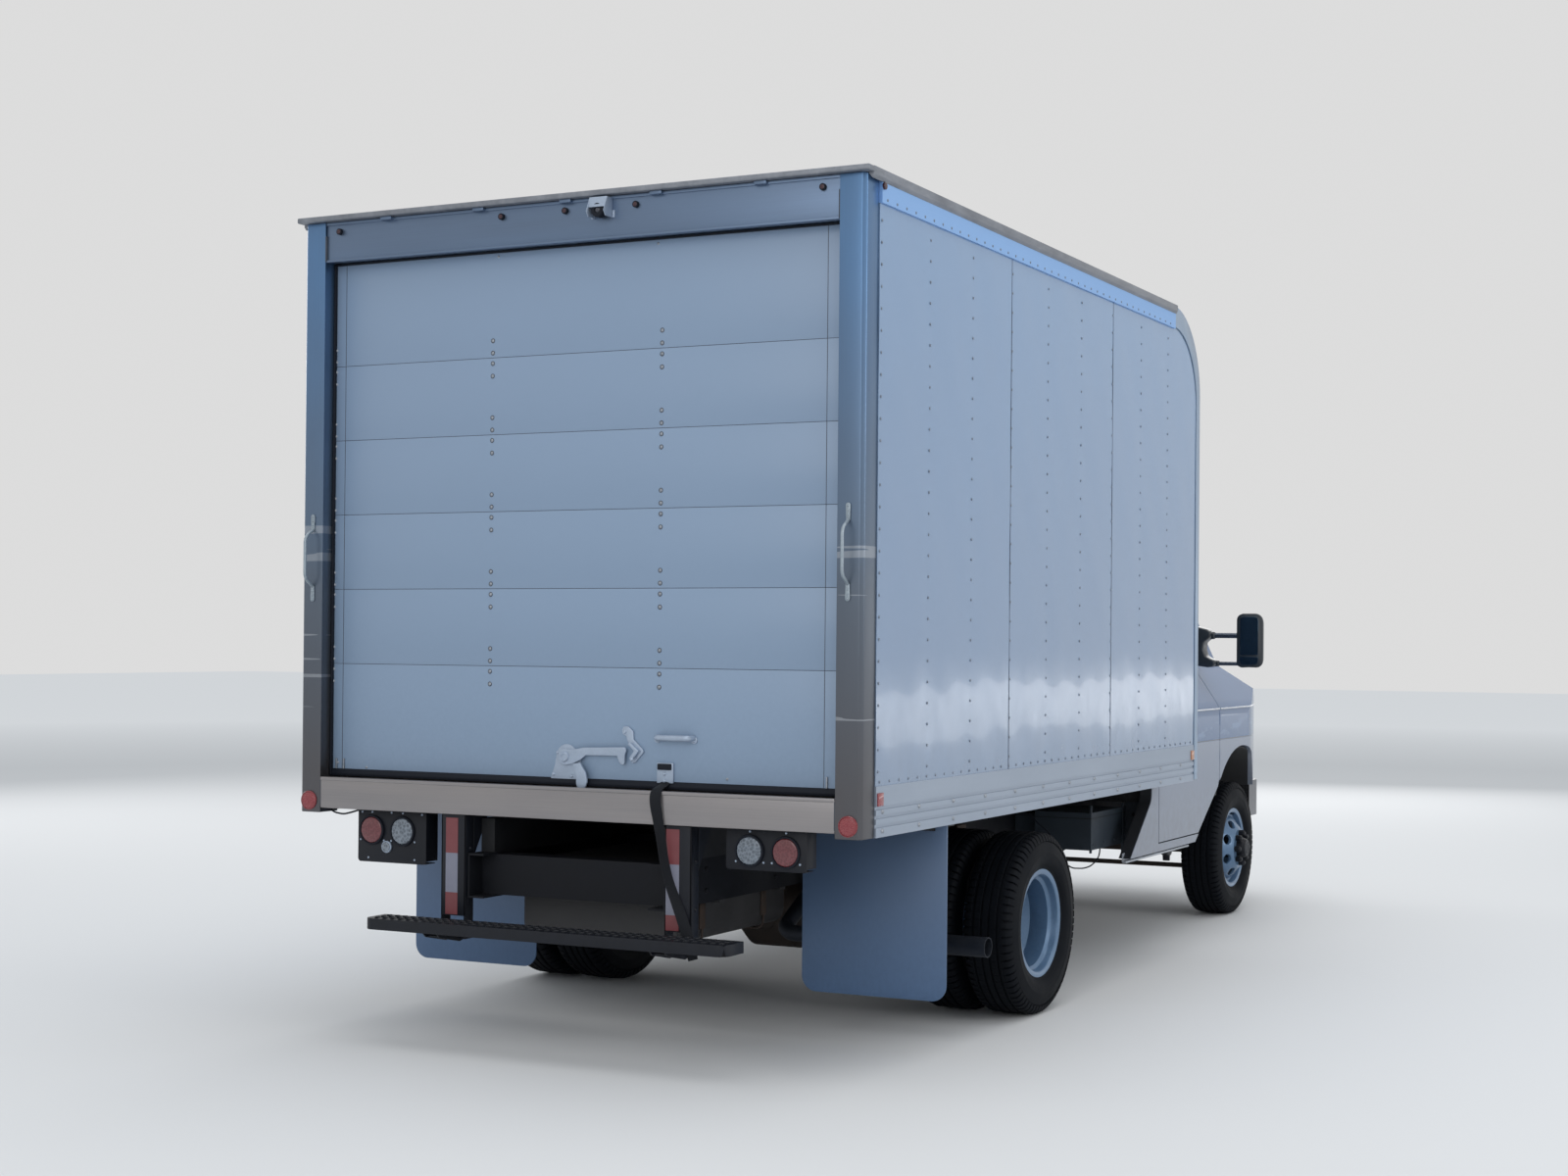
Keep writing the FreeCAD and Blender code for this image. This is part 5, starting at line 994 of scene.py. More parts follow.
grab_x, grab_low, grab_high, grab_stand = 1.162, 1.712, 1.938, 0.055
galvanised = two_tone(
    "galvanised_bar", (0.012, 4.0), (0.22, 0.27, 0.32), (0.4, 0.46, 0.5), (0.32, 0.22),
    (0.0004, 0.4), Metallic=0.6
)
grab = bar(
    "grab",
    bent(
        [
            (grab_x, rear - 0.003, grab_low + 0.004),
            (grab_x, rear - grab_stand + 0.009, grab_low + 0.034),
            (grab_x, rear - grab_stand + 0.009, grab_high - 0.034),
            (grab_x, rear - 0.003, grab_high - 0.004)
        ],
        0.022
    ),
    0.0062
)
grab_parts = [grab]
for height, side in ((grab_low, -1), (grab_high, 1)):
    centre = (grab_x, height + side * 0.046)
    tongue = [(grab_x - 0.0075, height - side * 0.004), (grab_x + 0.0075, height - side * 0.004)]
    outline = arc(centre, 0.009, 0, 180, 8) if side > 0 else arc(centre, 0.009, 180, 360, 8)
    outline += tongue if side > 0 else tongue[::-1]
    grab_parts.append(round_plate("foot", outline, "y", rear - 0.005, rear, 0.001, 2))
    for offset in (0.014, 0.03, 0.046):
        place = (grab_x, rear - 0.005, height + side * offset)
        grab_parts.append(dome("bolt", place, 0.0045, 0.004, "y", 10))
both(joined("grab_handle_right", grab_parts), galvanised, "chassis", "galvanised")


# Pull strap: a limp black webbing, 40 mm wide, from its clamp over the sill and down
# past the step. It is a flat band that twists along its route.

strap_points = [
    (0.402, 0.062, 1.056), (0.402, 0.063, 1.016), (0.403, 0.051, 1.001), (0.405, 0.022, 0.996),
    (0.407, -0.008, 0.985), (0.41, -0.022, 0.95), (0.424, -0.02, 0.885), (0.436, -0.016, 0.81),
    (0.446, -0.012, 0.735), (0.464, -0.009, 0.665), (0.492, -0.008, 0.6), (0.522, -0.007, 0.53),
    (0.548, -0.007, 0.46), (0.566, -0.007, 0.395)
]
strap_route = bpy.data.curves.new("strap_route", "CURVE")
strap_route.dimensions = "3D"
strap_route.resolution_u = 6
spline = strap_route.splines.new("NURBS")
spline.points.add(len(strap_points) - 1)
for point, (x, y, z) in zip(spline.points, strap_points):
    point.co = (x, rear + y, z, 1)
spline.order_u = 3
spline.use_endpoint_u = True
route_object = bpy.data.objects.new("strap_route", strap_route)
line = bpy.data.meshes.new_from_object(route_object)
strap_line = [vertex.co.copy() for vertex in line.vertices]
bpy.data.objects.remove(route_object)
strap_half, strap_thick = 0.0195, 0.0026
fresh()
bpy.ops.mesh.primitive_grid_add(x_subdivisions=len(strap_line) - 1, y_subdivisions=6, size=1)
strap = bpy.context.object
for vertex in strap.data.vertices:
    spot = round((vertex.co.x + 0.5) * (len(strap_line) - 1))
    share = spot / (len(strap_line) - 1)
    ahead = strap_line[min(spot + 1, len(strap_line) - 1)] - strap_line[max(spot - 1, 0)]
    twist = math.radians(70 * math.sin(math.pi * min(1, max(0, (share - 0.25) / 0.75))))
    across = Vector((math.cos(twist), math.sin(twist), 0))
    across = (across - ahead.normalized() * across.dot(ahead.normalized())).normalized()
    curl = 0.0022 * math.sin(math.pi * (vertex.co.y + 0.5)) * math.sin(share * 9)
    normal = ahead.normalized().cross(across)
    vertex.co = strap_line[spot] + across * vertex.co.y * 2 * strap_half + normal * curl
modified(strap, "SOLIDIFY", thickness=strap_thick, offset=0)
strap = smooth(settled("strap_webbing", strap), 60)
webbing = Finish("strap_webbing", Sheen_Weight=0.03, Specular_IOR_Level=0.3)
weave = webbing.noise(0.0022, 1.0, (1, 1, 0.35))
wear = webbing.noise(0.06, 3.0)
webbing.set(
    Base_Color=webbing.blend(weave * 0.6 + wear * 0.3, (0.002, 0.003, 0.005), (0.01, 0.012, 0.017)),
    Roughness=0.7 + weave * 0.2, Normal=webbing.bump(weave, 0.0006, 0.8)
)
fitted(strap, webbing, "chassis", "strap_black", "pull_strap")


# Marker lamps: small dark red lenses in rubber grommets along the header, and a round
# red reflector at the foot of each post. All are short lathe-turned domes.

# Painted shade: the red lenses are near black.
red_lens = two_tone(
    "red_lens", (0.006, 1.0), (0.028, 0.006, 0.012), (0.05, 0.012, 0.02), (0.22, 0.12),
    (0.0008, 0.5), Coat_Weight=0.3, Coat_Roughness=0.08
)


def lens(name, place, radius, height, axis="y", crown=0.3, steps=40):
    """A shallow lens with a rounded rim that looks back along -Y or out along +X."""
    rim = radius * 0.12
    sign = -1 if axis == "y" else 1
    points = [(0, 0), (0, radius), (height - rim, radius)]
    for turn in (math.pi / 8, math.pi / 4, math.pi * 3 / 8, math.pi / 2):
        points.append((height - rim + rim * math.sin(turn), radius - rim + rim * math.cos(turn)))
    points += [(height + crown * rim, radius * 0.5), (height + crown * rim * 1.4, 0)]
    return turned(name, [(sign * reach, along) for reach, along in points], place, axis, steps)


header_lamps, header_rings = [], []
for across in (-1.051, -0.293, -0.011, 0.293, 1.051):
    place = (across, rear + 0.008, 3.079)
    header_lamps.append(lens("lamp", place, 0.0085, 0.012, steps=24))
    ring_outline = [(0, 0.0085), (0, 0.012), (-0.01, 0.012), (-0.012, 0.01), (-0.012, 0.0085)]
    header_rings.append(turned("ring", ring_outline, place, "y", 24))
fitted(joined("header_lamps", header_lamps), red_lens, "chassis", "lamp_red", "marker_lamps")
fitted(joined("header_grommets", header_rings), black_rubber, "chassis", "black_plastic")
reflectors, reflector_rings = [], []
for side in (-1, 1):
    place = (side * 1.17, rear + 0.0004, 0.89)
    reflectors.append(lens("lamp", place, 0.033, 0.007))
    ring_outline = [(0, 0.033), (0, 0.0365), (-0.005, 0.0365), (-0.0066, 0.035), (-0.0066, 0.033)]
    reflector_rings.append(turned("ring", ring_outline, place, "y", 40))


def prism_lens(name, cells, dark, light, roughness, depth, coat_roughness=0.05):
    """A moulded lens whose prisms are Voronoi cells, so many of them to a metre."""
    finish = Finish(name, Coat_Weight=0.7, Coat_Roughness=coat_roughness)
    prisms = finish.add("TexVoronoi", n0=finish.place(), Scale=cells, settings={"feature": "F1"})
    return finish.set(
        Base_Color=finish.blend(prisms, dark, light), Roughness=roughness + prisms * 0.2,
        Normal=finish.bump(prisms, depth, 0.5)
    )


bright_red = prism_lens(
    "reflector_red", 260.0, (0.165, 0.012, 0.02), (0.3, 0.038, 0.045), 0.18, 0.0006
)
fitted(joined("post_reflectors", reflectors), bright_red, "chassis", "lamp_red")
fitted(joined("reflector_rims", reflector_rings), bright_red, "chassis", "lamp_red")


# Side lamps: a red marker at the rear of each top rail, and square retro-reflectors
# on the bottom rails, red at the rear and amber at the front.

amber = prism_lens("reflector_amber", 260.0, (0.3, 0.095, 0.035), (0.48, 0.2, 0.09), 0.2, 0.0006)
side_marker = lens(
    "side_marker_right", (body_half + 0.012, rear + 0.112, 3.088), 0.0125, 0.008, "x", steps=24
)
both(side_marker, red_lens, "chassis", "lamp_red")
square_out = (body_half + 0.0055, body_half + 0.0105)
side_reds = settled(
    "side_reds_right",
    round_box("square", square_out, (rear + 0.109, rear + 0.153), (0.953, 0.999), 0.002)
)
both(side_reds, bright_red, "chassis", "lamp_red")
front_square = round_box(
    "side_ambers_right", square_out, (rear + 3.553, rear + 3.599), (0.949, 0.995), 0.002
)
both(front_square, amber, "chassis", "lamp_red")


# Rear camera: a folded bright steel hood under the header's lip, open below, with a
# short dark barrel and a glass lens that looks down behind the truck.

camera_x, camera_low, camera_top = 0.152, 3.036, 3.112
hood_side = [
    (rear + 0.008, camera_low + 0.004), (rear - 0.036, camera_low + 0.004),
    (rear - 0.048, camera_low + 0.022), (rear - 0.026, camera_top), (rear + 0.008, camera_top)
]
hood_parts = []
for side in (-1, 1):
    low_x, high_x = sorted((camera_x + side * 0.038, camera_x + side * 0.0355))
    hood_parts.append(round_plate("cheek", hood_side, "x", low_x, high_x, 0.0008, 2))
cover = [
    (rear - 0.038, camera_low + 0.038), (rear - 0.026, camera_top), (rear + 0.008, camera_top),
    (rear + 0.008, camera_top - 0.002), (rear - 0.025, camera_top - 0.002),
    (rear - 0.036, camera_low + 0.037)
]
hood_parts.append(round_plate("cover", cover, "x", camera_x - 0.038, camera_x + 0.038, 0.0006, 2))
for side in (-1, 1):
    low_x, high_x = sorted((camera_x + side * 0.038, camera_x + side * 0.05))
    hood_parts.append(round_box(
        "ear", (low_x, high_x), (rear + 0.004, rear + 0.008),
        (camera_low + 0.004, camera_low + 0.03), 0.001, 2
    ))
    place = (camera_x + side * 0.044, rear + 0.004, camera_low + 0.017)
    hood_parts.append(dome("screw", place, 0.004, 0.003, "y", 10))
fitted(joined("camera_hood", hood_parts), zinc_plate, "chassis", "bright_frame")
barrel_outline = [
    (0, 0), (0, 0.026), (-0.024, 0.026), (-0.027, 0.023), (-0.027, 0.011), (-0.022, 0.01),
    (-0.022, 0)
]
barrel = turned(
    "camera_barrel", barrel_outline, (camera_x, rear - 0.008, camera_low + 0.028), "y", 32
)
fitted(barrel, black_rubber, "chassis", "black_plastic")
glass_dark = two_tone(
    "camera_glass", (0.01,), (0.01, 0.012, 0.02), (0.03, 0.035, 0.06), Coat_Weight=1.0,
    Coat_Roughness=0.02, Roughness=0.05
)
camera_lens = lens(
    "camera_lens", (camera_x, rear - 0.029, camera_low + 0.028), 0.0098, 0.003, crown=0.9, steps=24
)
fitted(camera_lens, glass_dark, "chassis", "black_plastic")


# Tail lamp boxes: black plates folded from sheet under the sill. Each holds a red stop
# lamp and a clear reversing lamp, in rubber grommets with three screws round each.

black_enamel = Finish("black_enamel", Coat_Weight=0.08, Coat_Roughness=0.2, Specular_IOR_Level=0.25)
enamel_orange = black_enamel.noise(0.004, 3.0)
enamel_dust = black_enamel.noise(0.09, 5.0, (1, 1, 1.6), 0.65)
black_enamel.set(
    Base_Color=black_enamel.blend(enamel_dust * 0.7, (0.004, 0.005, 0.008), (0.014, 0.017, 0.026)),
    Roughness=0.34 + enamel_dust * 0.3, Normal=black_enamel.bump(enamel_orange, 0.0004, 0.4)
)
box_rear, box_deep = rear + 0.06, 0.07
lamp_z = 0.783


def lamp_plate(name, low_x, high_x, low_z):
    """A folded plate: its face, its side and lower returns, and a flange on the sill."""
    face = [(low_x, 0.862), (low_x, low_z + 0.012)]
    face += arc((low_x + 0.012, low_z + 0.012), 0.012, 180, 270, 4)
    face += arc((high_x - 0.012, low_z + 0.012), 0.012, 270, 360, 4) + [(high_x, 0.862)]
    parts = [round_plate("face", face, "y", box_rear, box_rear + 0.004, 0.001, 2)]
    for x in ((low_x, low_x + 0.003), (high_x - 0.003, high_x)):
        side = box("side", x, (box_rear + 0.002, box_rear + box_deep), (low_z + 0.012, 0.862))
        parts.append(rounded(side, 0.001, 2))
    parts.append(round_box(
        "fold", (low_x + 0.012, high_x - 0.012), (box_rear + 0.002, box_rear + box_deep),
        (low_z, low_z + 0.003), 0.001, 2
    ))
    return joined(name, parts)


boxes = [lamp_plate("box_right", 0.656, 0.98, 0.715), lamp_plate("box_left", -0.98, -0.656, 0.66)]
fitted(joined("lamp_boxes", boxes), black_enamel, "chassis", "black_plastic", "tail_lamps")
stop_lenses, clear_lenses, grommets, screws = [], [], [], []
for across, lenses in (
    (0.897, stop_lenses), (-0.912, stop_lenses), (0.752, clear_lenses), (-0.766, clear_lenses)
):
    place = (across, box_rear, lamp_z)
    lenses.append(lens("lens", place, 0.05, 0.0085, steps=56))
    ring_outline = [
        (0, 0.05), (0, 0.058), (-0.006, 0.058), (-0.009, 0.056), (-0.009, 0.051), (-0.007, 0.05)
    ]
    grommets.append(turned("ring", ring_outline, place, "y", 56))
    for turn in (90, 215, 325):
        spot_x = across + 0.068 * math.cos(math.radians(turn))
        spot_z = lamp_z + 0.068 * math.sin(math.radians(turn))
        screws.append(dome("screw", (spot_x, box_rear, spot_z), 0.0045, 0.003, "y", 10))
for across, height in (
    (-0.96, 0.85), (-0.676, 0.85), (-0.93, 0.676), (-0.71, 0.676), (-0.82, 0.852)
):
    screws.append(dome("screw", (across, box_rear, height), 0.0045, 0.003, "y", 10))
fitted(joined("lamp_grommets", grommets), black_rubber, "chassis", "black_plastic")
fitted(joined("lamp_screws", screws), zinc_plate, "chassis", "galvanised")
stop_red = prism_lens(
    "stop_lens", 110.0, (0.09, 0.01, 0.014), (0.165, 0.032, 0.04), 0.16, 0.001, 0.06
)
fitted(joined("stop_lenses", stop_lenses), stop_red, "chassis", "lamp_red")
clear_lens = Finish("clear_lens", Coat_Weight=0.5, Coat_Roughness=0.04, Metallic=0.25)
diode_cells = clear_lens.add(
    "TexVoronoi", n0=clear_lens.place(), Scale=85.0, settings={"feature": "F1"}
)
diode_edges = clear_lens.add(
    "TexVoronoi", n0=clear_lens.place(), Scale=85.0, settings={"feature": "DISTANCE_TO_EDGE"}
)
clear_lens.set(
    Base_Color=clear_lens.blend(
        diode_cells * 0.8 + (diode_edges < 0.05) * 0.3, (0.065, 0.082, 0.105), (0.25, 0.29, 0.34)
    ),
    Roughness=0.12 + diode_cells * 0.3, Normal=clear_lens.bump(diode_cells, 0.002, 0.7)
)
plate_lamp = lens("plate_lamp", (-0.84, box_rear, 0.721), 0.019, 0.01, crown=1.5, steps=32)
plate_rim = [(0, 0.019), (0, 0.023), (-0.006, 0.023), (-0.008, 0.021), (-0.008, 0.019)]
rim_ring = turned("plate_lamp_rim", plate_rim, (-0.84, box_rear, 0.721), "y", 32)
fitted(rim_ring, zinc_plate, "chassis", "galvanised")
fitted(joined("clear_lenses", clear_lenses + [plate_lamp]), clear_lens, "chassis", "lamp_clear")
wire = bar(
    "lamp_wire",
    bent(
        [
            (-1.118, rear + 0.05, 0.866), (-1.09, rear + 0.045, 0.845),
            (-1.04, rear + 0.045, 0.838), (-1.000, rear + 0.05, 0.848),
            (-0.975, rear + 0.068, 0.858)
        ],
        0.018
    ),
    0.0035, 2
)
fitted(wire, black_rubber, "chassis", "black_plastic")


# Step hangers: two black channel posts from the sill down to the step, each with a
# gusset, cross bolts and a red and white reflective tape on its rear face.

under_step = 0.436
hanger_parts = []
for centre in (-0.4895, 0.49):
    hanger_sides = ((centre - 0.055, centre - 0.049), (centre + 0.049, centre + 0.055))
    for x in hanger_sides:
        hanger_parts.append(
            round_box("wall", x, (rear + 0.01, rear + 0.06), (0.4, 0.862), 0.001, 2)
        )
    hanger_parts.append(round_box(
        "face", (centre - 0.055, centre + 0.055), (rear + 0.01, rear + 0.015), (0.486, 0.862),
        0.0012, 2
    ))
    gusset = [(rear + 0.06, 0.862), (rear + 0.15, 0.862), (rear + 0.06, 0.7)]
    for x in hanger_sides:
        hanger_parts.append(round_plate("gusset", gusset, "x", *x, 0.001, 1))
    arm = [
        (rear + 0.06, under_step), (rear + 0.06, 0.404), (rear + 0.01, 0.392), (rear - 0.11, 0.418),
        (rear - 0.128, under_step)
    ]
    for x in ((centre - 0.034, centre - 0.028), (centre + 0.028, centre + 0.034)):
        hanger_parts.append(round_plate("arm", arm, "x", *x, 0.0012, 1))
    hanger_parts.append(round_box(
        "sole", (centre - 0.03, centre + 0.03), (rear - 0.1, rear + 0.05), (0.418, 0.424), 0.001, 1
    ))
fitted(joined("step_hangers", hanger_parts), black_enamel, "chassis", "black_steel", "rear_step")
tape_red = Finish("tape_red", Coat_Weight=0.3, Coat_Roughness=0.2)
tape_white = Finish("tape_white", Coat_Weight=0.3, Coat_Roughness=0.2)
for tape, dull, bright in (
    (tape_red, (0.115, 0.018, 0.024), (0.19, 0.04, 0.046)),
    (tape_white, (0.125, 0.135, 0.19), (0.215, 0.22, 0.28))
):
    tape_east, _, tape_high = tape.axes()
    lattice = abs((tape_high * 90.0 + tape_east * 90.0) % 1.0 - 0.5) < 0.06
    tape_dirt = tape.noise(0.04, 4.0)
    tape.set(
        Base_Color=tape.blend(lattice * 0.4 + tape_dirt * 0.5, bright, dull),
        Roughness=0.35 + tape_dirt * 0.25, Normal=tape.bump(tape_dirt, 0.0003, 0.3)
    )
red_tapes, white_tapes = [], []
for low_x, levels, tapes in (
    (-0.524, (0.49, 0.572, 0.719, 0.85), (red_tapes, white_tapes, red_tapes)),
    (0.44, (0.49, 0.545, 0.725, 0.85), (red_tapes, white_tapes, red_tapes))
):
    for low, high, pieces in zip(levels, levels[1:], tapes):
        pieces.append(round_box(
            "tape", (low_x, low_x + 0.055), (rear + 0.0088, rear + 0.0102), (low, high), 0.0004, 1
        ))
fitted(joined("hanger_tape_red", red_tapes), tape_red, "chassis", "lamp_red")
fitted(joined("hanger_tape_white", white_tapes), tape_white, "chassis", "lamp_clear")
hanger_bolts = []
for centre in (-0.4895, 0.49):
    for height in (0.565, 0.735):
        place = (centre + 0.055, rear + 0.04, height)
        hanger_bolts.append(dome("bolt", place, 0.008, 0.006, "x", 6))
fitted(joined("hanger_bolts", hanger_bolts), black_enamel, "chassis", "black_steel")


# Rear step: a deep folded plank of grip-strut steel. Its rear edge is a plain channel
# with rounded ends, and its top is open with rows of serrated teeth.

step_half, step_rear, step_front, step_top = 0.779, rear - 0.1495, rear - 0.0225, 0.4815


def step_outline(inset):
    """The step seen from above, with round rear corners."""
    turn = 0.04 - inset
    outline = [(step_half - inset, step_front - inset), (-step_half + inset, step_front - inset)]
    corner_y = step_rear + 0.04
    outline += arc((-step_half + 0.04, corner_y), turn, 180, 270, 8)
    outline += arc((step_half - 0.04, corner_y), turn, 270, 360, 8)
    return outline


tread = plate("rear_step_tread", step_outline(0), "z", step_top - 0.045, step_top - 0.004)
unselected(tread)
for face in tread.data.polygons:
    face.select = abs(face.normal.z) > 0.9
bpy.ops.object.mode_set(mode="EDIT")
bpy.ops.mesh.select_mode(type="FACE")
bpy.ops.mesh.inset(thickness=0.012, depth=0.0)
bpy.ops.transform.translate(value=(0, 0, 0))
bpy.ops.object.mode_set(mode="OBJECT")
for vertex in tread.data.vertices:
    inside = abs(vertex.co.x) < step_half - 0.008
    inside = inside and step_rear + 0.008 < vertex.co.y < step_front - 0.008
    if inside and vertex.co.z > step_top - 0.01:
        vertex.co.z -= 0.006
    if inside and vertex.co.z < step_top - 0.04:
        vertex.co.z += 0.03
fitted(rounded(tread, 0.003, 3), black_enamel, "chassis", "black_steel")
fresh()
bpy.ops.mesh.primitive_cylinder_add(vertices=10, radius=0.0115, depth=0.006)
tooth_ring = bpy.context.object
tooth_ring.location = (-step_half + 0.045, step_rear + 0.028, step_top - 0.007)
unselected(settled("tooth_ring"))
for face in tooth_ring.data.polygons:
    face.select = face.normal.z > 0.9
bpy.ops.object.mode_set(mode="EDIT")
bpy.ops.mesh.inset(thickness=0.0045)
bpy.ops.transform.translate(value=(0, 0, -0.006))
bpy.ops.object.mode_set(mode="OBJECT")
for spot, vertex in enumerate(tooth_ring.data.vertices):
    middle = Vector((-step_half + 0.045, step_rear + 0.028, vertex.co.z))
    outer = (vertex.co - middle).length > 0.01
    if outer and vertex.co.z > step_top - 0.006:
        vertex.co.z += 0.0035 if spot % 4 < 2 else -0.001
teeth = row(row(tooth_ring, 42, (0.0362, 0, 0)), 3, (0.0, 0.0345, 0))
fitted(smooth(teeth, 30), black_enamel, "chassis", "black_steel")
teeth.name = "step_teeth"


# Mud flaps: big white polymer sheets with round lower corners, clamped along the top
# by a steel strip with bolts. Their faces are left bare.

flap_plastic = Finish("flap_polymer", Coat_Weight=0.15, Coat_Roughness=0.3)
flap_cloud = flap_plastic.noise(0.25, 3.0)
flap_high = flap_plastic.axes()[2]
flap_dirt = flap_plastic.noise(0.02, 6.0, (1, 1, 1.6), 0.7)
flap_dirt = flap_dirt * (1 - flap_plastic.ramp(flap_high, 0.2, 0.75))
# Painted shade: the white polymer is given a dark blue, lighter towards the top.
flap_painted_shade = flap_plastic.blend(
    flap_plastic.ramp(flap_high, 0.25, 0.85) * 0.8 + flap_cloud * 0.2, (0.062, 0.13, 0.26),
    (0.1, 0.15, 0.24)
)
flap_plastic.set(
    Base_Color=flap_plastic.blend(flap_dirt * 0.5, flap_painted_shade, (0.043, 0.07, 0.11)),
    Roughness=0.36 + flap_cloud * 0.12 + flap_dirt * 0.3,
    Normal=flap_plastic.bump(flap_plastic.noise(0.12, 2.0), 0.0015, 0.4)
)
flap_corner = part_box("mud_flaps")[0]
flap_near, flap_low = flap_corner.y, flap_corner.z
flap_in, flap_out = 0.612, body_half
flap_edge = [(flap_out - 0.002, 0.845), (flap_in, 0.845), (flap_in, flap_low + 0.06)]
flap_edge += arc((flap_in + 0.06, flap_low + 0.06), 0.06, 180, 270, 8)[1:]
flap_edge += arc((flap_out - 0.062, flap_low + 0.06), 0.06, 270, 360, 8)
flap = round_plate("mud_flap_right", flap_edge, "y", flap_near, flap_near + 0.0075, 0.0018, 2)
both(flap, flap_plastic, "chassis", "flap_white", "mud_flaps")
clamps = [
    round_box(
        "clamp", (flap_in + 0.02, flap_out - 0.05), (flap_near - 0.004, flap_near), (0.82, 0.845),
        0.001, 2
    )
]
for across in (0.66, 0.79, 0.915, 1.04, 1.14):
    clamps.append(dome("bolt", (across, flap_near - 0.004, 0.832), 0.008, 0.006, "y", 6))
clamps.append(round_box(
    "angle", (flap_out - 0.06, flap_out - 0.004), (flap_near + 0.01, flap_near + 0.07),
    (0.838, 0.8445), 0.001, 2
))
both(joined("flap_clamp_right", clamps), black_enamel, "chassis", "black_steel")


# Tyres: radial truck tyres with four straight grooves, blocks along both shoulders and
# fine ridges round the sidewalls. Each section is turned, and one block is repeated.

axle_z = 0.372
rear_axle_y, front_axle_y = rear + 1.65, rear + 5.155
outer_x, inner_x, front_x = 1.12, 0.866, 0.865


def tyre_side(side):
    """One half of the section, from the crown down to the bead."""
    half = [
        (0.012, 0.3712), (0.012, 0.364), (0.02, 0.364), (0.02, 0.371), (0.047, 0.37),
        (0.047, 0.3628), (0.055, 0.3628), (0.055, 0.369), (0.074, 0.366), (0.0745, 0.36),
        (0.088, 0.3545), (0.0965, 0.344), (0.102, 0.332), (0.1035, 0.331), (0.105, 0.325),
        (0.109, 0.308), (0.1112, 0.288), (0.1116, 0.286), (0.1108, 0.283), (0.11, 0.266),
        (0.1068, 0.252), (0.1058, 0.25), (0.101, 0.24), (0.096, 0.234), (0.094, 0.2325),
        (0.0895, 0.2235), (0.0885, 0.2215), (0.086, 0.205)
    ]
    return [(side * across, radius) for across, radius in half]


def inner_side(side):
    return [(side * 0.07, 0.205), (side * 0.092, 0.262), (side * 0.094, 0.3), (side * 0.07, 0.35)]


def tyre(name, middle_x, axle_y):
    """A tyre about the axle line, with its shoulder blocks and middle ribs."""
    half_block = 0.012
    section = tyre_side(-1)[::-1] + tyre_side(1) + inner_side(1) + inner_side(-1)[::-1]
    centre = (middle_x, axle_y, axle_z)
    carcass = turned("carcass", section, centre, "x", 96)
    blocks = []
    for side in (-1, 1):
        profile = [
            (0.06, 0.367), (0.06, 0.37), (0.0745, 0.3702), (0.09, 0.365), (0.099, 0.354),
            (0.104, 0.34), (0.105, 0.334), (0.0985, 0.342), (0.076, 0.358)
        ]
        outline = [(middle_x + side * across, axle_z + radius) for across, radius in profile]
        blocks.append(
            round_plate("block", outline, "y", axle_y - half_block, axle_y + half_block, 0.0012, 1)
        )
    for low, high in ((-0.0445, -0.0225), (0.0225, 0.0445)):
        rib_x = (middle_x + low, middle_x + high)
        rib_y, rib_z = (axle_y - 0.0125, axle_y + 0.0125), (axle_z + 0.365, axle_z + 0.3716)
        blocks.append(round_box("rib", rib_x, rib_y, rib_z, 0.001, 1))
    blocks = joined("blocks", blocks)
    ring_of(blocks, 72, centre)
    return smooth(joined(name, [carcass, blocks]), 32)


def ring_of(piece, count, centre):
    """The piece repeated round an axle line across the truck."""
    fresh()
    bpy.ops.object.empty_add()
    guide = bpy.context.object
    turn = Matrix.Rotation(math.tau / count, 4, "X")
    guide.matrix_world = Matrix.Translation(centre) @ turn @ Matrix.Translation(-Vector(centre))
    bpy.context.view_layer.update()
    modified(
        piece, "ARRAY", count=count, use_relative_offset=False, use_object_offset=True,
        offset_object=guide
    )
    bpy.data.objects.remove(guide)
    return piece


tyre_rubber = Finish("tyre_rubber", Specular_IOR_Level=0.12)
rubber_cloud = tyre_rubber.noise(0.1, 5.0)
rubber_grit = tyre_rubber.noise(0.003, 3.0)
tyre_rubber.set(
    Base_Color=tyre_rubber.blend(
        rubber_cloud * 0.8 + rubber_grit * 0.1 - 0.15, (0.002, 0.003, 0.005), (0.006, 0.008, 0.012)
    ),
    Roughness=0.52 + rubber_cloud * 0.3, Normal=tyre_rubber.bump(rubber_grit, 0.0006, 0.6)
)
front_tyre = tyre("tyre_front_right_tread", front_x, front_axle_y)
both(front_tyre, tyre_rubber, "wheel_front_right", "tyre_rubber", "tyre_front_right")
rear_tyres = joined(
    "tyres_rear_right_tread",
    [
        copy_of(front_tyre, "outer", (outer_x - front_x, rear_axle_y - front_axle_y, 0)),
        copy_of(front_tyre, "inner", (inner_x - front_x, rear_axle_y - front_axle_y, 0))
    ]
)
both(rear_tyres, tyre_rubber, "wheels_rear_right", "tyre_rubber", "tyre_rear_right")


# Rims: painted steel, spun from sheet with a deep drop centre, a rolled flange and a
# disc with eight round hand holes. The twin rear rims are mounted back to back.


def barrel(centre):
    """The rolled section of a rim, from flange to flange."""
    half = [
        (0.0885, 0.2205), (0.0865, 0.2212), (0.0855, 0.219), (0.085, 0.206), (0.083, 0.203),
        (0.064, 0.203), (0.057, 0.201), (0.049, 0.188), (0.044, 0.185)
    ]
    under = [
        (0.04, 0.179), (0.047, 0.18), (0.056, 0.194), (0.062, 0.1968), (0.08, 0.1968),
        (0.085, 0.199), (0.0878, 0.205)
    ]
    outer = half + [(-across, radius) for across, radius in half[::-1]]
    inner_wall = [(-across, radius) for across, radius in under[::-1]] + under
    return turned("barrel", outer + inner_wall, centre, "x", 96)


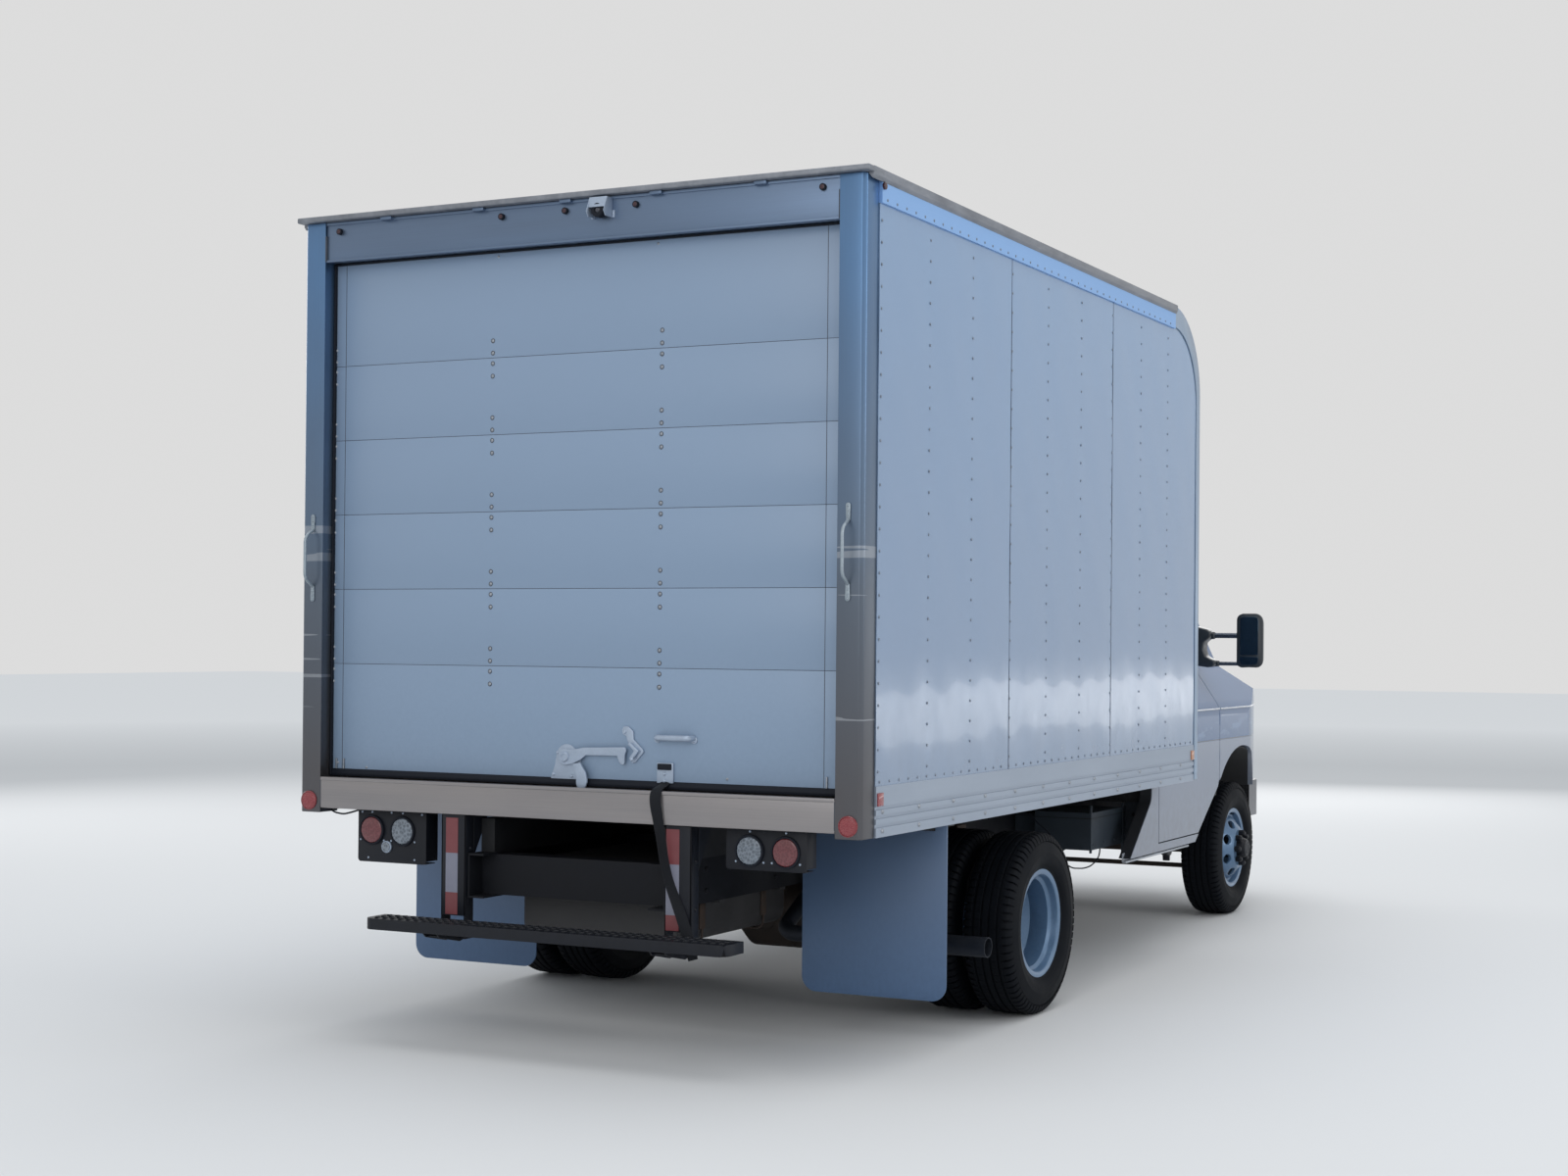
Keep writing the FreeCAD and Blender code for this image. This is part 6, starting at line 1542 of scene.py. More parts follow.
def disc(centre, face, hub_radius=0.062):
    """The dished disc with its oval hand holes, its mounting face on one side."""
    holes, hole_circle = 8, 0.142
    section = [
        (0.03, 0.1805), (0.043, 0.1805), (0.064, 0.175), (0.09, 0.155), (0.108, 0.13),
        (0.1195, 0.118), (0.127, 0.108), (0.127, hub_radius), (0.118, hub_radius), (0.118, 0.098),
        (0.11, 0.108), (0.098, 0.124), (0.08, 0.148), (0.056, 0.166)
    ]
    piece = turned("disc", [(face * across, radius) for across, radius in section], centre, "x", 96)
    fresh()
    bpy.ops.mesh.primitive_cylinder_add(
        vertices=24, radius=0.0235, depth=0.3,
        location=(centre[0], centre[1], centre[2] + hole_circle), rotation=(0, math.pi / 2, 0)
    )
    cutters = settled("cutter")
    wide, flat = 1.25, 0.85
    cutters.scale = (1, wide, flat)
    cutters.location = (0, centre[1] * (1 - wide), (centre[2] + hole_circle) * (1 - flat))
    settled("cutter", cutters)
    half_step = Matrix.Rotation(math.pi / holes, 4, "X")
    about = Matrix.Translation(centre) @ half_step @ Matrix.Translation(-Vector(centre))
    cutters.data.transform(about)
    ring_of(cutters, holes, centre)
    modified(piece, "BOOLEAN", object=cutters, operation="DIFFERENCE", solver="EXACT")
    bpy.data.objects.remove(cutters)
    return rounded(piece, 0.0012, 2, 32)


rim_paint = Finish("rim_paint", Coat_Weight=0.3, Coat_Roughness=0.15, Metallic=0.35)
rim_cloud = rim_paint.noise(0.08, 4.0)
rim_dust = rim_paint.noise(0.01, 5.0)
rim_paint.set(
    Base_Color=rim_paint.blend(
        rim_cloud * 0.6 + rim_dust * 0.4, (0.067, 0.133, 0.233), (0.129, 0.221, 0.35)
    ),
    Roughness=0.26 + rim_dust * 0.22, Normal=rim_paint.bump(rim_dust, 0.0003, 0.4)
)
front_centre = (front_x, front_axle_y, axle_z)
front_rim = joined("rim_front_right_steel", [barrel(front_centre), disc(front_centre, 1)])
both(front_rim, rim_paint, "wheel_front_right", "rim_paint", "rim_front_right")
outer_centre = (outer_x, rear_axle_y, axle_z)
inner_centre = (inner_x, rear_axle_y, axle_z)
rear_rims = [
    barrel(outer_centre), disc(outer_centre, -1), barrel(inner_centre), disc(inner_centre, 1)
]
rear_rims = joined("rims_rear_right_steel", rear_rims)
both(rear_rims, rim_paint, "wheels_rear_right", "rim_paint", "rim_rear_right")


# Hubs: cast hubs with eight wheel nuts on studs. The front nuts and hub caps are
# black and stand out, and the rear axle shaft's flange closes each rear hub.


def nuts(centre_x, axle_y, face, radius=0.0165, height=0.03):
    """Eight hexagon nuts with round ends, on the bolt circle."""
    points = [
        (0, 0), (0, radius), (face * height * 0.7, radius), (face * height * 0.9, radius * 0.8),
        (face * height, radius * 0.5), (face * height, 0)
    ]
    nut = turned("nut", points, (centre_x, axle_y, axle_z + 0.0826), "x", 6)
    return ring_of(smooth(nut, 20), 8, (centre_x, axle_y, axle_z))


cast_iron = Finish("cast_iron", Metallic=0.3)
iron_grain = cast_iron.noise(0.006, 4.0)
iron_rust = cast_iron.noise(0.07, 5.0, roughness=0.7)
cast_iron.set(
    Base_Color=cast_iron.blend(iron_rust * 0.9 - 0.1, (0.018, 0.02, 0.024), (0.085, 0.062, 0.048)),
    Roughness=0.55 + iron_grain * 0.3, Normal=cast_iron.bump(iron_grain, 0.001, 0.7)
)
hub_face = front_x + 0.127
hub = [
    (-0.11, 0.0285), (-0.11, 0.058), (-0.03, 0.058), (-0.026, 0.096), (-0.0095, 0.096),
    (-0.0095, 0.058), (0.02, 0.056), (0.034, 0.052), (0.046, 0.046), (0.0475, 0.034),
    (0.044, 0.0285)
]
front_hub = turned("hub", hub, (hub_face, front_axle_y, axle_z), "x", 48)
hub_cap = [(0.0435, 0), (0.0435, 0.029), (0.047, 0.028), (0.0478, 0.02), (0.046, 0.018), (0.046, 0)]
cap = turned("cap", hub_cap, (hub_face, front_axle_y, axle_z), "x", 32)
front_nuts = nuts(hub_face, front_axle_y, 1, 0.017, 0.036)
front_hub = joined("hub_front_right", [front_hub, cap, front_nuts])
both(front_hub, black_enamel, "wheel_front_right", "cast_metal")
rear_face_x = outer_x - 0.127
hub = [
    (-0.11, 0.0505), (-0.11, 0.075), (-0.03, 0.076), (-0.024, 0.096), (-0.0095, 0.096),
    (-0.0095, 0.056), (0.03, 0.055), (0.034, 0.062), (0.046, 0.062), (0.049, 0.058), (0.05, 0.03),
    (0.06, 0.026), (0.062, 0.0), (-0.038, 0.0), (-0.038, 0.0505)
]
rear_hub = turned("hub", hub, (rear_face_x, rear_axle_y, axle_z), "x", 48)
flange_bolts = dome(
    "bolt", (rear_face_x + 0.048, rear_axle_y, axle_z + 0.045), 0.0065, 0.005, "x", 6
)
ring_of(flange_bolts, 8, (rear_face_x, rear_axle_y, axle_z))
rear_nuts = nuts(rear_face_x, rear_axle_y, 1, 0.0155, 0.026)
rear_hub = joined("hub_rear_right", [rear_hub, flange_bolts, rear_nuts])
both(rear_hub, cast_iron, "wheels_rear_right", "cast_metal")
stem_points = [(0.0, 0.0), (0.0, 0.006), (0.022, 0.004), (0.036, 0.004), (0.037, 0.0)]
stem = turned(
    "valve_front_right", stem_points, (front_x + 0.06, front_axle_y, axle_z + 0.19), "x", 12
)
both(stem, black_rubber, "wheel_front_right", "black_plastic")


# Frame rails and crossmembers: pressed steel channels under black wax, dusty where the
# road throws dirt. The CAD channels keep their shape; rows of frame bolts are added.

frame_black = two_tone(
    "frame_wax", (0.09, 6.0), (0.002, 0.003, 0.005), (0.012, 0.013, 0.018), (0.42, 0.4),
    (0.0008, 0.6), Metallic=0.15, Specular_IOR_Level=0.25
)
dress(frame_black, "frame_rail_right", "frame_rail_left", "crossmembers")
frame_bolts = []
for height in (0.6, 0.68):
    bolt = dome("bolt", (0.43, rear + 0.3, height), 0.011, 0.008, sides=6)
    frame_bolts.append(row(bolt, 10, (0, 0.52, 0)))
both(joined("frame_bolts_right", frame_bolts), frame_black, "chassis", "black_steel")


# Load floor: oak boards glued edge to edge inside, black undercoat on the cross sills
# and on everything below the boards.

floor_finish = Finish("load_floor")
floor_east, floor_north, floor_high = floor_finish.axes()
board = abs((floor_east / 0.072) % 1.0 - 0.5)
grain = floor_finish.noise(0.006, 6.0, (1, 40, 1))
tone = floor_finish.noise(0.35, 1.0, (0.21, 3, 1))
oak = floor_finish.blend(tone * 0.6 + grain * 0.4, (0.165, 0.085, 0.04), (0.33, 0.2, 0.105))
oak = floor_finish.blend(board > 0.488, oak, (0.03, 0.016, 0.009))
below = floor_high < 0.98
undercoat = floor_finish.noise(0.05, 5.0)
floor_finish.set(
    Base_Color=floor_finish.blend(
        below, oak, floor_finish.blend(undercoat, (0.003, 0.004, 0.006), (0.01, 0.011, 0.014))
    ),
    Roughness=0.5 + undercoat * 0.3,
    Normal=floor_finish.bump(grain * (1 - below) + undercoat * below, 0.0006, 0.5)
)
dress(floor_finish, "load_floor")


# Leaf springs: five curved leaves a side under a clamp plate, with U-bolts round the
# axle, rolled eyes and a shackle at each end.

spring_steel = two_tone(
    "spring_steel", (0.03, 6.0), (0.02, 0.018, 0.018), (0.085, 0.055, 0.04), (0.55, 0.3),
    (0.0008, 0.7), Metallic=0.4
)
spring_parts = []
for leaf in range(5):
    half = 0.625 - 0.11 * leaf
    steps = [half * (step / 8 - 1) for step in range(17)]
    line = [(rear_axle_y + along, 0.473 + 0.175 * along**2 - 0.0125 * leaf) for along in steps]
    outline = line + [(along, high - 0.011) for along, high in reversed(line)]
    spring_parts.append(round_plate("leaf", outline, "x", 0.484, 0.556, 0.002, 2))
for along in (-0.625, 0.625):
    eye = [(-0.04, 0.012), (0.04, 0.012), (0.04, 0.027), (-0.04, 0.027)]
    place = (0.52, rear_axle_y + along, 0.536)
    spring_parts.append(turned("eye", eye, place, "x", 24))
    hanger = [(rear_axle_y + along + side, high) for side, high in ((-0.05, 0.7), (-0.022, 0.512))]
    hanger += [(rear_axle_y + along + side, high) for side, high in ((0.022, 0.512), (0.05, 0.7))]
    for near in (0.469, 0.5605):
        spring_parts.append(round_plate("shackle", hanger, "x", near, near + 0.01, 0.003, 2))
    spring_parts.append(round_box(
        "brace", (0.43, 0.571), [rear_axle_y + along + side for side in (-0.04, 0.04)],
        (0.655, 0.7), 0.004, 2
    ))
    bolt = [(-0.062, 0.0), (-0.062, 0.014), (0.062, 0.014), (0.062, 0.0)]
    spring_parts.append(turned("bolt", bolt, place, "x", 12))
for along in (-0.058, 0.058):
    loop = [(0.478, 0.4), (0.478, 0.5), (0.482, 0.507), (0.558, 0.507), (0.562, 0.5), (0.562, 0.4)]
    loop = [(x, rear_axle_y + along, z) for x, z in loop]
    spring_parts.append(bar("u_bolt", bent(loop, 0.005, 3), 0.007, 2))
for low in (0.4, 0.486):
    spring_parts.append(round_box(
        "clamp", (0.47, 0.57), (rear_axle_y - 0.085, rear_axle_y + 0.085), (low, low + 0.012),
        0.003, 2
    ))
spring_parts.append(round_box(
    "bump_stop", (0.492, 0.548), (rear_axle_y - 0.03, rear_axle_y + 0.03), (0.498, 0.56), 0.012, 3
))


# Front coils: one wound bar a side between the axle beam's cup and the frame's seat.

coil_turns, coil_low, coil_high = 6.5, 0.428, 0.706
coil_path = []
for step in range(int(coil_turns * 20) + 1):
    share = step / (coil_turns * 20)
    turn = math.tau * coil_turns * share
    end = min(share, 1 - share) * coil_turns
    height = coil_low + (coil_high - coil_low) * share
    if end < 1:
        height += (0.5 - share) * 0.03 * (1 - end)
    coil_path.append((0.56 + 0.052 * math.cos(turn), front_axle_y + 0.052 * math.sin(turn), height))
spring_parts.append(bar("coil", coil_path, 0.0085, 3))
for low, high, radius in ((0.414, 0.424, 0.062), (0.712, 0.72, 0.062)):
    cup = [(0.0, 0.0), (0.0, radius), (high - low, radius), (high - low, 0.0)]
    cup = turned("cup", cup, (0, 0, 0), "x", 36)
    cup.data.transform(
        Matrix.Translation((0.56, front_axle_y, low)) @ Matrix.Rotation(-math.pi / 2, 4, "Y")
    )
    spring_parts.append(cup)
both(joined("springs_right", spring_parts), spring_steel, "chassis", "black_steel", "springs")


# Axles: the CAD housing, crossing beams, knuckles and tie rod in dark, sandy and a
# little rusty iron, and a bolted cover at the back of the rear housing.

axle_iron = two_tone(
    "axle_iron", (0.12, 4.0), (0.016, 0.016, 0.018), (0.075, 0.055, 0.042), (0.55, 0.25),
    (0.0006, 0.6), (0.006, 4.0), Metallic=0.35
)
dress(axle_iron, "rear_axle", "front_axle_beams", "knuckle_right", "knuckle_left", "tie_rod")
cover_parts = []
cover = [
    (0.0, 0.0), (0.0, 0.112), (0.012, 0.112), (0.02, 0.098), (0.046, 0.08), (0.058, 0.045),
    (0.06, 0.0)
]
cover = [(-0.118 - along, radius) for along, radius in cover]
cover_parts.append(turned("cover", cover, (0, rear_axle_y, axle_z), "y", 40))
for step in range(10):
    turn = math.tau * step / 10
    place = (0.104 * math.cos(turn), rear_axle_y - 0.13, axle_z + 0.104 * math.sin(turn))
    cover_parts.append(dome("bolt", place, 0.009, 0.008, "y", 6))
fitted(joined("axle_cover", cover_parts), axle_iron, "chassis", "cast_metal")


# Engine and gearbox: one cast block with a sump, valve covers, intake runners and
# pulleys; the gearbox has ribs and a pan, and the shaft has round joints.

engine_metal = two_tone(
    "engine_cast", (0.15, 4.0), (0.06, 0.058, 0.055), (0.21, 0.212, 0.215), (0.38, 0.3),
    (0.0005, 0.5), (0.005, 3.0), Metallic=0.6
)
dress(engine_metal, "gearbox_and_shaft")
engine_parts = []
for x, y, z, edge in (
    ((-0.255, 0.255), (4.735, 5.35), (0.56, 0.86), 0.03),
    ((-0.215, 0.215), (4.8, 5.3), (0.442, 0.57), 0.05),
    ((-0.11, 0.11), (4.8, 5.25), (0.85, 1.038), 0.04),
    ((-0.423, 0.423), (5.03, 5.1), (0.564, 0.632), 0.012),
    ((-0.07, 0.07), (5.25, 5.35), (0.88, 1.000), 0.03)
):
    engine_parts.append(round_box("part", x, (rear + y[0], rear + y[1]), z, edge, 4))
for side in (-1, 1):
    bank = [(side * 0.11, 0.845), (side * 0.285, 0.845), (side * 0.27, 0.96), (side * 0.15, 1.01)]
    engine_parts.append(round_plate("bank", bank, "y", rear + 4.76, rear + 5.3, 0.02, 4))
    runner = round_box(
        "runner", (side * 0.05, side * 0.19), (rear + 4.84, rear + 4.9), (0.98, 1.03), 0.02, 4
    )
    engine_parts.append(row(runner, 4, (0, 0.115, 0)))
pulley = [
    (0.0, 0.0), (0.0, 0.085), (0.008, 0.085), (0.014, 0.07), (0.02, 0.085), (0.028, 0.085),
    (0.028, 0.0)
]
for x, z, size in ((0.0, 0.62, 1.0), (0.0, 0.8, 0.8), (0.19, 0.76, 0.6), (-0.19, 0.76, 0.6)):
    wheel = [(along - 0.024, radius * size) for along, radius in pulley]
    engine_parts.append(turned("pulley", wheel, (x, rear + 5.352, z), "y", 40))
fitted(joined("engine_block", engine_parts), engine_metal, "chassis", "cast_metal", "engine")
shaft_parts = []
for centre, size in ((3.93, 0.064), (3.05, 0.06), (1.955, 0.064)):
    collar = [
        (-0.045, 0.0), (-0.045, size), (-0.03, size + 0.008), (0.03, size + 0.008), (0.045, size),
        (0.045, 0.0)
    ]
    shaft_parts.append(turned("joint", collar, (0, rear + centre, 0.43), "y", 24))
for centre, size in ((3.99, 0.124), (4.3, 0.126), (4.52, 0.196), (4.7, 0.2)):
    rib = [(-0.012, 0.1), (-0.012, size), (0.012, size), (0.012, 0.1)]
    shaft_parts.append(turned("rib", rib, (0, rear + centre, 0.52), "y", 48))
pan = round_box("pan", (-0.115, 0.115), (rear + 4.02, rear + 4.42), (0.385, 0.44), 0.018, 3)
fitted(joined("gearbox_ribs", shaft_parts + [pan]), engine_metal, "chassis", "cast_metal")


# Fuel tank and radiator: a blow-moulded black tank under two steel straps, and an
# aluminium core of fine fins between crimped tanks.

tank_black = two_tone(
    "tank_plastic", (0.2, 4.0), (0.01, 0.01, 0.012), (0.035, 0.035, 0.037), (0.5, 0.25),
    (0.0004, 0.5), (0.004, 3.0)
)
dress(tank_black, "fuel_tank")
strap_parts = []
for near in (0.4, 0.86):
    strap_parts.append(round_box(
        "low", (-0.3, 0.3), (rear + near, rear + near + 0.04), (0.3845, 0.3895), 0.0012, 2
    ))
    for side in (-1, 1):
        strap_parts.append(round_box(
            "edge", sorted((side * 0.3405, side * 0.3455)), (rear + near, rear + near + 0.04),
            (0.44, 0.555), 0.0012, 2
        ))
        turn = [
            (side * 0.2995, rear + near + 0.02, 0.387), (side * 0.342, rear + near + 0.02, 0.387),
            (side * 0.343, rear + near + 0.02, 0.442)
        ]
        strap_parts.append(bar("turn", bent(turn, 0.035, 5), 0.0045, 2))
fitted(joined("tank_straps", strap_parts), spring_steel, "chassis", "black_steel")
core = Finish("radiator_core", Metallic=0.7)
core_east, _, core_high = core.axes()
fins = abs((core_high / 0.004) % 1.0 - 0.5)
tubes = abs((core_east / 0.012) % 1.0 - 0.5) < 0.14
core_edge = ((abs(core_east) > 0.355) + (core_high > 1.03) + (core_high < 0.66)) > 0.5
core.set(
    Base_Color=core.blend(
        core_edge, core.blend(tubes, (0.12, 0.12, 0.125), (0.34, 0.345, 0.35)),
        (0.012, 0.012, 0.013)
    ),
    Roughness=0.42, Normal=core.bump((fins + tubes) * (1 - core_edge), 0.0012, 0.6)
)
dress(core, "radiator")


# Exhaust: heat-stained steel. Rolled seams on the muffler, clamps on the pipe, and a
# collar at the tail pipe's end behind the right rear wheels.

pipe_steel = two_tone(
    "exhaust_steel", (0.1, 5.0), (0.012, 0.018, 0.03), (0.04, 0.044, 0.055), (0.4, 0.35),
    (0.0006, 0.6), Metallic=0.65
)
dress(pipe_steel, "exhaust")
seam_parts = []
for along in (2.355, 2.945, 2.52, 2.78):
    rim_of_can = [(-0.008, 0.1), (-0.008, 0.1075), (0.008, 0.1075), (0.008, 0.1)]
    seam_parts.append(turned("seam", rim_of_can, (0.25, rear + along, 0.44), "y", 48))
clamp_band = [(-0.012, 0.03), (-0.012, 0.0365), (0.012, 0.0365), (0.012, 0.03)]
for along in (2.3, 3.000, 3.6):
    seam_parts.append(turned("clamp", clamp_band, (0.25, rear + along, 0.44), "y", 32))
collar = [(-0.008, 0.036), (-0.008, 0.0415), (0.008, 0.0415), (0.008, 0.036)]
seam_parts.append(turned("collar", collar, (0.8, rear + 1.1, 0.342), "x", 32))
fitted(joined("exhaust_clamps", seam_parts), pipe_steel, "chassis", "cast_metal")


# Battery box: a primed steel box with a lid line and bolts, its two posts and foot,
# and a loop of black wire under it.

primer = Finish("primer_grey")
primer_mist = primer.noise(0.07, 5.0)
primer_high = primer.axes()[2]
lid_line = abs(primer_high - 0.672) < 0.002
primer.set(
    Base_Color=primer.blend(
        lid_line, primer.blend(primer_mist, (0.016, 0.025, 0.036), (0.036, 0.05, 0.068)),
        (0.004, 0.005, 0.006)
    ),
    Roughness=0.45 + primer_mist * 0.3, Normal=primer.bump(primer_mist, 0.0006, 0.4)
)
dress(primer, "battery_box")
box_parts = []
for along, low, high in ((3.615, 0.47, 0.72), (3.168, 0.505, 0.735)):
    box_parts.append(round_box(
        "post", (0.842, 0.853), (rear + along, rear + along + 0.012), (low, high), 0.002, 2
    ))
foot = [(rear + 3.63, 0.519), (rear + 3.645, 0.448), (rear + 3.84, 0.462), (rear + 3.9, 0.53)]
box_parts.append(round_plate("foot", foot, "x", 0.842, 0.849, 0.002, 2))
for along in (3.2, 3.35, 3.5):
    box_parts.append(dome("bolt", (0.85, rear + along, 0.545), 0.008, 0.005, "x", 6))
fitted(joined("battery_box_trim", box_parts), primer, "chassis", "primer_grey")
wire_path = [
    (0.78, 3.476, 0.53), (0.782, 3.482, 0.48), (0.78, 3.445, 0.446), (0.78, 3.356, 0.424),
    (0.775, 3.271, 0.42), (0.765, 3.15, 0.432), (0.75, 3.05, 0.47), (0.72, 2.99, 0.6),
    (0.6, 2.98, 0.7)
]
wire_path = [(x, rear + y, z) for x, y, z in wire_path]
wire = bar("battery_wire", bent(wire_path, 0.03, 4), 0.0035, 2)
fitted(wire, black_rubber, "chassis", "black_plastic")


# Cab panels: white enamel on pressed steel. Above the body crease it is a dark
# blue-grey, painted shade that lightens upwards as a painted sky reflection, and below
# the crease it is pale, a painted reflection of the ground. Inside, on the rear edge of
# the side, and past the lips of the wheel arches, it is near black: painted shade.

cab_paint = Finish("cab_enamel", Coat_Weight=0.3, Coat_Roughness=0.03, Specular_IOR_Level=0.35)
cab_east, cab_north, cab_high = cab_paint.axes()
cab_ahead = cab_north - rear
cab_side = abs(cab_east)
lower_lean = cab_high.maths("MINIMUM", 1.007, 1.007 - (cab_high - 1.17) * 0.683)
upright = cab_high.maths("MAXIMUM", lower_lean, 0.85 - (cab_high - 1.4) * 0.1606)
tapered = cab_high.maths(
    "MINIMUM", 1.007 - (cab_ahead - 5.33) * 0.265, 0.885 - (cab_ahead - 5.79) * 1.444
)
beside = cab_high.maths("MINIMUM", upright, tapered) - cab_side
screen_top = cab_high.maths(
    "MAXIMUM", 2.085 - (cab_ahead - 4.5) * 1.03, 1.4 - (cab_ahead - 5.165) * 0.3386
)
screen_top = cab_high.maths("MINIMUM", 2.085, screen_top)
under = (cab_high.maths("MINIMUM", screen_top, 1.185 - (cab_ahead - 5.8) * 0.84) - cab_high) * 0.7
depth = cab_high.maths("MINIMUM", cab_high.maths("MINIMUM", beside, under), 5.925 - cab_ahead)
# Painted shade: near black deeper than 30 mm inside the panels' outer faces, and on the rear edge
# of the side below 0.86 m.
tail_edge = (cab_ahead < 3.668) * (cab_high < 0.86) * (beside > 0.004)
shaded_inside = ((depth > 0.03) + tail_edge) > 0.5
# Painted shade: a dark line in the crease at 1 m.
crease = abs(cab_high - 0.999) < 0.0025
# Painted shade and reflections: above the crease a dark blue-grey that lightens upwards, a painted
# sky reflection; below it pale, a painted reflection of the ground.
upper = cab_paint.ramp(cab_high, 0.99, 1.003)
painted_sky_tone = cab_paint.noise(0.7, 2.0) * 0.5 + cab_paint.ramp(cab_high, 1.0, 1.5) * 0.5
grime = cab_paint.noise(0.05, 5.0) * (1 - cab_paint.ramp(cab_high, 0.55, 0.85))
enamel = cab_paint.blend(
    upper, cab_paint.blend(grime * 0.7, (0.215, 0.25, 0.32), (0.13, 0.14, 0.16)),
    cab_paint.blend(painted_sky_tone, (0.065, 0.125, 0.24), (0.09, 0.155, 0.29))
)
# Painted reflection: pale blue blotches just above the crease.
reflection_breakup = cab_paint.ramp(cab_paint.noise(0.11, 3.0, (1, 1.6, 0.5)), 0.52, 0.6)
belt_painted_reflection = cab_paint.ramp(cab_high, 1.01, 1.03) * (1 - cab_paint.ramp(cab_high, 1.07, 1.12))
enamel = cab_paint.blend(reflection_breakup * belt_painted_reflection * 0.28, enamel, (0.24, 0.36, 0.55))
enamel = cab_paint.blend(crease, enamel, (0.05, 0.065, 0.095))
orange_peel = cab_paint.noise(0.012, 2.0)
cab_paint.set(
    Base_Color=cab_paint.blend(shaded_inside, enamel, (0.03, 0.032, 0.037)),
    Roughness=0.22 + shaded_inside * 0.4, Normal=cab_paint.bump(orange_peel, 0.00012, 0.35)
)
dress(
    cab_paint, "cab_sides", "cab_roof", "front_fenders", "front_panel", "bonnet", "cab_door_right",
    "cab_door_left"
)


def cab_side_x(height):
    """How far out the cab side is at a height."""
    lower = min(1.007, 1.007 - (height - 1.17) * 0.683)
    return max(lower, 0.85 - (height - 1.4) * 0.1606)


# Belt bead and door furniture: a pressed line along door and fender, pale as a painted
# highlight, a pull handle in its cup, the lock, and a rubber frame round each window.

# The bead's enamel is much paler than the cab's: a painted highlight.
bead_highlight = two_tone(
    "bead_enamel", (0.4, 2.0), (0.28, 0.33, 0.4), (0.36, 0.42, 0.5), (0.2, 0.1), Coat_Weight=0.9,
    Coat_Roughness=0.05
)
fender_line = [
    (1.0065, 4.74), (1.0065, 5.255), (1.000, 5.35), (0.976, 5.44), (0.95, 5.54), (0.924, 5.64),
    (0.897, 5.74)
]
trim_black = two_tone(
    "trim_rubber", (0.03, 4.0), (0.005, 0.007, 0.011), (0.016, 0.02, 0.028), (0.38, 0.3),
    (0.0003, 0.4)
)
ring = [(3.862, 1.6), (3.862, 1.437), (4.556, 1.437), (4.424, 1.918), (3.862, 1.918), (3.862, 1.6)]
for hand, body in (("right", "door_right"), ("left", "door_left")):
    side = 1 if hand == "right" else -1
    bead = bar("bead", [(side * 1.0065, rear + y, 1.166) for y in (3.726, 4.1, 4.72)], 0.0045, 2)
    bead.name = "door_bead_" + hand
    fitted(bead, bead_highlight, body, "white_paint")
    bead = bar(
        "bead", bent([(side * x, rear + y, 1.166) for x, y in fender_line], 0.04, 3), 0.0045, 2
    )
    bead.name = "fender_bead_" + hand
    fitted(bead, bead_highlight, "chassis", "white_paint")
    frame_path = [(side * (cab_side_x(z) - 0.001), rear + y, z) for y, z in ring]
    frame_bar = bar("frame", bent(frame_path, 0.04, 5), 0.0085, 2)
    cup = round_box(
        "cup", sorted((side * 0.992, side * 1.0082)), (rear + 3.79, rear + 3.935), (1.07, 1.118),
        0.004, 3
    )
    grip_bar = round_box(
        "grip", sorted((side * 1.004, side * 1.02)), (rear + 3.8, rear + 3.925), (1.086, 1.106),
        0.006, 3
    )
    lock = dome("lock", (1.007, rear + 3.965, 1.095), 0.011, 0.004, "x", 16)
    if side < 0:
        lock.data.transform(Matrix.Scale(-1, 4, (1, 0, 0)))
        lock.data.flip_normals()
    furniture = joined("door_furniture_" + hand, [frame_bar, cup, grip_bar, lock])
    fitted(furniture, trim_black, body, "black_plastic")


# Arch liners: a black moulded plastic skin inside each front wheel arch, which also
# closes the space behind the wheel.

liner_black = two_tone(
    "liner_plastic", (0.12, 5.0), (0.002, 0.003, 0.004), (0.012, 0.013, 0.016), relief=(0.001, 0.5),
    Roughness=0.7
)
axle_ahead = front_axle_y - rear
outer_line = [(4.335, 0.478), (4.66, 0.698), (4.732, 0.706)]
outer_line += arc((axle_ahead, axle_z), 0.572, 134, 35, 22)
inner_line = arc((axle_ahead, axle_z), 0.564, 35, 134, 22)
inner_line += [(4.74, 0.694), (4.663, 0.688), (4.338, 0.468)]
liner = [(rear + y, z) for y, z in outer_line + inner_line]
liner = plate("arch_liner_right", liner, "x", 0.63, 0.984)
for vertex in liner.data.vertices:
    past = vertex.co.y - rear - 5.33
    if past > 0 and vertex.co.x > 0.8:
        vertex.co.x = 0.984 - past * 0.29
smooth(liner, 40)
both(liner, liner_black, "chassis", "black_plastic")


# Sill flange: a bright strip along the foot of the cab side, a second pale one under
# it, and the black jacking bracket behind the front wheel.

sill_strip = two_tone(
    "sill_strip", (0.03, 5.0, (1, 8, 1)), (0.3, 0.33, 0.37), (0.5, 0.53, 0.58), (0.3, 0.3),
    Metallic=0.3
)
strip_parts = []
for line, low in (((3.33, 4.29), 0.4775), ((3.3, 4.27), 0.452)):
    strip_parts.append(round_box(
        "strip", (0.962, 1.0065 if low > 0.46 else 0.985), (rear + line[0], rear + line[1]),
        (low, low + 0.012), 0.004, 3
    ))
web = round_box("web", (0.962, 0.968), (rear + 3.3, rear + 4.27), (0.455, 0.5), 0.001, 1)
both(joined("sill_strip_right", strip_parts + [web]), sill_strip, "chassis", "white_paint")
jack = [
    (3.95, 0.455), (4.06, 0.455), (4.04, 0.43), (4.02, 0.425), (4.016, 0.4), (4.006, 0.4),
    (4.000, 0.428), (3.975, 0.436)
]
jack = round_plate(
    "jacking_bracket_right", [(rear + y, z) for y, z in jack], "x", 0.93, 0.966, 0.002, 2
)
both(jack, black_enamel, "chassis", "black_steel")


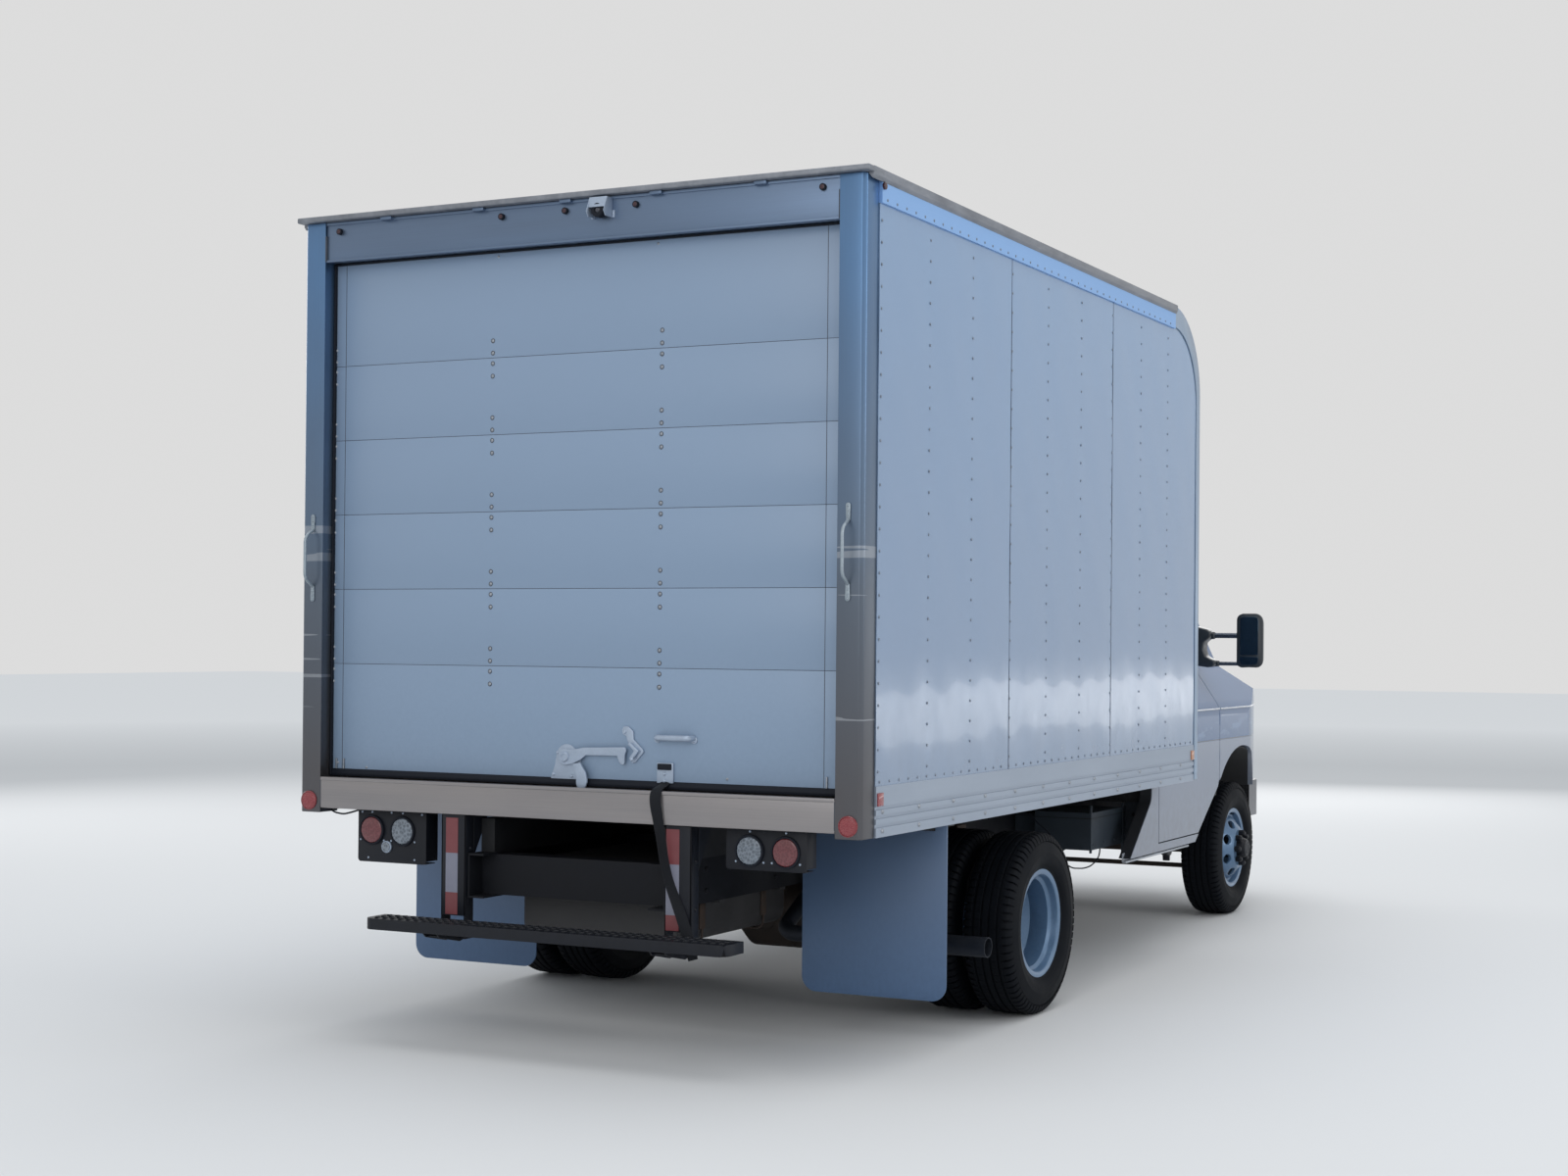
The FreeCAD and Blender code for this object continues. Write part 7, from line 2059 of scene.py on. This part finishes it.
# Tail plate: a painted steel gusset with holes, which closes the cab side's rear end
# below the load body.

gusset_paint = two_tone(
    "gusset_paint", (0.03, 4.0), (0.022, 0.03, 0.042), (0.048, 0.058, 0.072), (0.42, 0.2)
)
gusset = [(0.845, 0.462), (0.9, 0.462), (0.918, 0.492), (0.948, 0.545), (0.97, 0.6), (0.984, 0.66)]
gusset = plate(
    "gusset_right", gusset + [(0.99, 0.722), (0.845, 0.722)], "y", rear + 3.66, rear + 3.664
)
cutters = []
for x, z, radius in (
    (0.8915, 0.66, 0.013), (0.915, 0.7, 0.006), (0.882, 0.551, 0.01), (0.861, 0.514, 0.007)
):
    cutters.append(dome("hole", (x, rear + 3.668, z), radius, 0.012, "y", 14))
cutter = joined("holes", cutters)
modified(gusset, "BOOLEAN", object=cutter, operation="DIFFERENCE")
bpy.data.objects.remove(cutter)
smooth(gusset)
both(gusset, gusset_paint, "chassis", "black_steel")


# Glass: grey-tinted panes; the windscreen has a black baked border where it is glued.

tint = Finish("cab_glass", Roughness=0.02, Transmission_Weight=1.0, IOR=1.45)
glass_east, _, glass_high = tint.axes()
glass_film = tint.noise(0.2, 3.0)
half_screen = 0.79 - (glass_high - 1.412) * 0.189
border = (
    (abs(glass_east) > half_screen - 0.03) + (glass_high < 1.455) + (glass_high > 1.962)
) > 0.5
border = border * (abs(glass_east) < 2.0)
tint.set(
    Base_Color=tint.blend(
        border, tint.blend(glass_film, (0.55, 0.62, 0.66), (0.66, 0.72, 0.76)),
        (0.003, 0.003, 0.004)
    )
)
dress(tint, "windscreen")
side_tint = two_tone(
    "door_glass", (0.25, 3.0), (0.5, 0.57, 0.61), (0.62, 0.68, 0.72), Roughness=0.02,
    Transmission_Weight=1.0, IOR=1.45
)
dress(side_tint, "door_glass_right", "door_glass_left")


# Mirrors: a tall black housing with flat and wide-angle glass on two arms, on a cast
# sail bracket at the front of the door.

arm_y = rear + 4.6525
mirror_black = two_tone(
    "mirror_plastic", (0.05, 4.0), (0.007, 0.012, 0.018), (0.02, 0.027, 0.036), (0.32, 0.2),
    (0.0002, 0.4), (0.002, 2.0), Coat_Weight=0.3, Coat_Roughness=0.2
)
# Painted reflection: the mirror glass is a dark blue-grey, for the dark scene it shows.
mirror_glass = two_tone(
    "mirror_glass", (0.08, 3.0), (0.045, 0.075, 0.1), (0.075, 0.105, 0.13), (0.06, 0.05),
    Metallic=1.0
)
arm_metal = two_tone(
    "mirror_arm", (0.02, 4.0), (0.045, 0.055, 0.075), (0.12, 0.14, 0.17), (0.16, 0.2), Metallic=0.7
)
head_outline = []
for centre, radius, start in (
    ((1.235, 1.642), 0.046, 0), ((1.17, 1.654), 0.034, 90), ((1.166, 1.424), 0.03, 180),
    ((1.243, 1.43), 0.038, 270)
):
    head_outline += arc(centre, radius, start, start + 90, 7)
head = plate("head", head_outline, "y", rear + 4.611, rear + 4.693)
for vertex in head.data.vertices:
    if vertex.co.y > rear + 4.65:
        vertex.co.x = 1.2095 + (vertex.co.x - 1.2095) * 0.72
        vertex.co.z = 1.539 + (vertex.co.z - 1.539) * 0.86
head = rounded(head, 0.012, 4, 50)
rim_outline = []
for centre, start in (
    ((1.235, 1.642), 0), ((1.166, 1.65), 90), ((1.166, 1.426), 180), ((1.24, 1.43), 270)
):
    rim_outline += arc(centre, 0.032, start, start + 90, 6)
head_parts = [head, round_plate("rim", rim_outline, "y", rear + 4.6095, rear + 4.613, 0.001, 2)]
sail = [
    (0.847, 1.422), (0.9, 1.402), (0.972, 1.393), (1.004, 1.398), (1.015, 1.412), (1.012, 1.43),
    (0.985, 1.44), (0.957, 1.455), (0.946, 1.49), (0.95, 1.528), (0.972, 1.545), (0.988, 1.558),
    (0.988, 1.582), (0.968, 1.598), (0.9, 1.616), (0.816, 1.627)
]
base = round_plate("sail", sail, "y", rear + 4.602, rear + 4.688, 0.01, 4, 25)
foot = [(x - 0.006, z) for x, z in ((0.85, 1.424), (0.862, 1.424), (0.83, 1.626), (0.817, 1.626))]
foot = round_plate("foot", foot, "y", rear + 4.59, rear + 4.7, 0.003, 2)
clamps = []
for centre_x, height, radius in (
    (0.985, 1.566, 0.02), (1.01, 1.414, 0.016), (1.146, 1.566, 0.02), (1.146, 1.414, 0.016)
):
    sleeve = [
        (-0.016, 0.0), (-0.016, radius - 0.004), (-0.01, radius), (0.01, radius),
        (0.016, radius - 0.004), (0.016, 0.0)
    ]
    clamps.append(turned("sleeve", sleeve, (centre_x, arm_y, height), "x", 24))
mirror = joined("mirror_housing_right", head_parts + [base, foot] + clamps)
both(mirror, mirror_black, "door_right", "black_plastic", "mirror_right")
panes = []
for low, high in ((1.462, 1.668), (1.41, 1.452)):
    outline = []
    turns = (0.022, 0.022, 0.008, 0.008) if low > 1.45 else (0.006, 0.006, 0.02, 0.02)
    for across, up, radius, start in zip((1, -1, -1, 1), (1, 1, -1, -1), turns, (0, 90, 180, 270)):
        corner = (
            1.203 + across * (0.05 - radius), (low + high) / 2 + up * ((high - low) / 2 - radius)
        )
        outline += arc(corner, radius, start, start + 90, 4)
    panes.append(round_plate("pane", outline, "y", rear + 4.6085, rear + 4.6105, 0.0006, 1))
both(joined("mirror_panes_right", panes), mirror_glass, "door_right", "chrome_trim")
high_arm = bar("arm", [(0.972, arm_y, 1.566), (1.15, arm_y, 1.566)], 0.0145, 5)
low_arm = bar("arm", [(0.998, arm_y, 1.414), (1.15, arm_y, 1.414)], 0.0105, 4)
both(joined("mirror_arms_right", [high_arm, low_arm]), arm_metal, "door_right", "black_steel")


# Front bumper: bright rolled steel with swept ends over a black plastic valance.

bumper_bright = Finish("bumper_bright")
bumper_high = bumper_bright.axes()[2]
valance = bumper_high < 0.5065
bumper_mist = bumper_bright.noise(0.15, 4.0)
bumper_bright.set(
    Base_Color=bumper_bright.blend(
        valance, bumper_bright.blend(bumper_mist, (0.132, 0.133, 0.145), (0.186, 0.189, 0.203)),
        (0.004, 0.003, 0.004)
    ),
    Metallic=0.85 - valance * 0.85, Roughness=0.14 + bumper_mist * 0.08 + valance * 0.4
)
dress(bumper_bright, "front_bumper")


# Grille and headlamps: bright bars and frame before a black mesh; each lamp is one
# clear lens over a bright bowl, with the amber turn lamp at its outer end.

grille_bright = two_tone(
    "grille_bright", (0.1, 3.0), (0.42, 0.44, 0.47), (0.6, 0.62, 0.65), (0.16, 0.1), Metallic=0.9
)
grille_parts = []
for low in (0.782, 0.864, 0.946, 1.022):
    grille_parts.append(round_box(
        "slat", (-0.556, 0.556), (rear + 5.874, rear + 5.91), (low, low + 0.016), 0.005, 3
    ))
for x in (-0.558, 0.546):
    grille_parts.append(
        round_box("upright", (x, x + 0.012), (rear + 5.874, rear + 5.91), (0.764, 1.038), 0.004, 3)
    )
for low in (0.761, 1.027):
    grille_parts.append(round_box(
        "edge", (-0.558, 0.558), (rear + 5.874, rear + 5.912), (low, low + 0.012), 0.004, 3
    ))
fitted(joined("grille_frame", grille_parts), grille_bright, "chassis", "chrome_trim", "grille")
mesh_parts = [
    row(
        round_box("fin", (-0.543, -0.539), (rear + 5.868, rear + 5.892), (0.77, 1.032), 0.001, 1),
        47, (0.0235, 0, 0)
    )
]
mesh_parts.append(row(
    round_box("cross", (-0.545, 0.545), (rear + 5.868, rear + 5.886), (0.8, 0.803), 0.001, 1), 9,
    (0, 0, 0.0262)
))
backing = round_box(
    "backing", (-0.552, 0.552), (rear + 5.855, rear + 5.86), (0.764, 1.036), 0.001, 1
)
fitted(joined("grille_mesh", mesh_parts + [backing]), trim_black, "chassis", "black_plastic")
lamp_lens = Finish("headlamp", Coat_Weight=1.0, Coat_Roughness=0.02, Coat_IOR=1.5)
lens_east, _, lens_high = lamp_lens.axes()
out = abs(lens_east)
bowl = ((out - 0.694) ** 2 + (lens_high - 0.945) ** 2) ** 0.5
in_bowl = bowl < 0.082
amber_part = out > 0.775
flutes = abs((lens_high / 0.012) % 1.0 - 0.5)
rings = abs((bowl / 0.01) % 1.0 - 0.5)
lens_glow = lamp_lens.blend(in_bowl, (0.2, 0.21, 0.23), (0.7, 0.72, 0.75))
lens_glow = lamp_lens.blend(bowl < 0.02, lens_glow, (0.9, 0.9, 0.88))
lamp_lens.set(
    Base_Color=lamp_lens.blend(amber_part, lens_glow, (0.55, 0.19, 0.03)), Metallic=in_bowl * 0.9,
    Roughness=0.15 + amber_part * 0.15,
    Normal=lamp_lens.bump(in_bowl * rings + amber_part * flutes, 0.003, 0.5)
)
dress(lamp_lens, "headlamps")


# Cowl and wipers: a black slotted panel under the windscreen, and two wiper arms with
# rubber blades that lie on the glass.

cowl_fall = 0.3386
cowl_parts = []
for step in range(6):
    ahead = 5.176 + 0.01 * step
    top = 1.4 - (ahead - 5.165) * cowl_fall
    cowl_parts.append(round_box(
        "slat", (-0.6, 0.6), (rear + ahead, rear + ahead + 0.006), (top - 0.001, top + 0.004),
        0.001, 1
    ))
for start, end in ((0.12, 0.7), (-0.56, 0.02)):
    pivot = Vector((start, rear + 5.185, 1.398))
    tip = Vector((end, rear + 5.15, 1.432))
    knee = Vector((start + 0.06, rear + 5.172, 1.416))
    cowl_parts.append(bar("arm", bent([pivot, knee, tip], 0.02, 4), 0.006, 3))
    cap = [(-0.012, 0.0), (-0.012, 0.02), (0.012, 0.018), (0.016, 0.01), (0.016, 0.0)]
    cap = turned("cap", cap, (0, 0, 0), "x", 24)
    cap.data.transform(
        Matrix.Translation((start, rear + 5.187, 1.397)) @ Matrix.Rotation(-math.pi / 2, 4, "Y")
    )
    cowl_parts.append(cap)
    blade_low = Vector((start + 0.08, rear + 5.146, 1.428))
    blade_high = Vector((end + 0.03, rear + 5.131, 1.444))
    cowl_parts.append(
        bar("blade", [blade_low, (blade_low + blade_high) / 2, blade_high], 0.0055, 2)
    )
fitted(joined("cowl_and_wipers", cowl_parts), trim_black, "chassis", "black_plastic")


# Step wells: a black moulded tread inside each door sill, from the cab floor's edge
# down to the rocker, with raised grip ribs.

well_outline = [
    (0.858, 0.716), (0.868, 0.716), (0.868, 0.548), (0.928, 0.541), (0.938, 0.515), (0.958, 0.507),
    (0.948, 0.503), (0.93, 0.509), (0.92, 0.531), (0.858, 0.536)
]
well = round_plate("well", well_outline, "y", rear + 3.7, rear + 4.3, 0.003, 2)
grip_rib = round_box("rib", (0.874, 0.922), (rear + 3.73, rear + 3.736), (0.54, 0.5475), 0.001, 1)
well_parts = [well, row(grip_rib, 27, (0, 0.0205, 0))]
for ahead in (3.7, 4.294):
    cheek = [(0.862, 0.54), (0.936, 0.533), (0.936, 0.716), (0.862, 0.716)]
    well_parts.append(plate("cheek", cheek, "y", rear + ahead, rear + ahead + 0.006))
both(joined("step_well_right", well_parts), trim_black, "chassis", "black_plastic")


# Seats: two cloth buckets on steel pedestals. Each cushion is sewn from a cage that is
# blown up as cloth, then its piping is laid along the seams.

seat_weave = Finish("seat_cloth", Sheen_Weight=0.35)
weave_fine = seat_weave.noise(0.0016, 1.0, (1, 0.4, 1))
weave_wear = seat_weave.noise(0.12, 3.0)
seat_weave.set(
    Base_Color=seat_weave.blend(
        weave_fine * 0.5 + weave_wear * 0.4, (0.03, 0.033, 0.04), (0.085, 0.09, 0.102)
    ),
    Roughness=0.8 + weave_fine * 0.15, Normal=seat_weave.bump(weave_fine, 0.0005, 0.7)
)
piping_vinyl = two_tone(
    "seat_piping", (0.01, 3.0), (0.012, 0.013, 0.016), (0.035, 0.037, 0.042), (0.45, 0.2)
)


def stuffed(piece, limit):
    """Swell a closed cage as filled cloth, and keep every point near where it was."""
    modified(piece, "REMESH", mode="VOXEL", voxel_size=0.012)
    cage = [vertex.co.copy() for vertex in piece.data.vertices]
    alone(piece)
    cloth = piece.modifiers.new("step", "CLOTH")
    cloth.settings.use_pressure = True
    cloth.settings.uniform_pressure_force = 4.0
    cloth.settings.effector_weights.gravity = 0.0
    for moment in range(1, 21):
        bpy.context.scene.frame_set(moment)
    bpy.ops.object.modifier_apply(modifier="step")
    bpy.context.scene.frame_set(1)
    for vertex, start in zip(piece.data.vertices, cage):
        move = vertex.co - start
        vertex.co = start + move * min(1.0, limit / max(move.length, 0.000001))
    modified(piece, "SUBSURF", levels=1, render_levels=1)
    return smooth(piece, 80)


def piping(name, cushion, loop):
    """A sewn cord on a cushion's skin, through the points nearest to a loop."""
    loop = loop + loop[:2]
    points = []
    for start, end in zip(loop, loop[1:]):
        for step in range(8):
            point = Vector(start).lerp(Vector(end), step / 8)
            points.append(cushion.closest_point_on_mesh(point)[1])
    return bar(name, points, 0.0035, 2)


def sewn_loop(line, x_low, x_high):
    """The seam that runs round a cushion between its face and its sides."""
    corners = [(x_low, *line[0]), (x_high, *line[0]), (x_high, *line[1]), (x_low, *line[1])]
    return [(x, rear + y, z) for x, y, z in corners]


for name, line, sides, limit, seam in (
    (
        "seat_cushion",
        [(3.965, 1.003), (4.335, 1.003), (4.347, 1.06), (4.325, 1.104), (3.965, 1.092)],
        (0.228, 0.672), 0.022, ((3.96, 1.105), (4.36, 1.115))
    ),
    (
        "seat_back",
        [(3.852, 1.118), (3.938, 1.118), (3.862, 1.585), (3.845, 1.605), (3.785, 1.6)],
        (0.236, 0.664), 0.022, ((3.965, 1.115), (3.87, 1.62))
    ),
    (
        "headrest", [(3.775, 1.655), (3.85, 1.655), (3.838, 1.735), (3.762, 1.735)],
        (0.345, 0.555), 0.014, ((3.866, 1.648), (3.846, 1.746))
    )
):
    cage = round_plate(name + "_right", [(rear + y, z) for y, z in line], "x", *sides, 0.02, 3, 30)
    cushion = stuffed(cage, limit)
    piped = piping(name + "_piping_right", cushion, sewn_loop(seam, *sides))
    for piece in (cushion, both(cushion, seat_weave, "chassis", "seat_cloth", "seats")):
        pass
    both(piped, piping_vinyl, "chassis", "seat_cloth", "seats")
pan = [(3.9, 0.768), (4.29, 0.768), (4.262, 0.955), (3.945, 0.955)]
pan = round_plate("pan", [(rear + y, z) for y, z in pan], "x", 0.25, 0.65, 0.012, 3)
tray = round_box("tray", (0.232, 0.668), (rear + 3.9, rear + 4.335), (0.957, 0.99), 0.01, 3)
hinge_cover = [(3.87, 0.985), (3.96, 0.985), (3.945, 1.08), (3.905, 1.14), (3.868, 1.13)]
hinge_cover = round_plate(
    "hinge", [(rear + y, z) for y, z in hinge_cover], "x", 0.212, 0.226, 0.005, 3
)
seat_steel = [pan, tray, hinge_cover, copy_of(hinge_cover, "hinge", (0.462, 0, 0))]
for across in (0.4, 0.5):
    line = [(across, rear + 3.825, 1.56), (across, rear + 3.818, 1.61), (across, rear + 3.81, 1.67)]
    seat_steel.append(bar("post", line, 0.006, 3))
both(joined("seat_frame_right", seat_steel), trim_black, "chassis", "black_steel", "seats")


# Cab floor and dashboard: a ribbed black mat, a grey moulded dash with an instrument
# hood, dials, vents, knobs and glove box, and the steering wheel's boss.

mat_black = Finish("cab_mat", Roughness=0.7)
mat_east, _, mat_high = mat_black.axes()
mat_ribs = abs((mat_east / 0.016) % 1.0 - 0.5)
mat_dust = mat_black.noise(0.15, 5.0)
mat_black.set(
    Base_Color=mat_black.blend(mat_dust, (0.014, 0.015, 0.018), (0.05, 0.05, 0.052)),
    Normal=mat_black.bump(mat_ribs * (mat_high < 0.8), 0.002, 0.6)
)
dress(mat_black, "cab_floor")
dash_grey = Finish("dash_plastic")
dash_grain = dash_grey.noise(0.0025, 2.0)
dash_tone = dash_grey.noise(0.3, 2.0)
dash_north = dash_grey.axes()[1]
round_wheel = dash_north - rear < 4.44
dash_grey.set(
    Base_Color=dash_grey.blend(
        round_wheel, dash_grey.blend(dash_tone, (0.055, 0.06, 0.068), (0.085, 0.09, 0.1)),
        (0.012, 0.012, 0.014)
    ),
    Roughness=0.5 + dash_grain * 0.2, Normal=dash_grey.bump(dash_grain, 0.0003, 0.5)
)
dress(dash_grey, "dashboard")
hood_line = [
    (4.47, 1.29), (4.56, 1.29), (4.62, 1.372), (4.56, 1.412), (4.468, 1.418), (4.462, 1.4),
    (4.54, 1.385)
]
binnacle = round_plate("hood", [(rear + y, z) for y, z in hood_line], "x", -0.64, -0.26, 0.008, 3)
boss = [(-0.022, 0.0), (-0.022, 0.04), (-0.014, 0.056), (0.016, 0.06), (0.024, 0.04), (0.024, 0.0)]
boss = turned("boss", boss, (-0.45, rear + 4.35, 1.335), "y", 40)
glove = round_box("glove", (0.3, 0.66), (rear + 4.474, rear + 4.5), (1.14, 1.29), 0.01, 3)
stack = round_box("stack", (-0.17, 0.17), (rear + 4.468, rear + 4.51), (1.12, 1.3), 0.012, 3)
dash_parts = [binnacle, boss, glove, stack]
for middle in (-0.715, -0.12, 0.12, 0.715):
    dash_parts.append(round_box(
        "vent", (middle - 0.042, middle + 0.042), (rear + 4.462, rear + 4.5), (1.215, 1.275), 0.005,
        2
    ))
    dash_parts.append(row(
        round_box(
            "slat", (middle - 0.036, middle + 0.036), (rear + 4.457, rear + 4.466), (1.222, 1.226),
            0.001, 1
        ),
        5, (0, 0, 0.0115)
    ))
fitted(joined("dash_mouldings", dash_parts), trim_black, "chassis", "black_plastic")
dials = []
for middle, radius in ((-0.53, 0.042), (-0.37, 0.042), (-0.45, 0.026)):
    dials.append(dome("dial", (middle, rear + 4.47, 1.345), radius, 0.006, "y", 32))
for height in (1.15, 1.18):
    for middle in (-0.06, 0.0, 0.06):
        dials.append(dome("knob", (middle, rear + 4.468, height), 0.011, 0.014, "y", 20))
dial_grey = two_tone("dial_face", (0.01, 2.0), (0.1, 0.1, 0.11), (0.22, 0.22, 0.23), Roughness=0.35)
fitted(joined("dials_and_knobs", dials), dial_grey, "chassis", "chrome_trim")


# Nose and roof of the load body: the same white sheet as the sides over an aluminium
# foot rail, and a pale roof sheet. The CAD forms keep their shape.

# Painted shade: the white sheet is given a dark blue-grey, as on the sides.
nose_sheet = Finish("nose_sheet", Coat_Weight=0.4, Coat_Roughness=0.05)
nose_high = nose_sheet.axes()[2]
nose_cloud = nose_sheet.noise(0.7, 2.0)
nose_rail = nose_high < 1.022
nose_sheet.set(
    Base_Color=nose_sheet.blend(
        nose_rail, nose_sheet.blend(nose_cloud, (0.19, 0.26, 0.37), (0.235, 0.32, 0.445)),
        (0.235, 0.27, 0.32)
    ),
    Roughness=0.18 + nose_cloud * 0.1 + nose_rail * 0.15, Metallic=nose_rail * 0.5
)
dress(nose_sheet, "front_wall")
roof_white = two_tone("roof_sheet", (0.3, 5.0), (0.52, 0.54, 0.55), (0.66, 0.67, 0.67), (0.4, 0.2))
dress(roof_white, "body_roof")
